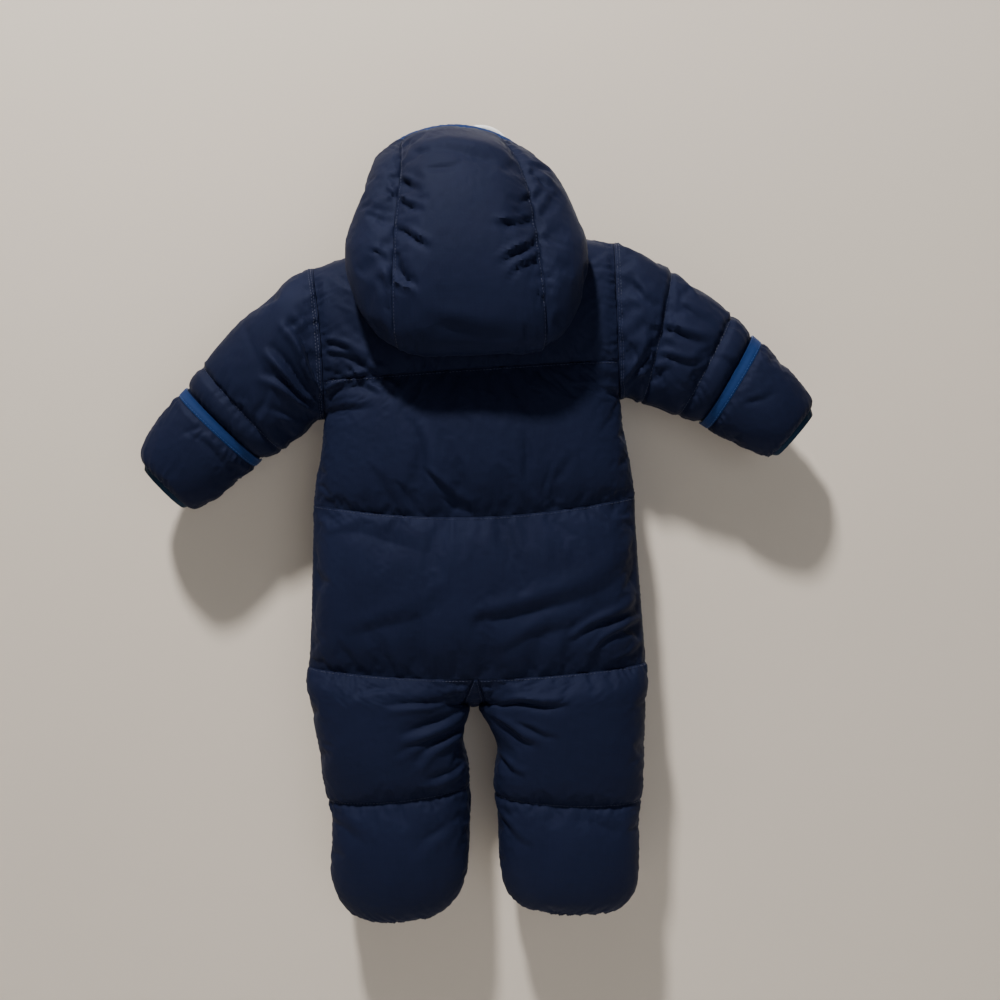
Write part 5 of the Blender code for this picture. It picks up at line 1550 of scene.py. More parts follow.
@dataclass(frozen=True)
class ThreadFinish(Finish):
    """Sewing thread: two plies twisted along each stitch, on Object coordinates."""

    def dress(self, tree: Tree, shader: bpy.types.Node) -> None:
        """Build the twist and the colour variation.

        Args:
            tree: The material's node tree.
            shader: Its Principled shader.
        """
        place = tree.nodes.new("ShaderNodeTexCoord")
        twist = tree.nodes.new("ShaderNodeTexWave")
        twist.bands_direction = "DIAGONAL"
        twist.inputs["Scale"].default_value = 900.0
        twist.inputs["Distortion"].default_value = 0.6
        tree.links.new(place.outputs["Object"], twist.inputs["Vector"])
        mask = noise_node(tree, place.outputs["Object"], scale=60.0, detail=2.0)
        self.varied(tree, shader, mask, dark=0.85, light=1.2, rough=0.1)
        self.bumped(tree, shader, [(twist.outputs["Fac"], 0.6, 0.0001)])


@dataclass(frozen=True)
class HardFinish(Finish):
    """Enamelled metal or moulded plastic, with flow marks, fine grain and small scratches."""

    metallic: float
    grain: float
    scratch: float
    coat: float

    def dress(self, tree: Tree, shader: bpy.types.Node) -> None:
        """Build the grain, the scratches and the colour variation.

        Args:
            tree: The material's node tree.
            shader: Its Principled shader.
        """
        place = tree.nodes.new("ShaderNodeTexCoord")
        drawn = scaled_node(tree, place.outputs["Object"], (1.0, 1.0, 0.3))
        flow = noise_node(tree, drawn, scale=35.0, detail=4.0, roughness=0.6, distortion=0.4)
        fine = noise_node(tree, place.outputs["Object"], scale=1400.0, detail=2.0, roughness=0.5)
        rubbed = scaled_node(tree, place.outputs["Object"], (160.0, 160.0, 14.0))
        marks = noise_node(tree, rubbed, scale=4.0, detail=3.0, roughness=0.7)
        worn = math_node(tree, "GREATER_THAN", marks, 0.66)
        self.varied(tree, shader, flow, dark=0.90, light=1.06, rough=0.18)
        shader.inputs["Metallic"].default_value = self.metallic
        shader.inputs["Coat Weight"].default_value = self.coat
        shader.inputs["Coat Roughness"].default_value = 0.18
        self.bumped(tree, shader, [(fine, 1.0, self.grain), (worn, 0.4, self.scratch)])


@dataclass(frozen=True)
class BoardFinish(Finish):
    """A backdrop or floor of matt paint, seen from its front alone."""

    one_sided: bool = False

    def dress(self, tree: Tree, shader: bpy.types.Node) -> None:
        """Build the paint; a one-sided sheet is seen through from behind, and casts no shadow.

        Args:
            tree: The material's node tree.
            shader: Its Principled shader.
        """
        place = tree.nodes.new("ShaderNodeTexCoord")
        mask = noise_node(tree, place.outputs["Object"], scale=3.0, detail=3.0)
        self.varied(tree, shader, mask, dark=0.985, light=1.01, rough=0.05)
        if not self.one_sided:
            return
        facing = tree.nodes.new("ShaderNodeNewGeometry")
        path = tree.nodes.new("ShaderNodeLightPath")
        clear = tree.nodes.new("ShaderNodeBsdfTransparent")
        blend = tree.nodes.new("ShaderNodeMixShader")
        open_to = math_node(tree, "MAXIMUM", facing.outputs["Backfacing"], path.outputs["Is Shadow Ray"])
        tree.links.new(open_to, blend.inputs[0])
        tree.links.new(shader.outputs[0], blend.inputs[1])
        tree.links.new(clear.outputs[0], blend.inputs[2])
        tree.links.new(blend.outputs[0], tree.nodes["Material Output"].inputs["Surface"])


NAVY = ClothFinish("navy_taffeta", (0.0070, 0.0098, 0.0275), 0.62, 3000.0, 0.00004, 0.00014, 0.02,
                   (0.50, 0.60, 1.0), 0.6, 0.5, 0.09)
BLUE = ClothFinish("blue_bias_tape", (0.0050, 0.0190, 0.0900), 0.70, 1500.0, 0.00008, 0.0001, 0.04,
                   (0.40, 0.65, 1.0), 0.3, 0.6, 0.3)
# The cuff binding is a darker, greener copy of the blue binding: partly its own teal-grey tone, partly
# painted shade for the mitt flap that hangs over it.
SHADED_TEAL = ClothFinish("teal_cuff_binding", (0.0036, 0.0140, 0.0340), 0.72, 1500.0, 0.00008, 0.0001, 0.04,
                   (0.40, 0.65, 1.0), 0.3, 0.6, 0.3)
TAPE = ClothFinish("zip_tape_weave", (0.0060, 0.0110, 0.0340), 0.80, 900.0, 0.00016, 0.0001, 0.05,
                   (0.5, 0.6, 1.0), 0.1, 0.3, 0.3)
THREAD = ThreadFinish("navy_thread", (0.0120, 0.0190, 0.0560), 0.50)
BLUE_THREAD = ThreadFinish("blue_thread", (0.0080, 0.0450, 0.1700), 0.50)
COIL = HardFinish("zip_teeth_plastic", (0.0130, 0.0190, 0.0480), 0.36, 0.0, 0.00001, 0.00001, 0.1)
ENAMEL = HardFinish("enamelled_zip_metal", (0.0330, 0.0440, 0.0880), 0.30, 0.65, 0.00001, 0.00003, 0.35)
WHITE = HardFinish("white_hanger_plastic", (0.82, 0.84, 0.87), 0.34, 0.0, 0.00002, 0.00003, 0.15)
WALL = BoardFinish("pale_wall", (0.66, 0.60, 0.53), 0.85, True)
FLOOR = BoardFinish("pale_floor", (0.50, 0.49, 0.475), 0.80)


# ---------------------------------------------------------------- meshes

CREASE_BORDER = 5.0       # creases fade out this near to a seam
LEAST_CLOTH = 1.6         # the padding that no crease goes through
GATHER_LIMITS = (0.6, 3.0)      # depth as a share of the padding that is free, and height
LEAST_SHEET = 10.0
SHARP_ANGLE = 58.0


@dataclass
class Piece:
    """A piece of cloth, from its cut to the finished object."""

    name: str
    cloth: Cloth
    finish: Finish
    slot: Slot
    lines: tuple[float, ...] = ()
    give_out: float = 6.0
    give_in: float = 4.0
    detail: float = 3.0
    blown: bool = True
    creases: bool = True
    gathers: float = 1.15
    elastic: bool = False
    seed: int = 1
    ceiling: Grid = None
    fine: Cloth = None
    item: bpy.types.Object = None

    def outward(self) -> bool:
        """Whether faces made from rows down and columns right point out of the cloth."""
        points = self.cloth.outer
        down = points[1:, :-1] - points[:-1, :-1]
        right = points[:-1, 1:] - points[:-1, :-1]
        return bool((np.cross(down, right) * self.cloth.normals[:-1, :-1]).sum() > 0)

    def faces(self, rows: int, columns: int, start: int) -> list[tuple[int, int, int, int]]:
        """Quads of a grid.

        Args:
            rows: Its rows of points.
            columns: Its columns of points.
            start: The number of its first point.

        Returns:
            The quads, facing outwards.
        """
        grid = start + np.arange(rows * columns).reshape(rows, columns)
        nxt = np.roll(grid, -1, axis=1) if self.cloth.closed else grid[:, 1:]
        here = grid if self.cloth.closed else grid[:, :-1]
        quads = np.stack((here[:-1], here[1:], nxt[1:], nxt[:-1]), axis=-1).reshape(-1, 4)
        return quads.tolist() if self.outward() else quads[:, ::-1].tolist()

    def refine(self) -> None:
        """Halve the grid's cells, on smooth curves, for the creases and the finished mesh."""
        cloth = self.cloth
        rows, columns = cloth.inner.shape[:2]
        down = np.arange(2 * rows - 1) / 2
        along = np.arange(2 * columns if cloth.closed else 2 * columns - 1) / 2
        carrier = Cut(cloth.inner, cloth.normals, cloth.closed)
        by_row = carrier.weights(down, rows, False)
        by_column = carrier.weights(along, columns, cloth.closed)

        def carried(values: Grid) -> Grid:
            """The values of a grid at the finer grid's points."""
            if values.ndim == 2:
                return np.einsum("ai,ij,bj->ab", by_row, values, by_column)
            return np.einsum("ai,ijk,bj->abk", by_row, values, by_column)

        normals = carried(cloth.normals)
        normals /= np.linalg.norm(normals, axis=2, keepdims=True)
        wrap = cloth.columns
        if cloth.closed:
            wrap = np.append(wrap, wrap[0] + SLEEVE_COLUMNS)
        places = np.interp(along, np.arange(len(wrap)), wrap)
        self.fine = Cloth(carried(cloth.inner), normals, np.interp(down, np.arange(rows), cloth.rows), places,
                          cloth.closed, carried(cloth.thickness), None, carried(cloth.outer), cloth.sides)

    def crumple(self) -> None:
        """Press in the creases and the gathers."""
        fine = self.fine
        border = np.clip(fine.seam_distance(self.lines) / CREASE_BORDER, 0.0, 1.0)
        free = np.linalg.norm(fine.outer - fine.inner, axis=2) - LEAST_CLOTH
        facing = grid_normals(fine.outer, fine.closed)
        facing = np.where((facing * fine.normals).sum(axis=2, keepdims=True) < 0, fine.normals, facing)
        if self.creases:
            moved = creased(fine.outer, facing, ((BACK_CREASES, False), (FRONT_CREASES, True)),
                            np.maximum(free, 0.0))
            fine.outer = fine.outer + (moved - fine.outer) * border[..., None]
        if self.gathers:
            wave = Gathers(self.gathers, seed=self.seed).relief(fine, self.lines)
            wave = np.clip(wave, -np.maximum(free, 0.0) * GATHER_LIMITS[0], GATHER_LIMITS[1])
            fine.outer = fine.outer + facing * wave[..., None]
        if self.ceiling is not None:
            rise = ((fine.outer - fine.inner) * fine.normals).sum(axis=2)
            over = np.maximum(rise - self.ceiling, 0.0)
            fine.outer = fine.outer - fine.normals * over[..., None]
        if self.elastic:
            Elastic().draw_in(fine, self.seed)

    def build(self) -> bpy.types.Object:
        """Make the closed mesh: the fine outer face, the plain inner face, and the edge between them.

        Returns:
            The object.
        """
        fine, base = self.fine, self.cloth
        fine.drawn_back()
        rows, columns = fine.outer.shape[:2]
        inner = fine.inner[::2, ::2]
        in_rows, in_columns = inner.shape[:2]
        outer_faces = self.faces(rows, columns, 0)
        start = rows * columns
        inner_faces = [face[::-1] for face in self.faces(in_rows, in_columns, start)]
        edge_faces = []

        def strip(outer_line: Sequence[int], inner_line: Sequence[int]) -> None:
            """Join a run of outer points to the run of inner points below every other one."""
            for k in range(len(inner_line) - 1):
                first, second = inner_line[k], inner_line[k + 1]
                near, between, far = outer_line[2 * k], outer_line[2 * k + 1], outer_line[2 * k + 2]
                edge_faces.append((first, near, between))
                edge_faces.append((first, between, second))
                edge_faces.append((second, between, far))

        out_grid = np.arange(rows * columns).reshape(rows, columns)
        in_grid = start + np.arange(in_rows * in_columns).reshape(in_rows, in_columns)
        for i_out, i_in in ((0, 0), (-1, -1)):
            out_line, in_line = list(out_grid[i_out]), list(in_grid[i_in])
            if base.closed:
                out_line, in_line = out_line + out_line[:1], in_line + in_line[:1]
            strip(out_line, in_line)
        if not base.closed:
            for j in (0, -1):
                strip(list(out_grid[:, j]), list(in_grid[:, j]))
        points = np.concatenate((fine.outer.reshape(-1, 3), inner.reshape(-1, 3))) * MM
        mesh = bpy.data.meshes.new(self.name)
        edge_faces = [tuple(map(int, corners)) for corners in edge_faces]
        mesh.from_pydata(points.tolist(), [], outer_faces + inner_faces + edge_faces)
        shape = bmesh.new()
        shape.from_mesh(mesh)
        bmesh.ops.recalc_face_normals(shape, faces=shape.faces)
        shape.to_mesh(mesh)
        shape.free()
        self.unwrap(mesh)
        self.item = placed_object(self.name, mesh, self.finish)
        return self.item

    def unwrap(self, mesh: bpy.types.Mesh) -> None:
        """Give the mesh a UV map in metres along the cut.

        Args:
            mesh: The mesh.
        """
        fine = self.fine
        down, along = fine.run_down() * MM, fine.run_across() * MM
        outer = np.stack((along, down), axis=-1).reshape(-1, 2)
        inner = np.stack((along[::2, ::2], down[::2, ::2]), axis=-1).reshape(-1, 2)
        places = np.concatenate((outer, inner))
        layer = mesh.uv_layers.new(name="cut")
        corners = np.empty(len(mesh.loops), int)
        mesh.loops.foreach_get("vertex_index", corners)
        layer.data.foreach_set("uv", places[corners].astype(np.float32).ravel())

    def declare(self, body: str = SUIT) -> None:
        """Ride the piece on its body, stand it for its node and state its cut."""
        fine = self.fine
        width = float(fine.run_across()[:, -1].max())
        if fine.closed:
            width += float(np.linalg.norm(fine.inner[:, 0] - fine.inner[:, -1], axis=1).max())
        length = float(fine.run_down()[-1].max())
        area = mesh_area(self.item.data) / 2
        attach(self.item, body)
        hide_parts(self.name_of_node())
        length, width = max(length, LEAST_SHEET), max(width, LEAST_SHEET)
        LOG.info("%s: flat %.0f x %.0f mm, area %.4f m2", self.name, width, length, area)

    def name_of_node(self) -> str:
        """The CAD node that the piece stands for."""
        return self.name.removesuffix("_cloth")


def blurred(values: Grid, closed: bool, passes: int = 6) -> Grid:
    """A grid of values, smoothed over a few cells.

    Args:
        values: The values.
        closed: Whether the last column joins the first.
        passes: How often each value is mixed with its neighbours.

    Returns:
        The smoothed values.
    """
    for _ in range(passes):
        padded = np.pad(values, ((1, 1), (0, 0)), mode="edge")
        values = (padded[:-2] + 2 * padded[1:-1] + padded[2:]) / 4
        padded = np.pad(values, ((0, 0), (1, 1)), mode="wrap" if closed else "edge")
        values = (padded[:, :-2] + 2 * padded[:, 1:-1] + padded[:, 2:]) / 4
    return values


def mesh_area(mesh: bpy.types.Mesh) -> float:
    """The area of all faces of a mesh, in square metres."""
    areas = np.empty(len(mesh.polygons))
    mesh.polygons.foreach_get("area", areas)
    return float(areas.sum())


def placed_object(name: str, mesh: bpy.types.Mesh, finish: Finish) -> bpy.types.Object:
    """An object at the origin with a mesh and one finish, shaded smooth.

    Args:
        name: The object's name.
        mesh: Its mesh.
        finish: Its finish.

    Returns:
        The object.
    """
    item = bpy.data.objects.new(name, mesh)
    bpy.context.scene.collection.objects.link(item)
    mesh.materials.append(finish.material())
    mesh.shade_smooth()
    mesh.set_sharp_from_angle(angle=math.radians(SHARP_ANGLE))
    return item


@dataclass
class Padding:
    """The cloth simulation that blows the padding up between the seams."""

    pressure: float = 4.0
    frames: int = 20
    growth: float = 0.021
    stiffness: float = 15.0
    bending: float = 1.5
    shake: float = 0.12          # random starting height, so that the cloth doesn't swell evenly
    seed: int = 11

    def blow(self, pieces: Sequence[Piece]) -> None:
        """Blow up the outer faces of all pieces in one simulation, then cap how far each point moved.

        Args:
            pieces: The pieces.
        """
        pieces = [piece for piece in pieces if piece.blown]
        if not pieces:
            return
        rng = np.random.default_rng(self.seed)
        points, faces, held, start = [], [], [], 0
        for piece in pieces:
            rows, columns = piece.cloth.outer.shape[:2]
            shaken = rng.normal(0.0, self.shake, (rows, columns, 1)) * ~piece.cloth.held[..., None]
            points.append((piece.cloth.outer + piece.cloth.normals * shaken).reshape(-1, 3))
            faces += piece.faces(rows, columns, start)
            held.append(piece.cloth.held.ravel())
            start += rows * columns
        flat, pins = np.concatenate(points) * MM, np.concatenate(held)
        mesh = bpy.data.meshes.new("padding")
        mesh.from_pydata(flat.tolist(), [], faces)
        item = bpy.data.objects.new("padding", mesh)
        bpy.context.scene.collection.objects.link(item)
        item.vertex_groups.new(name="held").add(np.flatnonzero(pins).tolist(), 1.0, "REPLACE")
        moved = self.simulate(item) / MM
        bpy.data.objects.remove(item, do_unlink=True)
        bpy.data.meshes.remove(mesh)
        start = 0
        for piece in pieces:
            shape = piece.cloth.outer.shape
            count = shape[0] * shape[1]
            self.settle(piece, moved[start:start + count].reshape(shape))
            start += count

    def simulate(self, item: bpy.types.Object) -> np.ndarray:
        """Run the cloth and read where its points end.

        Args:
            item: The object to blow up.

        Returns:
            The points, in metres.
        """
        scene = bpy.context.scene
        scene.frame_start, scene.frame_end = 1, self.frames
        cloth = item.modifiers.new("Cloth", "CLOTH")
        settings = cloth.settings
        settings.quality = 4
        settings.mass = 0.3
        settings.tension_stiffness = settings.compression_stiffness = self.stiffness
        settings.shear_stiffness = 4.0
        settings.bending_stiffness = self.bending
        settings.vertex_group_mass = "held"
        settings.use_pressure = True
        settings.uniform_pressure_force = self.pressure
        settings.shrink_min = -self.growth
        settings.effector_weights.gravity = 0.0
        cloth.collision_settings.use_collision = False
        cloth.collision_settings.use_self_collision = False
        cloth.point_cache.frame_start, cloth.point_cache.frame_end = 1, self.frames
        for number in range(1, self.frames + 1):
            scene.frame_set(number)
        evaluated = item.evaluated_get(bpy.context.evaluated_depsgraph_get())
        mesh = evaluated.to_mesh()
        places = np.empty(len(mesh.vertices) * 3)
        mesh.vertices.foreach_get("co", places)
        evaluated.to_mesh_clear()
        scene.frame_set(1)
        return places.reshape(-1, 3)

    @staticmethod
    def settle(piece: Piece, moved: Grid) -> None:
        """Cap how far each point of a piece moved, and keep it off the inner face.

        Args:
            piece: The piece.
            moved: Where the simulation left its points.
        """
        cloth = piece.cloth
        shift = moved - cloth.outer
        out = (shift * cloth.normals).sum(axis=2)
        side = shift - cloth.normals * out[..., None]
        room = np.linalg.norm(cloth.outer - cloth.inner, axis=2) - 2.0
        low = blurred(out, cloth.closed)
        detail = out - low
        low = np.where(low > 0, piece.give_out * np.tanh(low / piece.give_out), low)
        capped = low + piece.detail * np.tanh(detail / piece.detail)
        capped = np.maximum(capped, -np.minimum(np.maximum(room, 0.0), piece.give_in))
        reach = np.linalg.norm(side, axis=2, keepdims=True)
        side *= np.minimum(1.0, 3.0 / np.maximum(reach, 1e-6))
        cloth.outer = cloth.outer + cloth.normals * capped[..., None] + side
        LOG.info("%s swells %.1f mm at most, %.1f mm inwards", piece.name, capped.max(), -capped.min())


# ---------------------------------------------------------------- stitches and zip

def seam_line(cloth: Cloth, side: str, offset: float, row: float = 0.0) -> tuple[Grid, Grid]:
    """A line on the cloth at a distance from one of its edges or quilting lines.

    Args:
        cloth: The finished cloth.
        side: "top", "bottom", "start", "end" or "line".
        offset: The distance from the edge.
        row: The coarse row of the quilting line.

    Returns:
        The line's points and the normals there.
    """
    outer, normals = cloth.outer, grid_normals(cloth.outer, cloth.closed)
    normals = np.where((normals * cloth.normals).sum(axis=2, keepdims=True) < 0, cloth.normals, normals)
    if side in ("start", "end"):
        outer, normals = outer.transpose(1, 0, 2), normals.transpose(1, 0, 2)
    if side in ("bottom", "end"):
        outer, normals = outer[::-1], normals[::-1]
    if side == "line":
        first = cloth.row_of(row)
        outer, normals = outer[first:], normals[first:]
    reach = min(8, len(outer))
    outer, normals = outer[:reach], normals[:reach]
    steps = np.linalg.norm(np.diff(outer, axis=0), axis=2)
    away = np.vstack((np.zeros((1, outer.shape[1])), np.cumsum(steps, axis=0)))
    line = np.array([[np.interp(offset, away[:, j], outer[:, j, k]) for k in range(3)]
                     for j in range(outer.shape[1])])
    ways = np.array([[np.interp(offset, away[:, j], normals[:, j, k]) for k in range(3)]
                     for j in range(outer.shape[1])])
    if cloth.closed and side in ("top", "bottom", "line"):
        line, ways = np.vstack((line, line[:1])), np.vstack((ways, ways[:1]))
    return line, ways


# rings of a bar: place as a share of its length, width and drop as shares of its radius
BAR_RINGS = ((-0.5, 0.35, -0.9), (-0.28, 1.0, 0.0), (0.28, 1.0, 0.0), (0.5, 0.35, -0.9))


@dataclass
class Beads:
    """Many small rounded bars in one mesh, such as stitches or zip teeth."""

    name: str
    finish: Finish
    slot: Slot
    sides: int = 5
    lift: float = 0.12           # a stitch's middle over the cloth
    parts: list[Grid] = field(default_factory=list)

    def bar(self, centre: Grid, along: Grid, up: Grid, length: float, radius: float,
            flat: float = 1.0) -> None:
        """Add bars.

        Args:
            centre: Their middles.
            along: Their directions.
            up: The normals of what they lie on.
            length: Their length.
            radius: Half of their width.
            flat: Their height as a share of their width.
        """
        aside = np.cross(along, up)
        aside /= np.linalg.norm(aside, axis=1, keepdims=True)
        upright = np.cross(aside, along)
        rings = []
        for share, wide, drop in BAR_RINGS:
            for k in range(self.sides):
                turn = 2 * math.pi * (k + 0.5) / self.sides
                rings.append(centre + along * length * share
                             + aside * (radius * wide * math.cos(turn))
                             + upright * (radius * flat * (wide * math.sin(turn) + drop)))
        self.parts.append(np.stack(rings, axis=1))

    def run(self, line: Grid, ways: Grid, pitch: float = 3.3, length: float = 2.5,
            radius: float = 0.30) -> None:
        """Sew a run of stitches along a line.

        Args:
            line: The line's points.
            ways: The normals there.
            pitch: From one stitch to the next.
            length: The length of a stitch.
            radius: Half of the thread's width.
        """
        steps = np.linalg.norm(np.diff(line, axis=0), axis=1)
        run = np.concatenate(((0.0,), np.cumsum(steps)))
        places = np.arange(pitch, run[-1] - pitch / 2, pitch)
        if not len(places):
            return
        centre = np.stack([np.interp(places, run, line[:, k]) for k in range(3)], axis=1)
        ahead = np.stack([np.interp(places + 0.5, run, line[:, k]) for k in range(3)], axis=1)
        up = np.stack([np.interp(places, run, ways[:, k]) for k in range(3)], axis=1)
        up /= np.linalg.norm(up, axis=1, keepdims=True)
        along = ahead - centre
        along /= np.maximum(np.linalg.norm(along, axis=1, keepdims=True), 1e-9)
        self.bar(centre + up * self.lift, along, up, length, radius)

    def build(self) -> bpy.types.Object:
        """Make the object and let it ride on the suit."""
        parts = np.concatenate(self.parts)
        count, size, sides = len(parts), 4 * self.sides, self.sides
        faces = []
        for ring in range(3):
            for k in range(sides):
                nxt = (k + 1) % sides
                near, far = ring * sides, (ring + 1) * sides
                faces.append((near + k, near + nxt, far + nxt, far + k))
        caps = [tuple(range(sides)), tuple(3 * sides + k for k in reversed(range(sides)))]
        mesh = bpy.data.meshes.new(self.name)
        whole = []
        for number in range(count):
            start = number * size
            whole += [tuple(start + v for v in face) for face in (*faces, *caps)]
        mesh.from_pydata((parts.reshape(-1, 3) * MM).tolist(), [], whole)
        shape = bmesh.new()
        shape.from_mesh(mesh)
        bmesh.ops.recalc_face_normals(shape, faces=shape.faces)
        shape.to_mesh(mesh)
        shape.free()
        item = placed_object(self.name, mesh, self.finish)
        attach(item, SUIT)
        LOG.info("%s: %d bars", self.name, count)
        return item


def select_none() -> None:
    """Leave edit mode and deselect every object."""
    if bpy.context.object is not None and bpy.context.object.mode != "OBJECT":
        bpy.ops.object.mode_set(mode="OBJECT")
    for item in bpy.context.scene.objects:
        if item.visible_get():
            item.select_set(False)


def select_where(item: bpy.types.Object, kind: str, wanted: Callable) -> None:
    """In edit mode, select the faces or vertices whose place passes a test.

    Args:
        item: The object.
        kind: "FACE" or "VERT".
        wanted: The test, given a place in millimetres and a normal.
    """
    bpy.ops.mesh.select_mode(type=kind)
    bpy.ops.mesh.select_all(action="DESELECT")
    shape = bmesh.from_edit_mesh(item.data)
    shape.faces.ensure_lookup_table()
    for part in (shape.faces if kind == "FACE" else shape.verts):
        place = part.calc_center_median() if kind == "FACE" else part.co
        part.select = bool(wanted(item.matrix_world @ place / MM, part.normal))
    shape.select_flush_mode()
    bmesh.update_edit_mesh(item.data)


def settled(item: bpy.types.Object, name: str, finish: Finish, body: str,
            smooth: float = 40.0) -> None:
    """Apply an object's place, name and dress it, and let it ride.

    Args:
        item: The object.
        name: Its name.
        finish: Its finish.
        body: The body that it rides on.
        smooth: The angle in degrees up to which its faces are shaded smooth.
    """
    select_none()
    item.select_set(True)
    bpy.context.view_layer.objects.active = item
    bpy.ops.object.transform_apply(location=True, rotation=True, scale=True)
    bpy.ops.object.mode_set(mode="EDIT")
    bpy.ops.mesh.select_all(action="SELECT")
    bpy.ops.mesh.normals_make_consistent(inside=False)
    bpy.ops.object.mode_set(mode="OBJECT")
    bpy.ops.object.shade_smooth_by_angle(angle=math.radians(smooth))
    item.name = name
    item.data.materials.clear()
    item.data.materials.append(finish.material())
    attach(item, body)
    LOG.info("%s: %d faces", name, len(item.data.polygons))


@dataclass
class Zip:
    """The closed zip at the centre front: tapes, teeth, slider and pull tab."""

    body: BodyCut
    tape_thickness: float = 2.0
    slider_row: int = 3
    slider_size: tuple[float, float, float] = (9.0, 5.0, 12.0)
    pull_size: tuple[float, float, float] = (6.0, 1.6, 22.0)
    pull_clearance: float = 0.6
    tooth_pitch: float = 1.7
    tooth_length: float = 3.4
    tooth_radius: float = 0.55
    tooth_place: tuple[float, float] = (0.9, 0.25)      # of a tooth: from the middle, and over the tape
    tooth_ends: tuple[float, float] = (3.0, 2.0)        # from the tape's ends to the first and last tooth
    slider_nose: float = 0.62    # the slider's lower width, as a share of its upper
    slider_face: tuple[float, float] = (0.80, 0.88)     # its front face's width and height, likewise
    slider_hollow: tuple[float, float] = (1.1, 0.8)     # its sides' hollow: border and depth
    slider_bevel: float = 0.45
    bridge_size: tuple[float, float, float] = (1.9, 1.0, 8.0)
    bridge_gap: float = 0.85     # from the pull tab's eye to the middle of the bridge
    bridge_foot: float = 1.4     # how far the bridge's feet go past the tab's axis
    bridge_span: float = 2.2     # half of its open length
    bridge_bevel: float = 0.12
    eye_size: tuple[float, float, float] = (2.9, 4.0, 4.6)
    eye_drop: float = 3.4        # the eye's middle under the hinge
    grip_drop: float = 7.6       # the grip's upper edge under the hinge
    pull_bevel: float = 0.35

    def centre(self, row: int) -> tuple[Vector, Vector]:
        """The middle of the zip at a row, and the normal there."""
        here = self.body.point(row, 0.5, True)
        above = self.body.point(max(row - 1, 0), 0.5, True)
        below = self.body.point(min(row + 1, self.body.rows), 0.5, True)
        normal = (below - above).cross(Vector((-1.0, 0.0, 0.0))).normalized()
        return here, normal if normal.y > 0 else -normal

    def tape(self, left: bool) -> Cut:
        """The coarse grid of one half of the tape."""
        side = -1.0 if left else 1.0
        points, normals = [], []
        for row in range(self.body.rows + 1):
            centre, normal = self.centre(row)
            points.append([centre + Vector((side * self.body.zip_half_width, 0, 0)), centre])
            normals.append([normal, normal])
        return Cut(np.array(points), np.array(normals))

    def teeth(self) -> None:
        """The two interlocked rows of teeth on the closed tapes."""
        rows = [self.centre(row) for row in range(self.body.rows + 1)]
        line = np.array([place for place, _ in rows])
        ways = np.array([normal for _, normal in rows])
        fine = Cut(line[:, None].repeat(2, axis=1), ways[:, None].repeat(2, axis=1)).fine(
            (0, self.body.rows), (0, 1), 4.0)
        line, ways = fine.inner[:, 0], fine.normals[:, 0]
        run = np.concatenate(((0.0,), np.cumsum(np.linalg.norm(np.diff(line, axis=0), axis=1))))
        beads = Beads("zip_teeth", COIL, Slot.TAPE)
        aside, rise = self.tooth_place
        first, last = self.tooth_ends
        for side, start in ((-1.0, first), (1.0, first + self.tooth_pitch / 2)):
            places = np.arange(start, run[-1] - last, self.tooth_pitch)
            centre = np.stack([np.interp(places, run, line[:, k]) for k in range(3)], axis=1)
            up = np.stack([np.interp(places, run, ways[:, k]) for k in range(3)], axis=1)
            up /= np.linalg.norm(up, axis=1, keepdims=True)
            along = np.tile((1.0, 0.0, 0.0), (len(places), 1))
            shift = np.array((side * aside, 0.0, 0.0))
            beads.bar(centre + shift + up * (self.tape_thickness + rise), along, up,
                      self.tooth_length, self.tooth_radius)
        beads.build()

    def place(self, item: bpy.types.Object, origin: Vector, tilt: float) -> None:
        """Turn an object about X and move it to its place, in millimetres."""
        item.rotation_euler = (tilt, 0.0, 0.0)
        item.location = origin * MM

    def metal(self) -> None:
        """The slider with its bridge, and the pull tab in the bridge."""
        centre, normal = self.centre(self.slider_row)
        tilt = math.atan2(normal.z, normal.y)
        wide, deep, tall = self.slider_size
        middle = centre + normal * (self.tape_thickness + SEAM_GAP + deep / 2)
        select_none()
        bpy.ops.mesh.primitive_cube_add(size=1.0)
        slider = bpy.context.object
        slider.scale = (wide * MM, deep * MM, tall * MM)
        bpy.ops.object.transform_apply(location=False, rotation=False, scale=True)
        bpy.ops.object.mode_set(mode="EDIT")
        select_where(slider, "VERT", lambda place, _: place.z < 0)
        bpy.ops.transform.resize(value=(self.slider_nose, 1.0, 1.0))
        select_where(slider, "VERT", lambda place, _: place.y > 0)
        bpy.ops.transform.resize(value=(self.slider_face[0], 1.0, self.slider_face[1]))
        select_where(slider, "FACE", lambda place, way: abs(way.x) > 0.5)
        border, sunk = self.slider_hollow
        bpy.ops.mesh.inset(thickness=border * MM, depth=-sunk * MM, use_individual=True)
        bpy.ops.mesh.select_all(action="SELECT")
        bpy.ops.mesh.bevel(offset=self.slider_bevel * MM, segments=3, affect="EDGES")
        bpy.ops.object.mode_set(mode="OBJECT")
        hinge = centre + normal * (self.tape_thickness + SEAM_GAP + deep + self.pull_clearance
                                   + self.pull_size[1] / 2)
        rise = self.pull_clearance + self.pull_size[1] / 2
        bridge = self.bridge(deep / 2, rise)
        self.place(slider, middle, tilt)
        self.place(bridge, middle, tilt)
        select_none()
        bridge.select_set(True)
        slider.select_set(True)
        bpy.context.view_layer.objects.active = slider
        bpy.ops.object.join()
        settled(slider, "zip_slider_body", ENAMEL, SUIT, 50.0)
        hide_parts("zip_slider")
        pull = self.pull()
        self.place(pull, hinge, tilt)
        settled(pull, "zip_pull_tab", ENAMEL, PULL, 50.0)
        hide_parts("zip_pull")

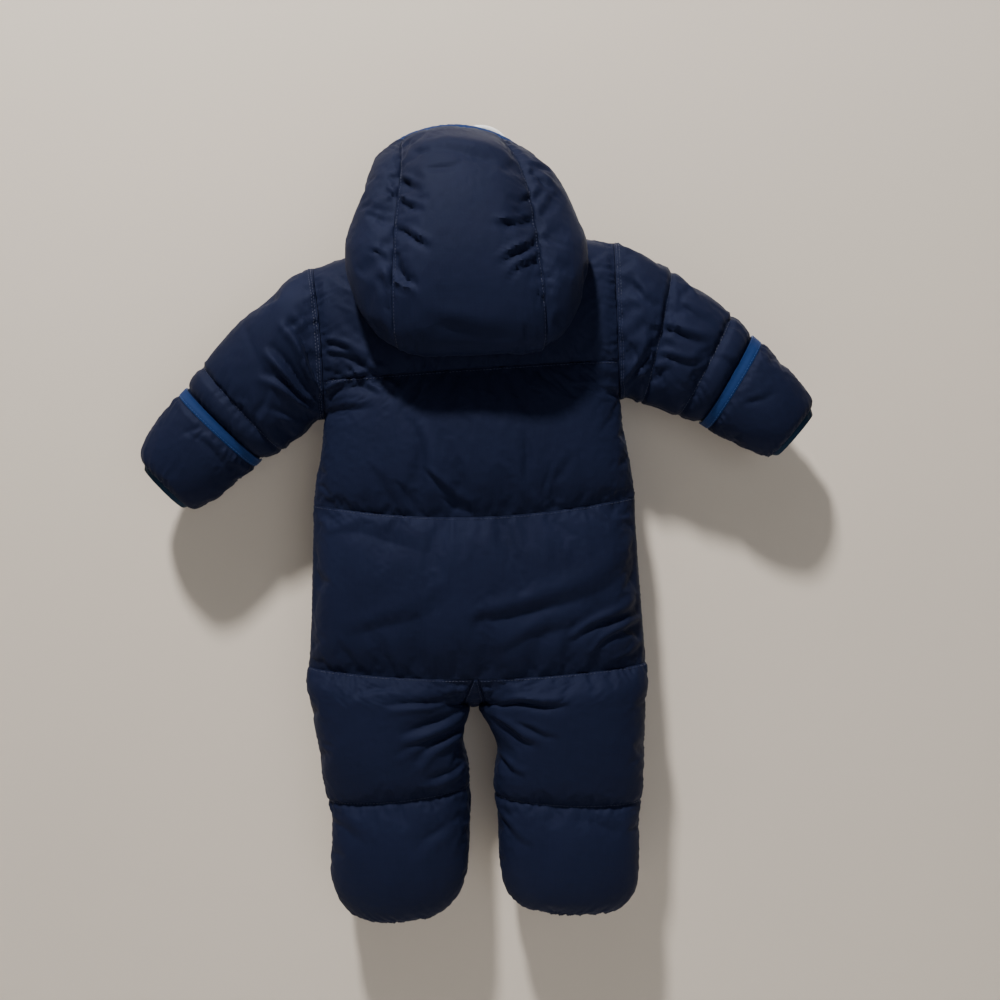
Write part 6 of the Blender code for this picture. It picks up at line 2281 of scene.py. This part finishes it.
    def bridge(self, face: float, rise: float) -> bpy.types.Object:
        """The arch on the slider's face that the pull tab hangs from.

        Args:
            face: The slider's front face, from its middle.
            rise: The hinge's height over that face.

        Returns:
            The object.
        """
        select_none()
        bpy.ops.mesh.primitive_cube_add(size=1.0)
        bridge = bpy.context.object
        bridge.scale = tuple(size * MM for size in self.bridge_size)
        inner = face + rise + self.pull_size[1] / 2 + self.bridge_gap
        bridge.location = (0.0, inner * MM, 0.0)
        bpy.ops.object.transform_apply(location=True, rotation=False, scale=True)
        bpy.ops.object.mode_set(mode="EDIT")
        bpy.ops.mesh.select_all(action="SELECT")
        bpy.ops.mesh.subdivide(number_cuts=3)
        foot = (rise + self.pull_size[1] / 2 + self.bridge_foot) * MM
        select_where(bridge, "FACE",
                     lambda place, way: way.y < -0.5 and abs(place.z) > self.bridge_span and place.y < inner)
        bpy.ops.mesh.extrude_region_move(TRANSFORM_OT_translate={"value": (0.0, -foot, 0.0)})
        bpy.ops.mesh.select_all(action="SELECT")
        bpy.ops.mesh.bevel(offset=self.bridge_bevel * MM, segments=1, affect="EDGES", clamp_overlap=True)
        bpy.ops.object.mode_set(mode="OBJECT")
        return bridge

    def pull(self) -> bpy.types.Object:
        """The pull tab about its hinge: a rounded block with an eye cut through its upper end, and an edge
        across its faces where the grip starts.
        """
        wide, deep, tall = self.pull_size
        select_none()
        bpy.ops.mesh.primitive_cube_add(size=1.0)
        pull = bpy.context.object
        pull.scale = (wide * MM, deep * MM, tall * MM)
        pull.location = (0.0, 0.0, -(tall - deep) / 2 * MM)
        bpy.ops.object.transform_apply(location=True, rotation=False, scale=True)
        bpy.ops.mesh.primitive_cube_add(size=1.0, location=(0.0, 0.0, -self.eye_drop * MM))
        hole = bpy.context.object
        hole.scale = tuple(size * MM for size in self.eye_size)
        bpy.ops.object.transform_apply(location=True, rotation=False, scale=True)
        cut = pull.modifiers.new("eye", "BOOLEAN")
        cut.operation, cut.solver, cut.object = "DIFFERENCE", "EXACT", hole
        select_none()
        bpy.context.view_layer.objects.active = pull
        pull.select_set(True)
        bpy.ops.object.modifier_apply(modifier="eye")
        bpy.data.objects.remove(hole, do_unlink=True)
        bpy.ops.object.mode_set(mode="EDIT")
        select_where(pull, "FACE", lambda place, way: abs(way.y) > 0.5)
        bpy.ops.mesh.bisect(plane_co=(0, 0, -self.grip_drop * MM), plane_no=(0, 0, 1))
        bpy.ops.object.mode_set(mode="OBJECT")
        rounded = pull.modifiers.new("edges", "BEVEL")
        rounded.width, rounded.segments, rounded.limit_method = self.pull_bevel * MM, 3, "ANGLE"
        bpy.ops.object.modifier_apply(modifier="edges")
        return pull


@dataclass
class Hanger:
    """A child's plastic hanger: two sloping arms and a hook, moulded in one."""

    body: BodyCut
    hook_radius: float = 29.5
    rod_radius: float = 3.5
    arm_height: float = 11.0
    arm_half_depth: float = 4.0
    clearance: float = 0.9
    end_left: float = -146.0
    end_right: float = 116.0
    crest_x: float = -2.0

    def cloth_z(self, x: float) -> float:
        """Height of the cloth's inner face along the shoulder seams, carried on to the crest."""
        body = self.body
        neck = body.across(0, body.shoulder_columns / body.columns)
        left_corner = lerp(body.left.top_x, body.right.top_x, neck)
        right_corner = lerp(body.left.top_x, body.right.top_x, 1 - neck)
        if x < self.crest_x:
            slope = (body.neck_left_z - body.left.top_z) / (left_corner - body.left.top_x)
            return body.left.top_z + slope * (x - body.left.top_x)
        slope = (body.neck_right_z - body.right.top_z) / (body.right.top_x - right_corner)
        return body.right.top_z + slope * (body.right.top_x - x)

    def rod(self, route: Sequence[Vector], radii: Sequence[float],
            half: tuple[float, float]) -> bpy.types.Object:
        """A rod along a route, as a mesh.

        Args:
            route: Its points.
            radii: The scale of its outline at each point.
            half: Half of the outline's depth and height, or twice the radius of a round rod.

        Returns:
            The object.
        """
        select_none()
        bpy.ops.curve.primitive_nurbs_path_add()
        item = bpy.context.object
        curve = item.data
        curve.splines.clear()
        spline = curve.splines.new("POLY")
        spline.points.add(len(route) - 1)
        for point, place, radius in zip(spline.points, route, radii):
            point.co = (*(place * MM), 1.0)
            point.radius = radius
        bpy.ops.curve.primitive_bezier_circle_add(radius=1.0)
        outline = bpy.context.object
        outline.scale = (half[0] * MM, half[1] * MM, 1.0)
        bpy.ops.object.transform_apply(location=False, rotation=False, scale=True)
        outline.data.resolution_u = 5
        curve.dimensions = "3D"
        curve.twist_mode = "MINIMUM" if half[0] == half[1] else "Z_UP"
        curve.bevel_mode = "OBJECT"
        curve.bevel_object = outline
        curve.use_fill_caps = True
        item.location = (0.0, 0.0, 0.0)
        select_none()
        item.select_set(True)
        bpy.context.view_layer.objects.active = item
        bpy.ops.object.convert(target="MESH")
        bpy.data.objects.remove(outline, do_unlink=True)
        return item

    def smooth_route(self, points: Sequence[Vector], parts: int = 8) -> list[Vector]:
        """Points on a smooth curve through the given ones."""
        grid = np.array(points)[:, None].repeat(2, axis=1)
        weights = Cut(grid, grid).weights(np.linspace(0, len(points) - 1, (len(points) - 1) * parts + 1),
                                          len(points), False)
        return [Vector(place) for place in weights @ np.array(points)]

    def build(self) -> None:
        """Model the arms and the hook and melt them into one moulding."""
        drop = self.clearance + self.arm_height / 2
        crest_z = (self.cloth_z(self.crest_x - 1.0) + self.cloth_z(self.crest_x + 1.0)) / 2
        stations = (self.end_left + 4.0, -120.0, -80.0, -40.0, self.crest_x, 40.0, 80.0, self.end_right - 4.0)
        arms = [Vector((x, 0.0, (crest_z - 3.0 if x == self.crest_x else self.cloth_z(x)) - drop))
                for x in stations]
        route = self.smooth_route(arms)
        radii = [min(1.0, 0.55 + 0.45 * math.sin(math.pi / 2 * min(1.0, min(k, len(route) - 1 - k) / 3)))
                 for k in range(len(route))]
        bar = self.rod(route, radii, (self.arm_half_depth, self.arm_height / 2))
        centre_z = self.rod_radius - self.hook_radius
        points = [Vector((self.crest_x, 0, crest_z - 12.0)), Vector((self.crest_x, 0, crest_z + 2.0)),
                  Vector((self.crest_x - 3.0, 0, centre_z - self.hook_radius - 4.0))]
        for step in range(14):
            turn = math.radians(230.0 - 20.0 * step)
            points.append(Vector((self.hook_radius * math.cos(turn), 0,
                                  centre_z + self.hook_radius * math.sin(turn))))
        hook = self.rod(self.smooth_route(points, 4), [1.0] * (4 * (len(points) - 1) + 1),
                        (self.rod_radius, self.rod_radius))
        select_none()
        bpy.ops.mesh.primitive_uv_sphere_add(radius=(self.rod_radius + 0.3) * MM, location=points[-1] * MM)
        tip = bpy.context.object
        select_none()
        for item in (hook, tip, bar):
            item.select_set(True)
        bpy.context.view_layer.objects.active = bar
        bpy.ops.object.join()
        bar.data.remesh_voxel_size = 0.9 * MM
        bpy.ops.object.voxel_remesh()
        smooth = bar.modifiers.new("smooth", "SMOOTH")
        smooth.factor, smooth.iterations = 0.5, 4
        bpy.ops.object.modifier_apply(modifier="smooth")
        settled(bar, "hanger_moulding", WHITE, SUIT, 60.0)
        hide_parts("hanger")


# ---------------------------------------------------------------- the suit

@dataclass
class Suit:
    """The whole snowsuit: all its pieces of cloth, their stitches, the zip and the hanger."""

    step: float = 3.8
    start: float = 0.82
    brim_lift: float = 6.0
    brim_x: float = -14.0
    brim_reach: float = 52.0
    brim_fade: tuple[tuple[float, ...], tuple[float, ...]] = ((0.0, 1.0, 2.0, 3.2), (1.0, 0.28, 0.10, 0.0))
    # where the hood's padding is laid evenly instead of blown: rows of its hoops, and how far
    hood_even: tuple[tuple[float, ...], tuple[float, ...]] = ((5.6, 6.8, 9.0), (0.0, 1.0, 0.8))
    hood_turned_in: float = 9.5  # rows under the hood's lower edge are held
    left_sleeve_lines: tuple[float, float] = (0.35, 0.65)   # its first quilting line shows faintly
    # columns of the sleeve from before its first one: how many before, and how many in all
    behind_flap: tuple[float, float] = (1.5, 15.0)
    under_flap: tuple[float, float] = (1.2, 14.4)
    cuff_puff: float = 4.0
    body: BodyCut = field(default_factory=BodyCut)
    padding: Padding = field(default_factory=Padding)
    pieces: list[Piece] = field(default_factory=list)

    def add(self, name: str, cloth: Cloth, thickness: Grid, lines: Sequence[float] = (),
            finish: Finish = NAVY, slot: Slot = Slot.SHELL, groove: float = 1.9, soft: float = 5.5,
            **wishes: float | bool) -> Piece:
        """Add a piece of cloth.

        Args:
            name: The name of its node.
            cloth: Its fine grid.
            thickness: Its thickness over its least.
            lines: The coarse rows of its quilting lines.
            finish: Its finish.
            slot: Its slot.
            groove: Its thickness at the seams.
            soft: How far from a seam it is full.
            wishes: Further fields of the piece.

        Returns:
            The piece.
        """
        cloth.puff(SHELL + thickness * self.start, lines, groove, soft)
        piece = Piece(f"{name}_cloth", cloth, finish, slot, tuple(lines), seed=len(self.pieces) + 3, **wishes)
        self.pieces.append(piece)
        return piece

    def inside(self, cloth: Cloth) -> None:
        """Even out a piece of the body and keep it inside the armholes' surfaces."""
        cloth.relax()
        cloth.inner = self.body.held_inside(cloth.inner)
        cloth.outer = self.body.held_inside(cloth.outer)

    def build_body(self) -> tuple[Grid, Grid, Grid]:
        """The yoke, the upper and the lower back, and the two fronts.

        Returns:
            The coarse outer faces of the back and the fronts.
        """
        body = self.body
        back = body.back()
        for name, first, last in zip(("back_yoke", "back_upper", "back_lower"), body.seams, body.seams[1:]):
            cloth = back.fine((first, last), (0, body.columns), self.step)
            girth = swell_across(cloth.columns, body.columns)
            amount = body.yoke_puff if first == 0 else body.body_puff
            self.add(name, cloth, amount * cloth.fullness((first, last)) * girth[None],
                     give_out=2.0 if first == 0 else 4.0, detail=2.0 if first == 0 else 3.2,
                     gathers=1.3 if first == 0 else 0.75)
            self.inside(cloth)
        fronts = []
        for left in (True, False):
            cut = body.front(left)
            fronts.append(body.coarse_outer(cut, True))
            cloth = cut.fine((0, body.rows), (0, body.columns // 2), self.step)
            girth = swell_across(cloth.columns, body.columns // 2)
            amount = body.front_puff * np.minimum(cloth.rows / body.yoke_rows, 1.0)[:, None]
            self.add(f"front_{'left' if left else 'right'}", cloth,
                     amount * cloth.fullness(body.seams) * girth[None], body.seams[1:3], give_out=4.0,
                     gathers=0.8)
            self.inside(cloth)
        return body.coarse_outer(back, False), fronts[0], fronts[1]

    def build_legs(self) -> None:
        """The legs' backs and fronts, and the gusset between them."""
        legs = [LegCut(self.body, True), LegCut(self.body, False)]
        for leg in legs:
            for front in (False, True):
                cut = leg.face(front)
                last = len(leg.rows) - 1
                cloth = cut.fine((0, last), (0, leg.columns), self.step)
                cloth.sides = ("top", "start", "end")
                girth = swell_across(cloth.columns, leg.columns)
                full = cloth.fullness((0, leg.seam_row, last)) * girth[None]
                name = f"leg_{'front' if front else 'back'}_{'left' if leg.left else 'right'}"
                self.add(name, cloth, leg.puff * full, (leg.seam_row,), give_out=4.0, elastic=True)
        cut = gusset_cut(*legs)
        cloth = cut.fine((0, 2 * legs[0].crotch_row), (0, 4), 2.6)
        self.add("crotch_gusset", cloth, np.full(cloth.inner.shape[:2], 0.6), give_out=1.0, detail=0.8,
                 soft=2.0, creases=False, gathers=0.5)

    def build_sleeves(self) -> None:
        """The sleeves, the cuff bindings, and the mitt flaps with their bindings."""
        for left in (True, False):
            side = "left" if left else "right"
            sleeve = SleeveCut(self.body, left)
            cut = sleeve.tube()
            last = len(cut.points) - 1
            cloth = cut.fine((0, sleeve.cuff_row), (0, sleeve.columns), self.step)
            swell = sleeve.roundness(cloth.columns)
            full = cloth.fullness((0, *sleeve.lines, sleeve.band_row)) * swell[None]
            if left:
                plain = cloth.fullness((0, sleeve.lines[1], sleeve.band_row)) * swell[None]
                full = self.left_sleeve_lines[0] * full + self.left_sleeve_lines[1] * plain
            sewn = sleeve.lines[1:] if left else sleeve.lines
            lower = cloth.fullness((sleeve.band_row, sleeve.cuff_row))
            before, count = self.behind_flap
            behind = (np.mod(cloth.columns + before, sleeve.columns) < count)[None]
            thickness = sleeve.puff * full + np.where(behind, 0.0, self.cuff_puff * lower * swell[None])
            piece = self.add(f"sleeve_{side}", cloth, thickness, (*sewn, sleeve.band_row), give_out=3.4)
            covered = behind & (cloth.rows >= sleeve.band_row - JUST_ABOVE)[:, None]
            cloth.held = cloth.held | covered | (cloth.rows > sleeve.lines[1] - JUST_ABOVE)[:, None]
            piece.ceiling = self.ceiling(sleeve, cloth, 2)

            ring = cut.fine((sleeve.cuff_row, last), (0, sleeve.columns), 2.0)
            ring.sides = ("top",)
            # the cuff binding's finish is darkened: its own teal-grey tone plus painted shade from the mitt
            # flap above it
            self.add(f"cuff_binding_{side}", ring, np.zeros(ring.inner.shape[:2]), finish=SHADED_TEAL,
                     slot=Slot.BINDING, groove=1.6, soft=2.0, blown=False, creases=False, gathers=0.25)

            over = sleeve.outside(cut)
            columns = (-sleeve.flap_wrap, sleeve.columns // 2 + sleeve.flap_wrap)
            flap = over.fine((sleeve.band_row + 1, sleeve.flap_end_row), columns, 3.6)
            flap.sides = ("top", "start", "end", "bottom")
            across = (flap.columns - columns[0]) / (columns[1] - columns[0])
            girth = swell_across(across, 1.0)
            full = flap.fullness((sleeve.band_row + 1, sleeve.flap_end_row)) * girth[None]
            self.add(f"mitt_flap_{side}", flap, sleeve.flap_puff * full, groove=2.0, give_out=2.6, detail=2.2)
            band = over.fine((sleeve.band_row, sleeve.band_row + 1), columns, 2.2)
            flat = np.full(band.inner.shape[:2], (sleeve.proud - SHELL) / self.start)
            self.add(f"mitt_binding_{side}", band, flat, finish=BLUE, slot=Slot.BINDING, groove=2.1,
                     soft=1.2, blown=False, creases=False, gathers=0.1)

    def ceiling(self, sleeve: SleeveCut, cloth: Cloth, factor: int) -> Grid:
        """How far a sleeve may stand out from its inner face, where the mitt flap lies over it."""
        rows = np.interp(np.arange(factor * (len(cloth.rows) - 1) + 1) / factor, np.arange(len(cloth.rows)),
                         cloth.rows)
        wrap = np.append(cloth.columns, cloth.columns[0] + sleeve.columns)
        columns = np.interp(np.arange(factor * len(cloth.columns)) / factor, np.arange(len(wrap)), wrap)
        before, count = self.under_flap
        under = (np.mod(columns + before, sleeve.columns) < count)[None]
        return np.where((rows >= sleeve.band_row - JUST_ABOVE)[:, None] & under, SHELL, NO_CEILING)

    def build_hood(self, faces: tuple[Grid, Grid, Grid]) -> None:
        """The hood's centre strip, its two sides and the binding of the face opening."""
        hood = HoodCut(self.body)
        back, left, right = faces
        cut = hood.lay(surface_tree([(back, True), (left, False), (right, True)]))
        last = len(hood.hoops) - 1
        rows, shares = self.hood_even
        for index, name in enumerate(("hood_side_left", "hood_centre", "hood_side_right")):
            first = index * hood.strip_columns
            cloth = cut.fine((1, last), (first, first + hood.strip_columns), self.step)
            cloth.sides = ("top", "start", "end")
            thickness = hood.thickness(cloth.rows, cloth.columns) - SHELL
            level = np.interp(cloth.rows, (0.0, *rows, last), (0.0, *shares, 0.0))[:, None]
            puffs = np.interp(cloth.rows, np.arange(last + 1), [hoop[5] for hoop in hood.hoops])[:, None]
            thickness = thickness + (hood.puff * puffs - thickness) * level
            self.add(name, cloth, thickness, give_out=3.4, gathers=1.4)
            even = cloth.inner + cloth.normals * (SHELL + thickness * self.start)[..., None]
            cloth.outer = cloth.outer + (even - cloth.outer) * level[..., None]
            cloth.held = cloth.held | (cloth.rows > self.hood_turned_in)[:, None]
            self.lift_brim(cloth)
        cloth = cut.fine((0, 1), (0, hood.columns), 2.2)
        self.add("hood_binding", cloth, np.full(cloth.inner.shape[:2], 1.0 / self.start), finish=BLUE,
                 slot=Slot.BINDING, groove=2.0, soft=2.6, blown=False, creases=False, gathers=0.4)
        self.lift_brim(cloth)

    def lift_brim(self, cloth: Cloth) -> None:
        """Turn the middle of the face opening's edge up a little.

        Args:
            cloth: A piece of the hood.
        """
        near = np.interp(cloth.rows, *self.brim_fade)[:, None]
        lift = self.brim_lift * near * np.exp(-((cloth.inner[..., 0] - self.brim_x) / self.brim_reach) ** 2)
        cloth.inner[..., 2] += lift
        cloth.outer[..., 2] += lift

    def build_tapes(self, closure: Zip) -> None:
        """The two halves of the zip tape."""
        for left in (True, False):
            cloth = closure.tape(left).fine((0, self.body.rows), (0, 1), 3.0)
            thin = np.full(cloth.inner.shape[:2], (closure.tape_thickness - SHELL) / self.start)
            self.add(f"zip_tape_{'left' if left else 'right'}", cloth, thin, finish=TAPE, slot=Slot.TAPE,
                     groove=1.9, soft=1.0, blown=False, creases=False, gathers=0.0)

    def finish_cloth(self) -> None:
        """Blow up the padding, press in the creases and make each piece's mesh."""
        self.padding.blow(self.pieces)
        for piece in self.pieces:
            piece.refine()
            piece.crumple()
            piece.build()
            piece.declare()

    def piece(self, node: str) -> Piece:
        """The piece that stands for a node."""
        return next(piece for piece in self.pieces if piece.name == f"{node}_cloth")

    def stitch(self) -> None:
        """Sew the seams: double rows round the armholes, and single ones along the other seams."""
        shell = Beads("stitching_shell", THREAD, Slot.SHELL)
        for side in ("left", "right"):
            sleeve = self.piece(f"sleeve_{side}").fine
            for offset in (2.4, 5.0):
                shell.run(*seam_line(sleeve, "top", offset))
            for row in self.piece(f"sleeve_{side}").lines[:-1]:
                shell.run(*seam_line(sleeve, "line", 0.0, row))
            for face in ("back", "front"):
                leg = self.piece(f"leg_{face}_{side}").fine
                shell.run(*seam_line(leg, "line", 0.0, row=7.0))
                shell.run(*seam_line(leg, "top", 2.2))
                for offset in (3.0, 9.5):
                    shell.run(*seam_line(leg, "bottom", offset))
            front = self.piece(f"front_{side}").fine
            shell.run(*seam_line(front, "end", 2.6))
            shell.run(*seam_line(front, "line", 0.0, row=8.0))
            shell.run(*seam_line(front, "line", 0.0, row=16.0))
            flap = self.piece(f"mitt_flap_{side}").fine
            shell.run(*seam_line(flap, "bottom", 2.6))
        for node in ("back_upper", "back_lower"):
            shell.run(*seam_line(self.piece(node).fine, "top", 2.2))
        for side in ("start", "end"):
            shell.run(*seam_line(self.piece("hood_centre").fine, side, 2.4))
            shell.run(*seam_line(self.piece("crotch_gusset").fine, side, 2.2), pitch=2.8, length=2.0)
        shell.build()
        blue = Beads("stitching_binding", BLUE_THREAD, Slot.BINDING)
        blue.run(*seam_line(self.piece("hood_binding").fine, "bottom", 1.6))
        for side in ("left", "right"):
            blue.run(*seam_line(self.piece(f"mitt_binding_{side}").fine, "bottom", 1.5))
            blue.run(*seam_line(self.piece(f"cuff_binding_{side}").fine, "top", 1.2))
        blue.build()

    def build(self) -> None:
        """Build the suit and its hanger."""
        closure = Zip(self.body)
        faces = self.build_body()
        self.build_legs()
        self.build_sleeves()
        self.build_hood(faces)
        self.build_tapes(closure)
        self.finish_cloth()
        self.stitch()
        closure.teeth()
        closure.metal()
        Hanger(self.body).build()


# ---------------------------------------------------------------- studio

@dataclass
class Lamp:
    """A soft light."""

    name: str
    place: tuple[float, float, float]
    aim: tuple[float, float, float]
    size: float
    watts: float
    colour: tuple[float, float, float] = (1.0, 1.0, 1.0)

    def build(self) -> None:
        """Make the light."""
        data = bpy.data.lights.new(self.name, "AREA")
        data.shape, data.size, data.energy, data.color = "DISK", self.size, self.watts, self.colour
        item = bpy.data.objects.new(self.name, data)
        bpy.context.scene.collection.objects.link(item)
        item.location = self.place
        way = Vector(self.aim) - Vector(self.place)
        item.rotation_euler = way.to_track_quat("-Z", "Y").to_euler()


@dataclass
class Studio:
    """Floor, wall, lights and camera."""

    wall_y: float = 0.058
    wall_size: float = 2.6
    wall_z: float = -0.2
    floor_z: float = -1.15
    floor_size: float = 6.0
    lens: float = 37.08
    sensor: float = 36.0
    sky: tuple[float, float, float, float] = (1.0, 0.98, 0.95, 1.0)
    world: float = 0.06
    surround: float = 0.42
    lamps: tuple[Lamp, ...] = (
        Lamp("key", (-0.52, -1.30, 1.80), (0.0, 0.0, -0.42), 0.24, 112.0, (1.0, 0.955, 0.90)),
        Lamp("top", (0.0, -0.80, 1.75), (0.0, 0.0, -0.40), 1.5, 2.0, (1.0, 0.97, 0.93)),
        Lamp("fill", (0.7, -1.9, -0.4), (0.0, 0.0, -0.45), 1.4, 6.0, (0.95, 0.97, 1.0)),
        Lamp("front", (0.45, 1.9, 0.9), (0.0, 0.0, -0.42), 2.0, 60.0, (1.0, 0.97, 0.94)),
    )

    def build(self) -> None:
        """Build the stage, the lights and the camera."""
        select_none()
        bpy.ops.mesh.primitive_plane_add(size=self.wall_size, location=(0.0, self.wall_y, self.wall_z))
        wall = bpy.context.object
        wall.rotation_euler = (math.pi / 2, 0.0, 0.0)
        bpy.ops.object.transform_apply(location=True, rotation=True, scale=True)
        wall.name = "backdrop"
        wall.data.materials.append(WALL.material())
        select_none()
        bpy.ops.mesh.primitive_plane_add(size=self.floor_size, location=(0.0, 0.0, self.floor_z))
        bpy.ops.object.transform_apply(location=True, rotation=True, scale=True)
        floor = bpy.context.object
        floor.name = "floor"
        floor.data.materials.append(FLOOR.material())
        for lamp in self.lamps:
            lamp.build()
        world = bpy.data.worlds.new("studio")
        world.use_nodes = True
        ground = world.node_tree.nodes["Background"]
        ground.inputs["Color"].default_value = self.sky
        seen = world.node_tree.nodes.new("ShaderNodeLightPath").outputs["Is Camera Ray"]
        strength = math_node(world.node_tree, "MULTIPLY_ADD", seen, self.surround - self.world, self.world)
        world.node_tree.links.new(strength, ground.inputs["Strength"])
        bpy.context.scene.world = world
        data = bpy.data.cameras.new("camera")
        data.lens, data.sensor_width = self.lens, self.sensor
        camera = bpy.data.objects.new("camera", data)
        bpy.context.scene.collection.objects.link(camera)
        camera.location = tuple(EYE * MM)
        camera.rotation_euler = (math.pi / 2, 0.0, 0.0)
        bpy.context.scene.camera = camera


def main() -> None:
    """Build the suit and the studio."""
    logging.basicConfig(level=logging.INFO, format="%(name)s %(message)s")
    Suit().build()
    Studio().build()


if __name__ == "__main__":
    main()
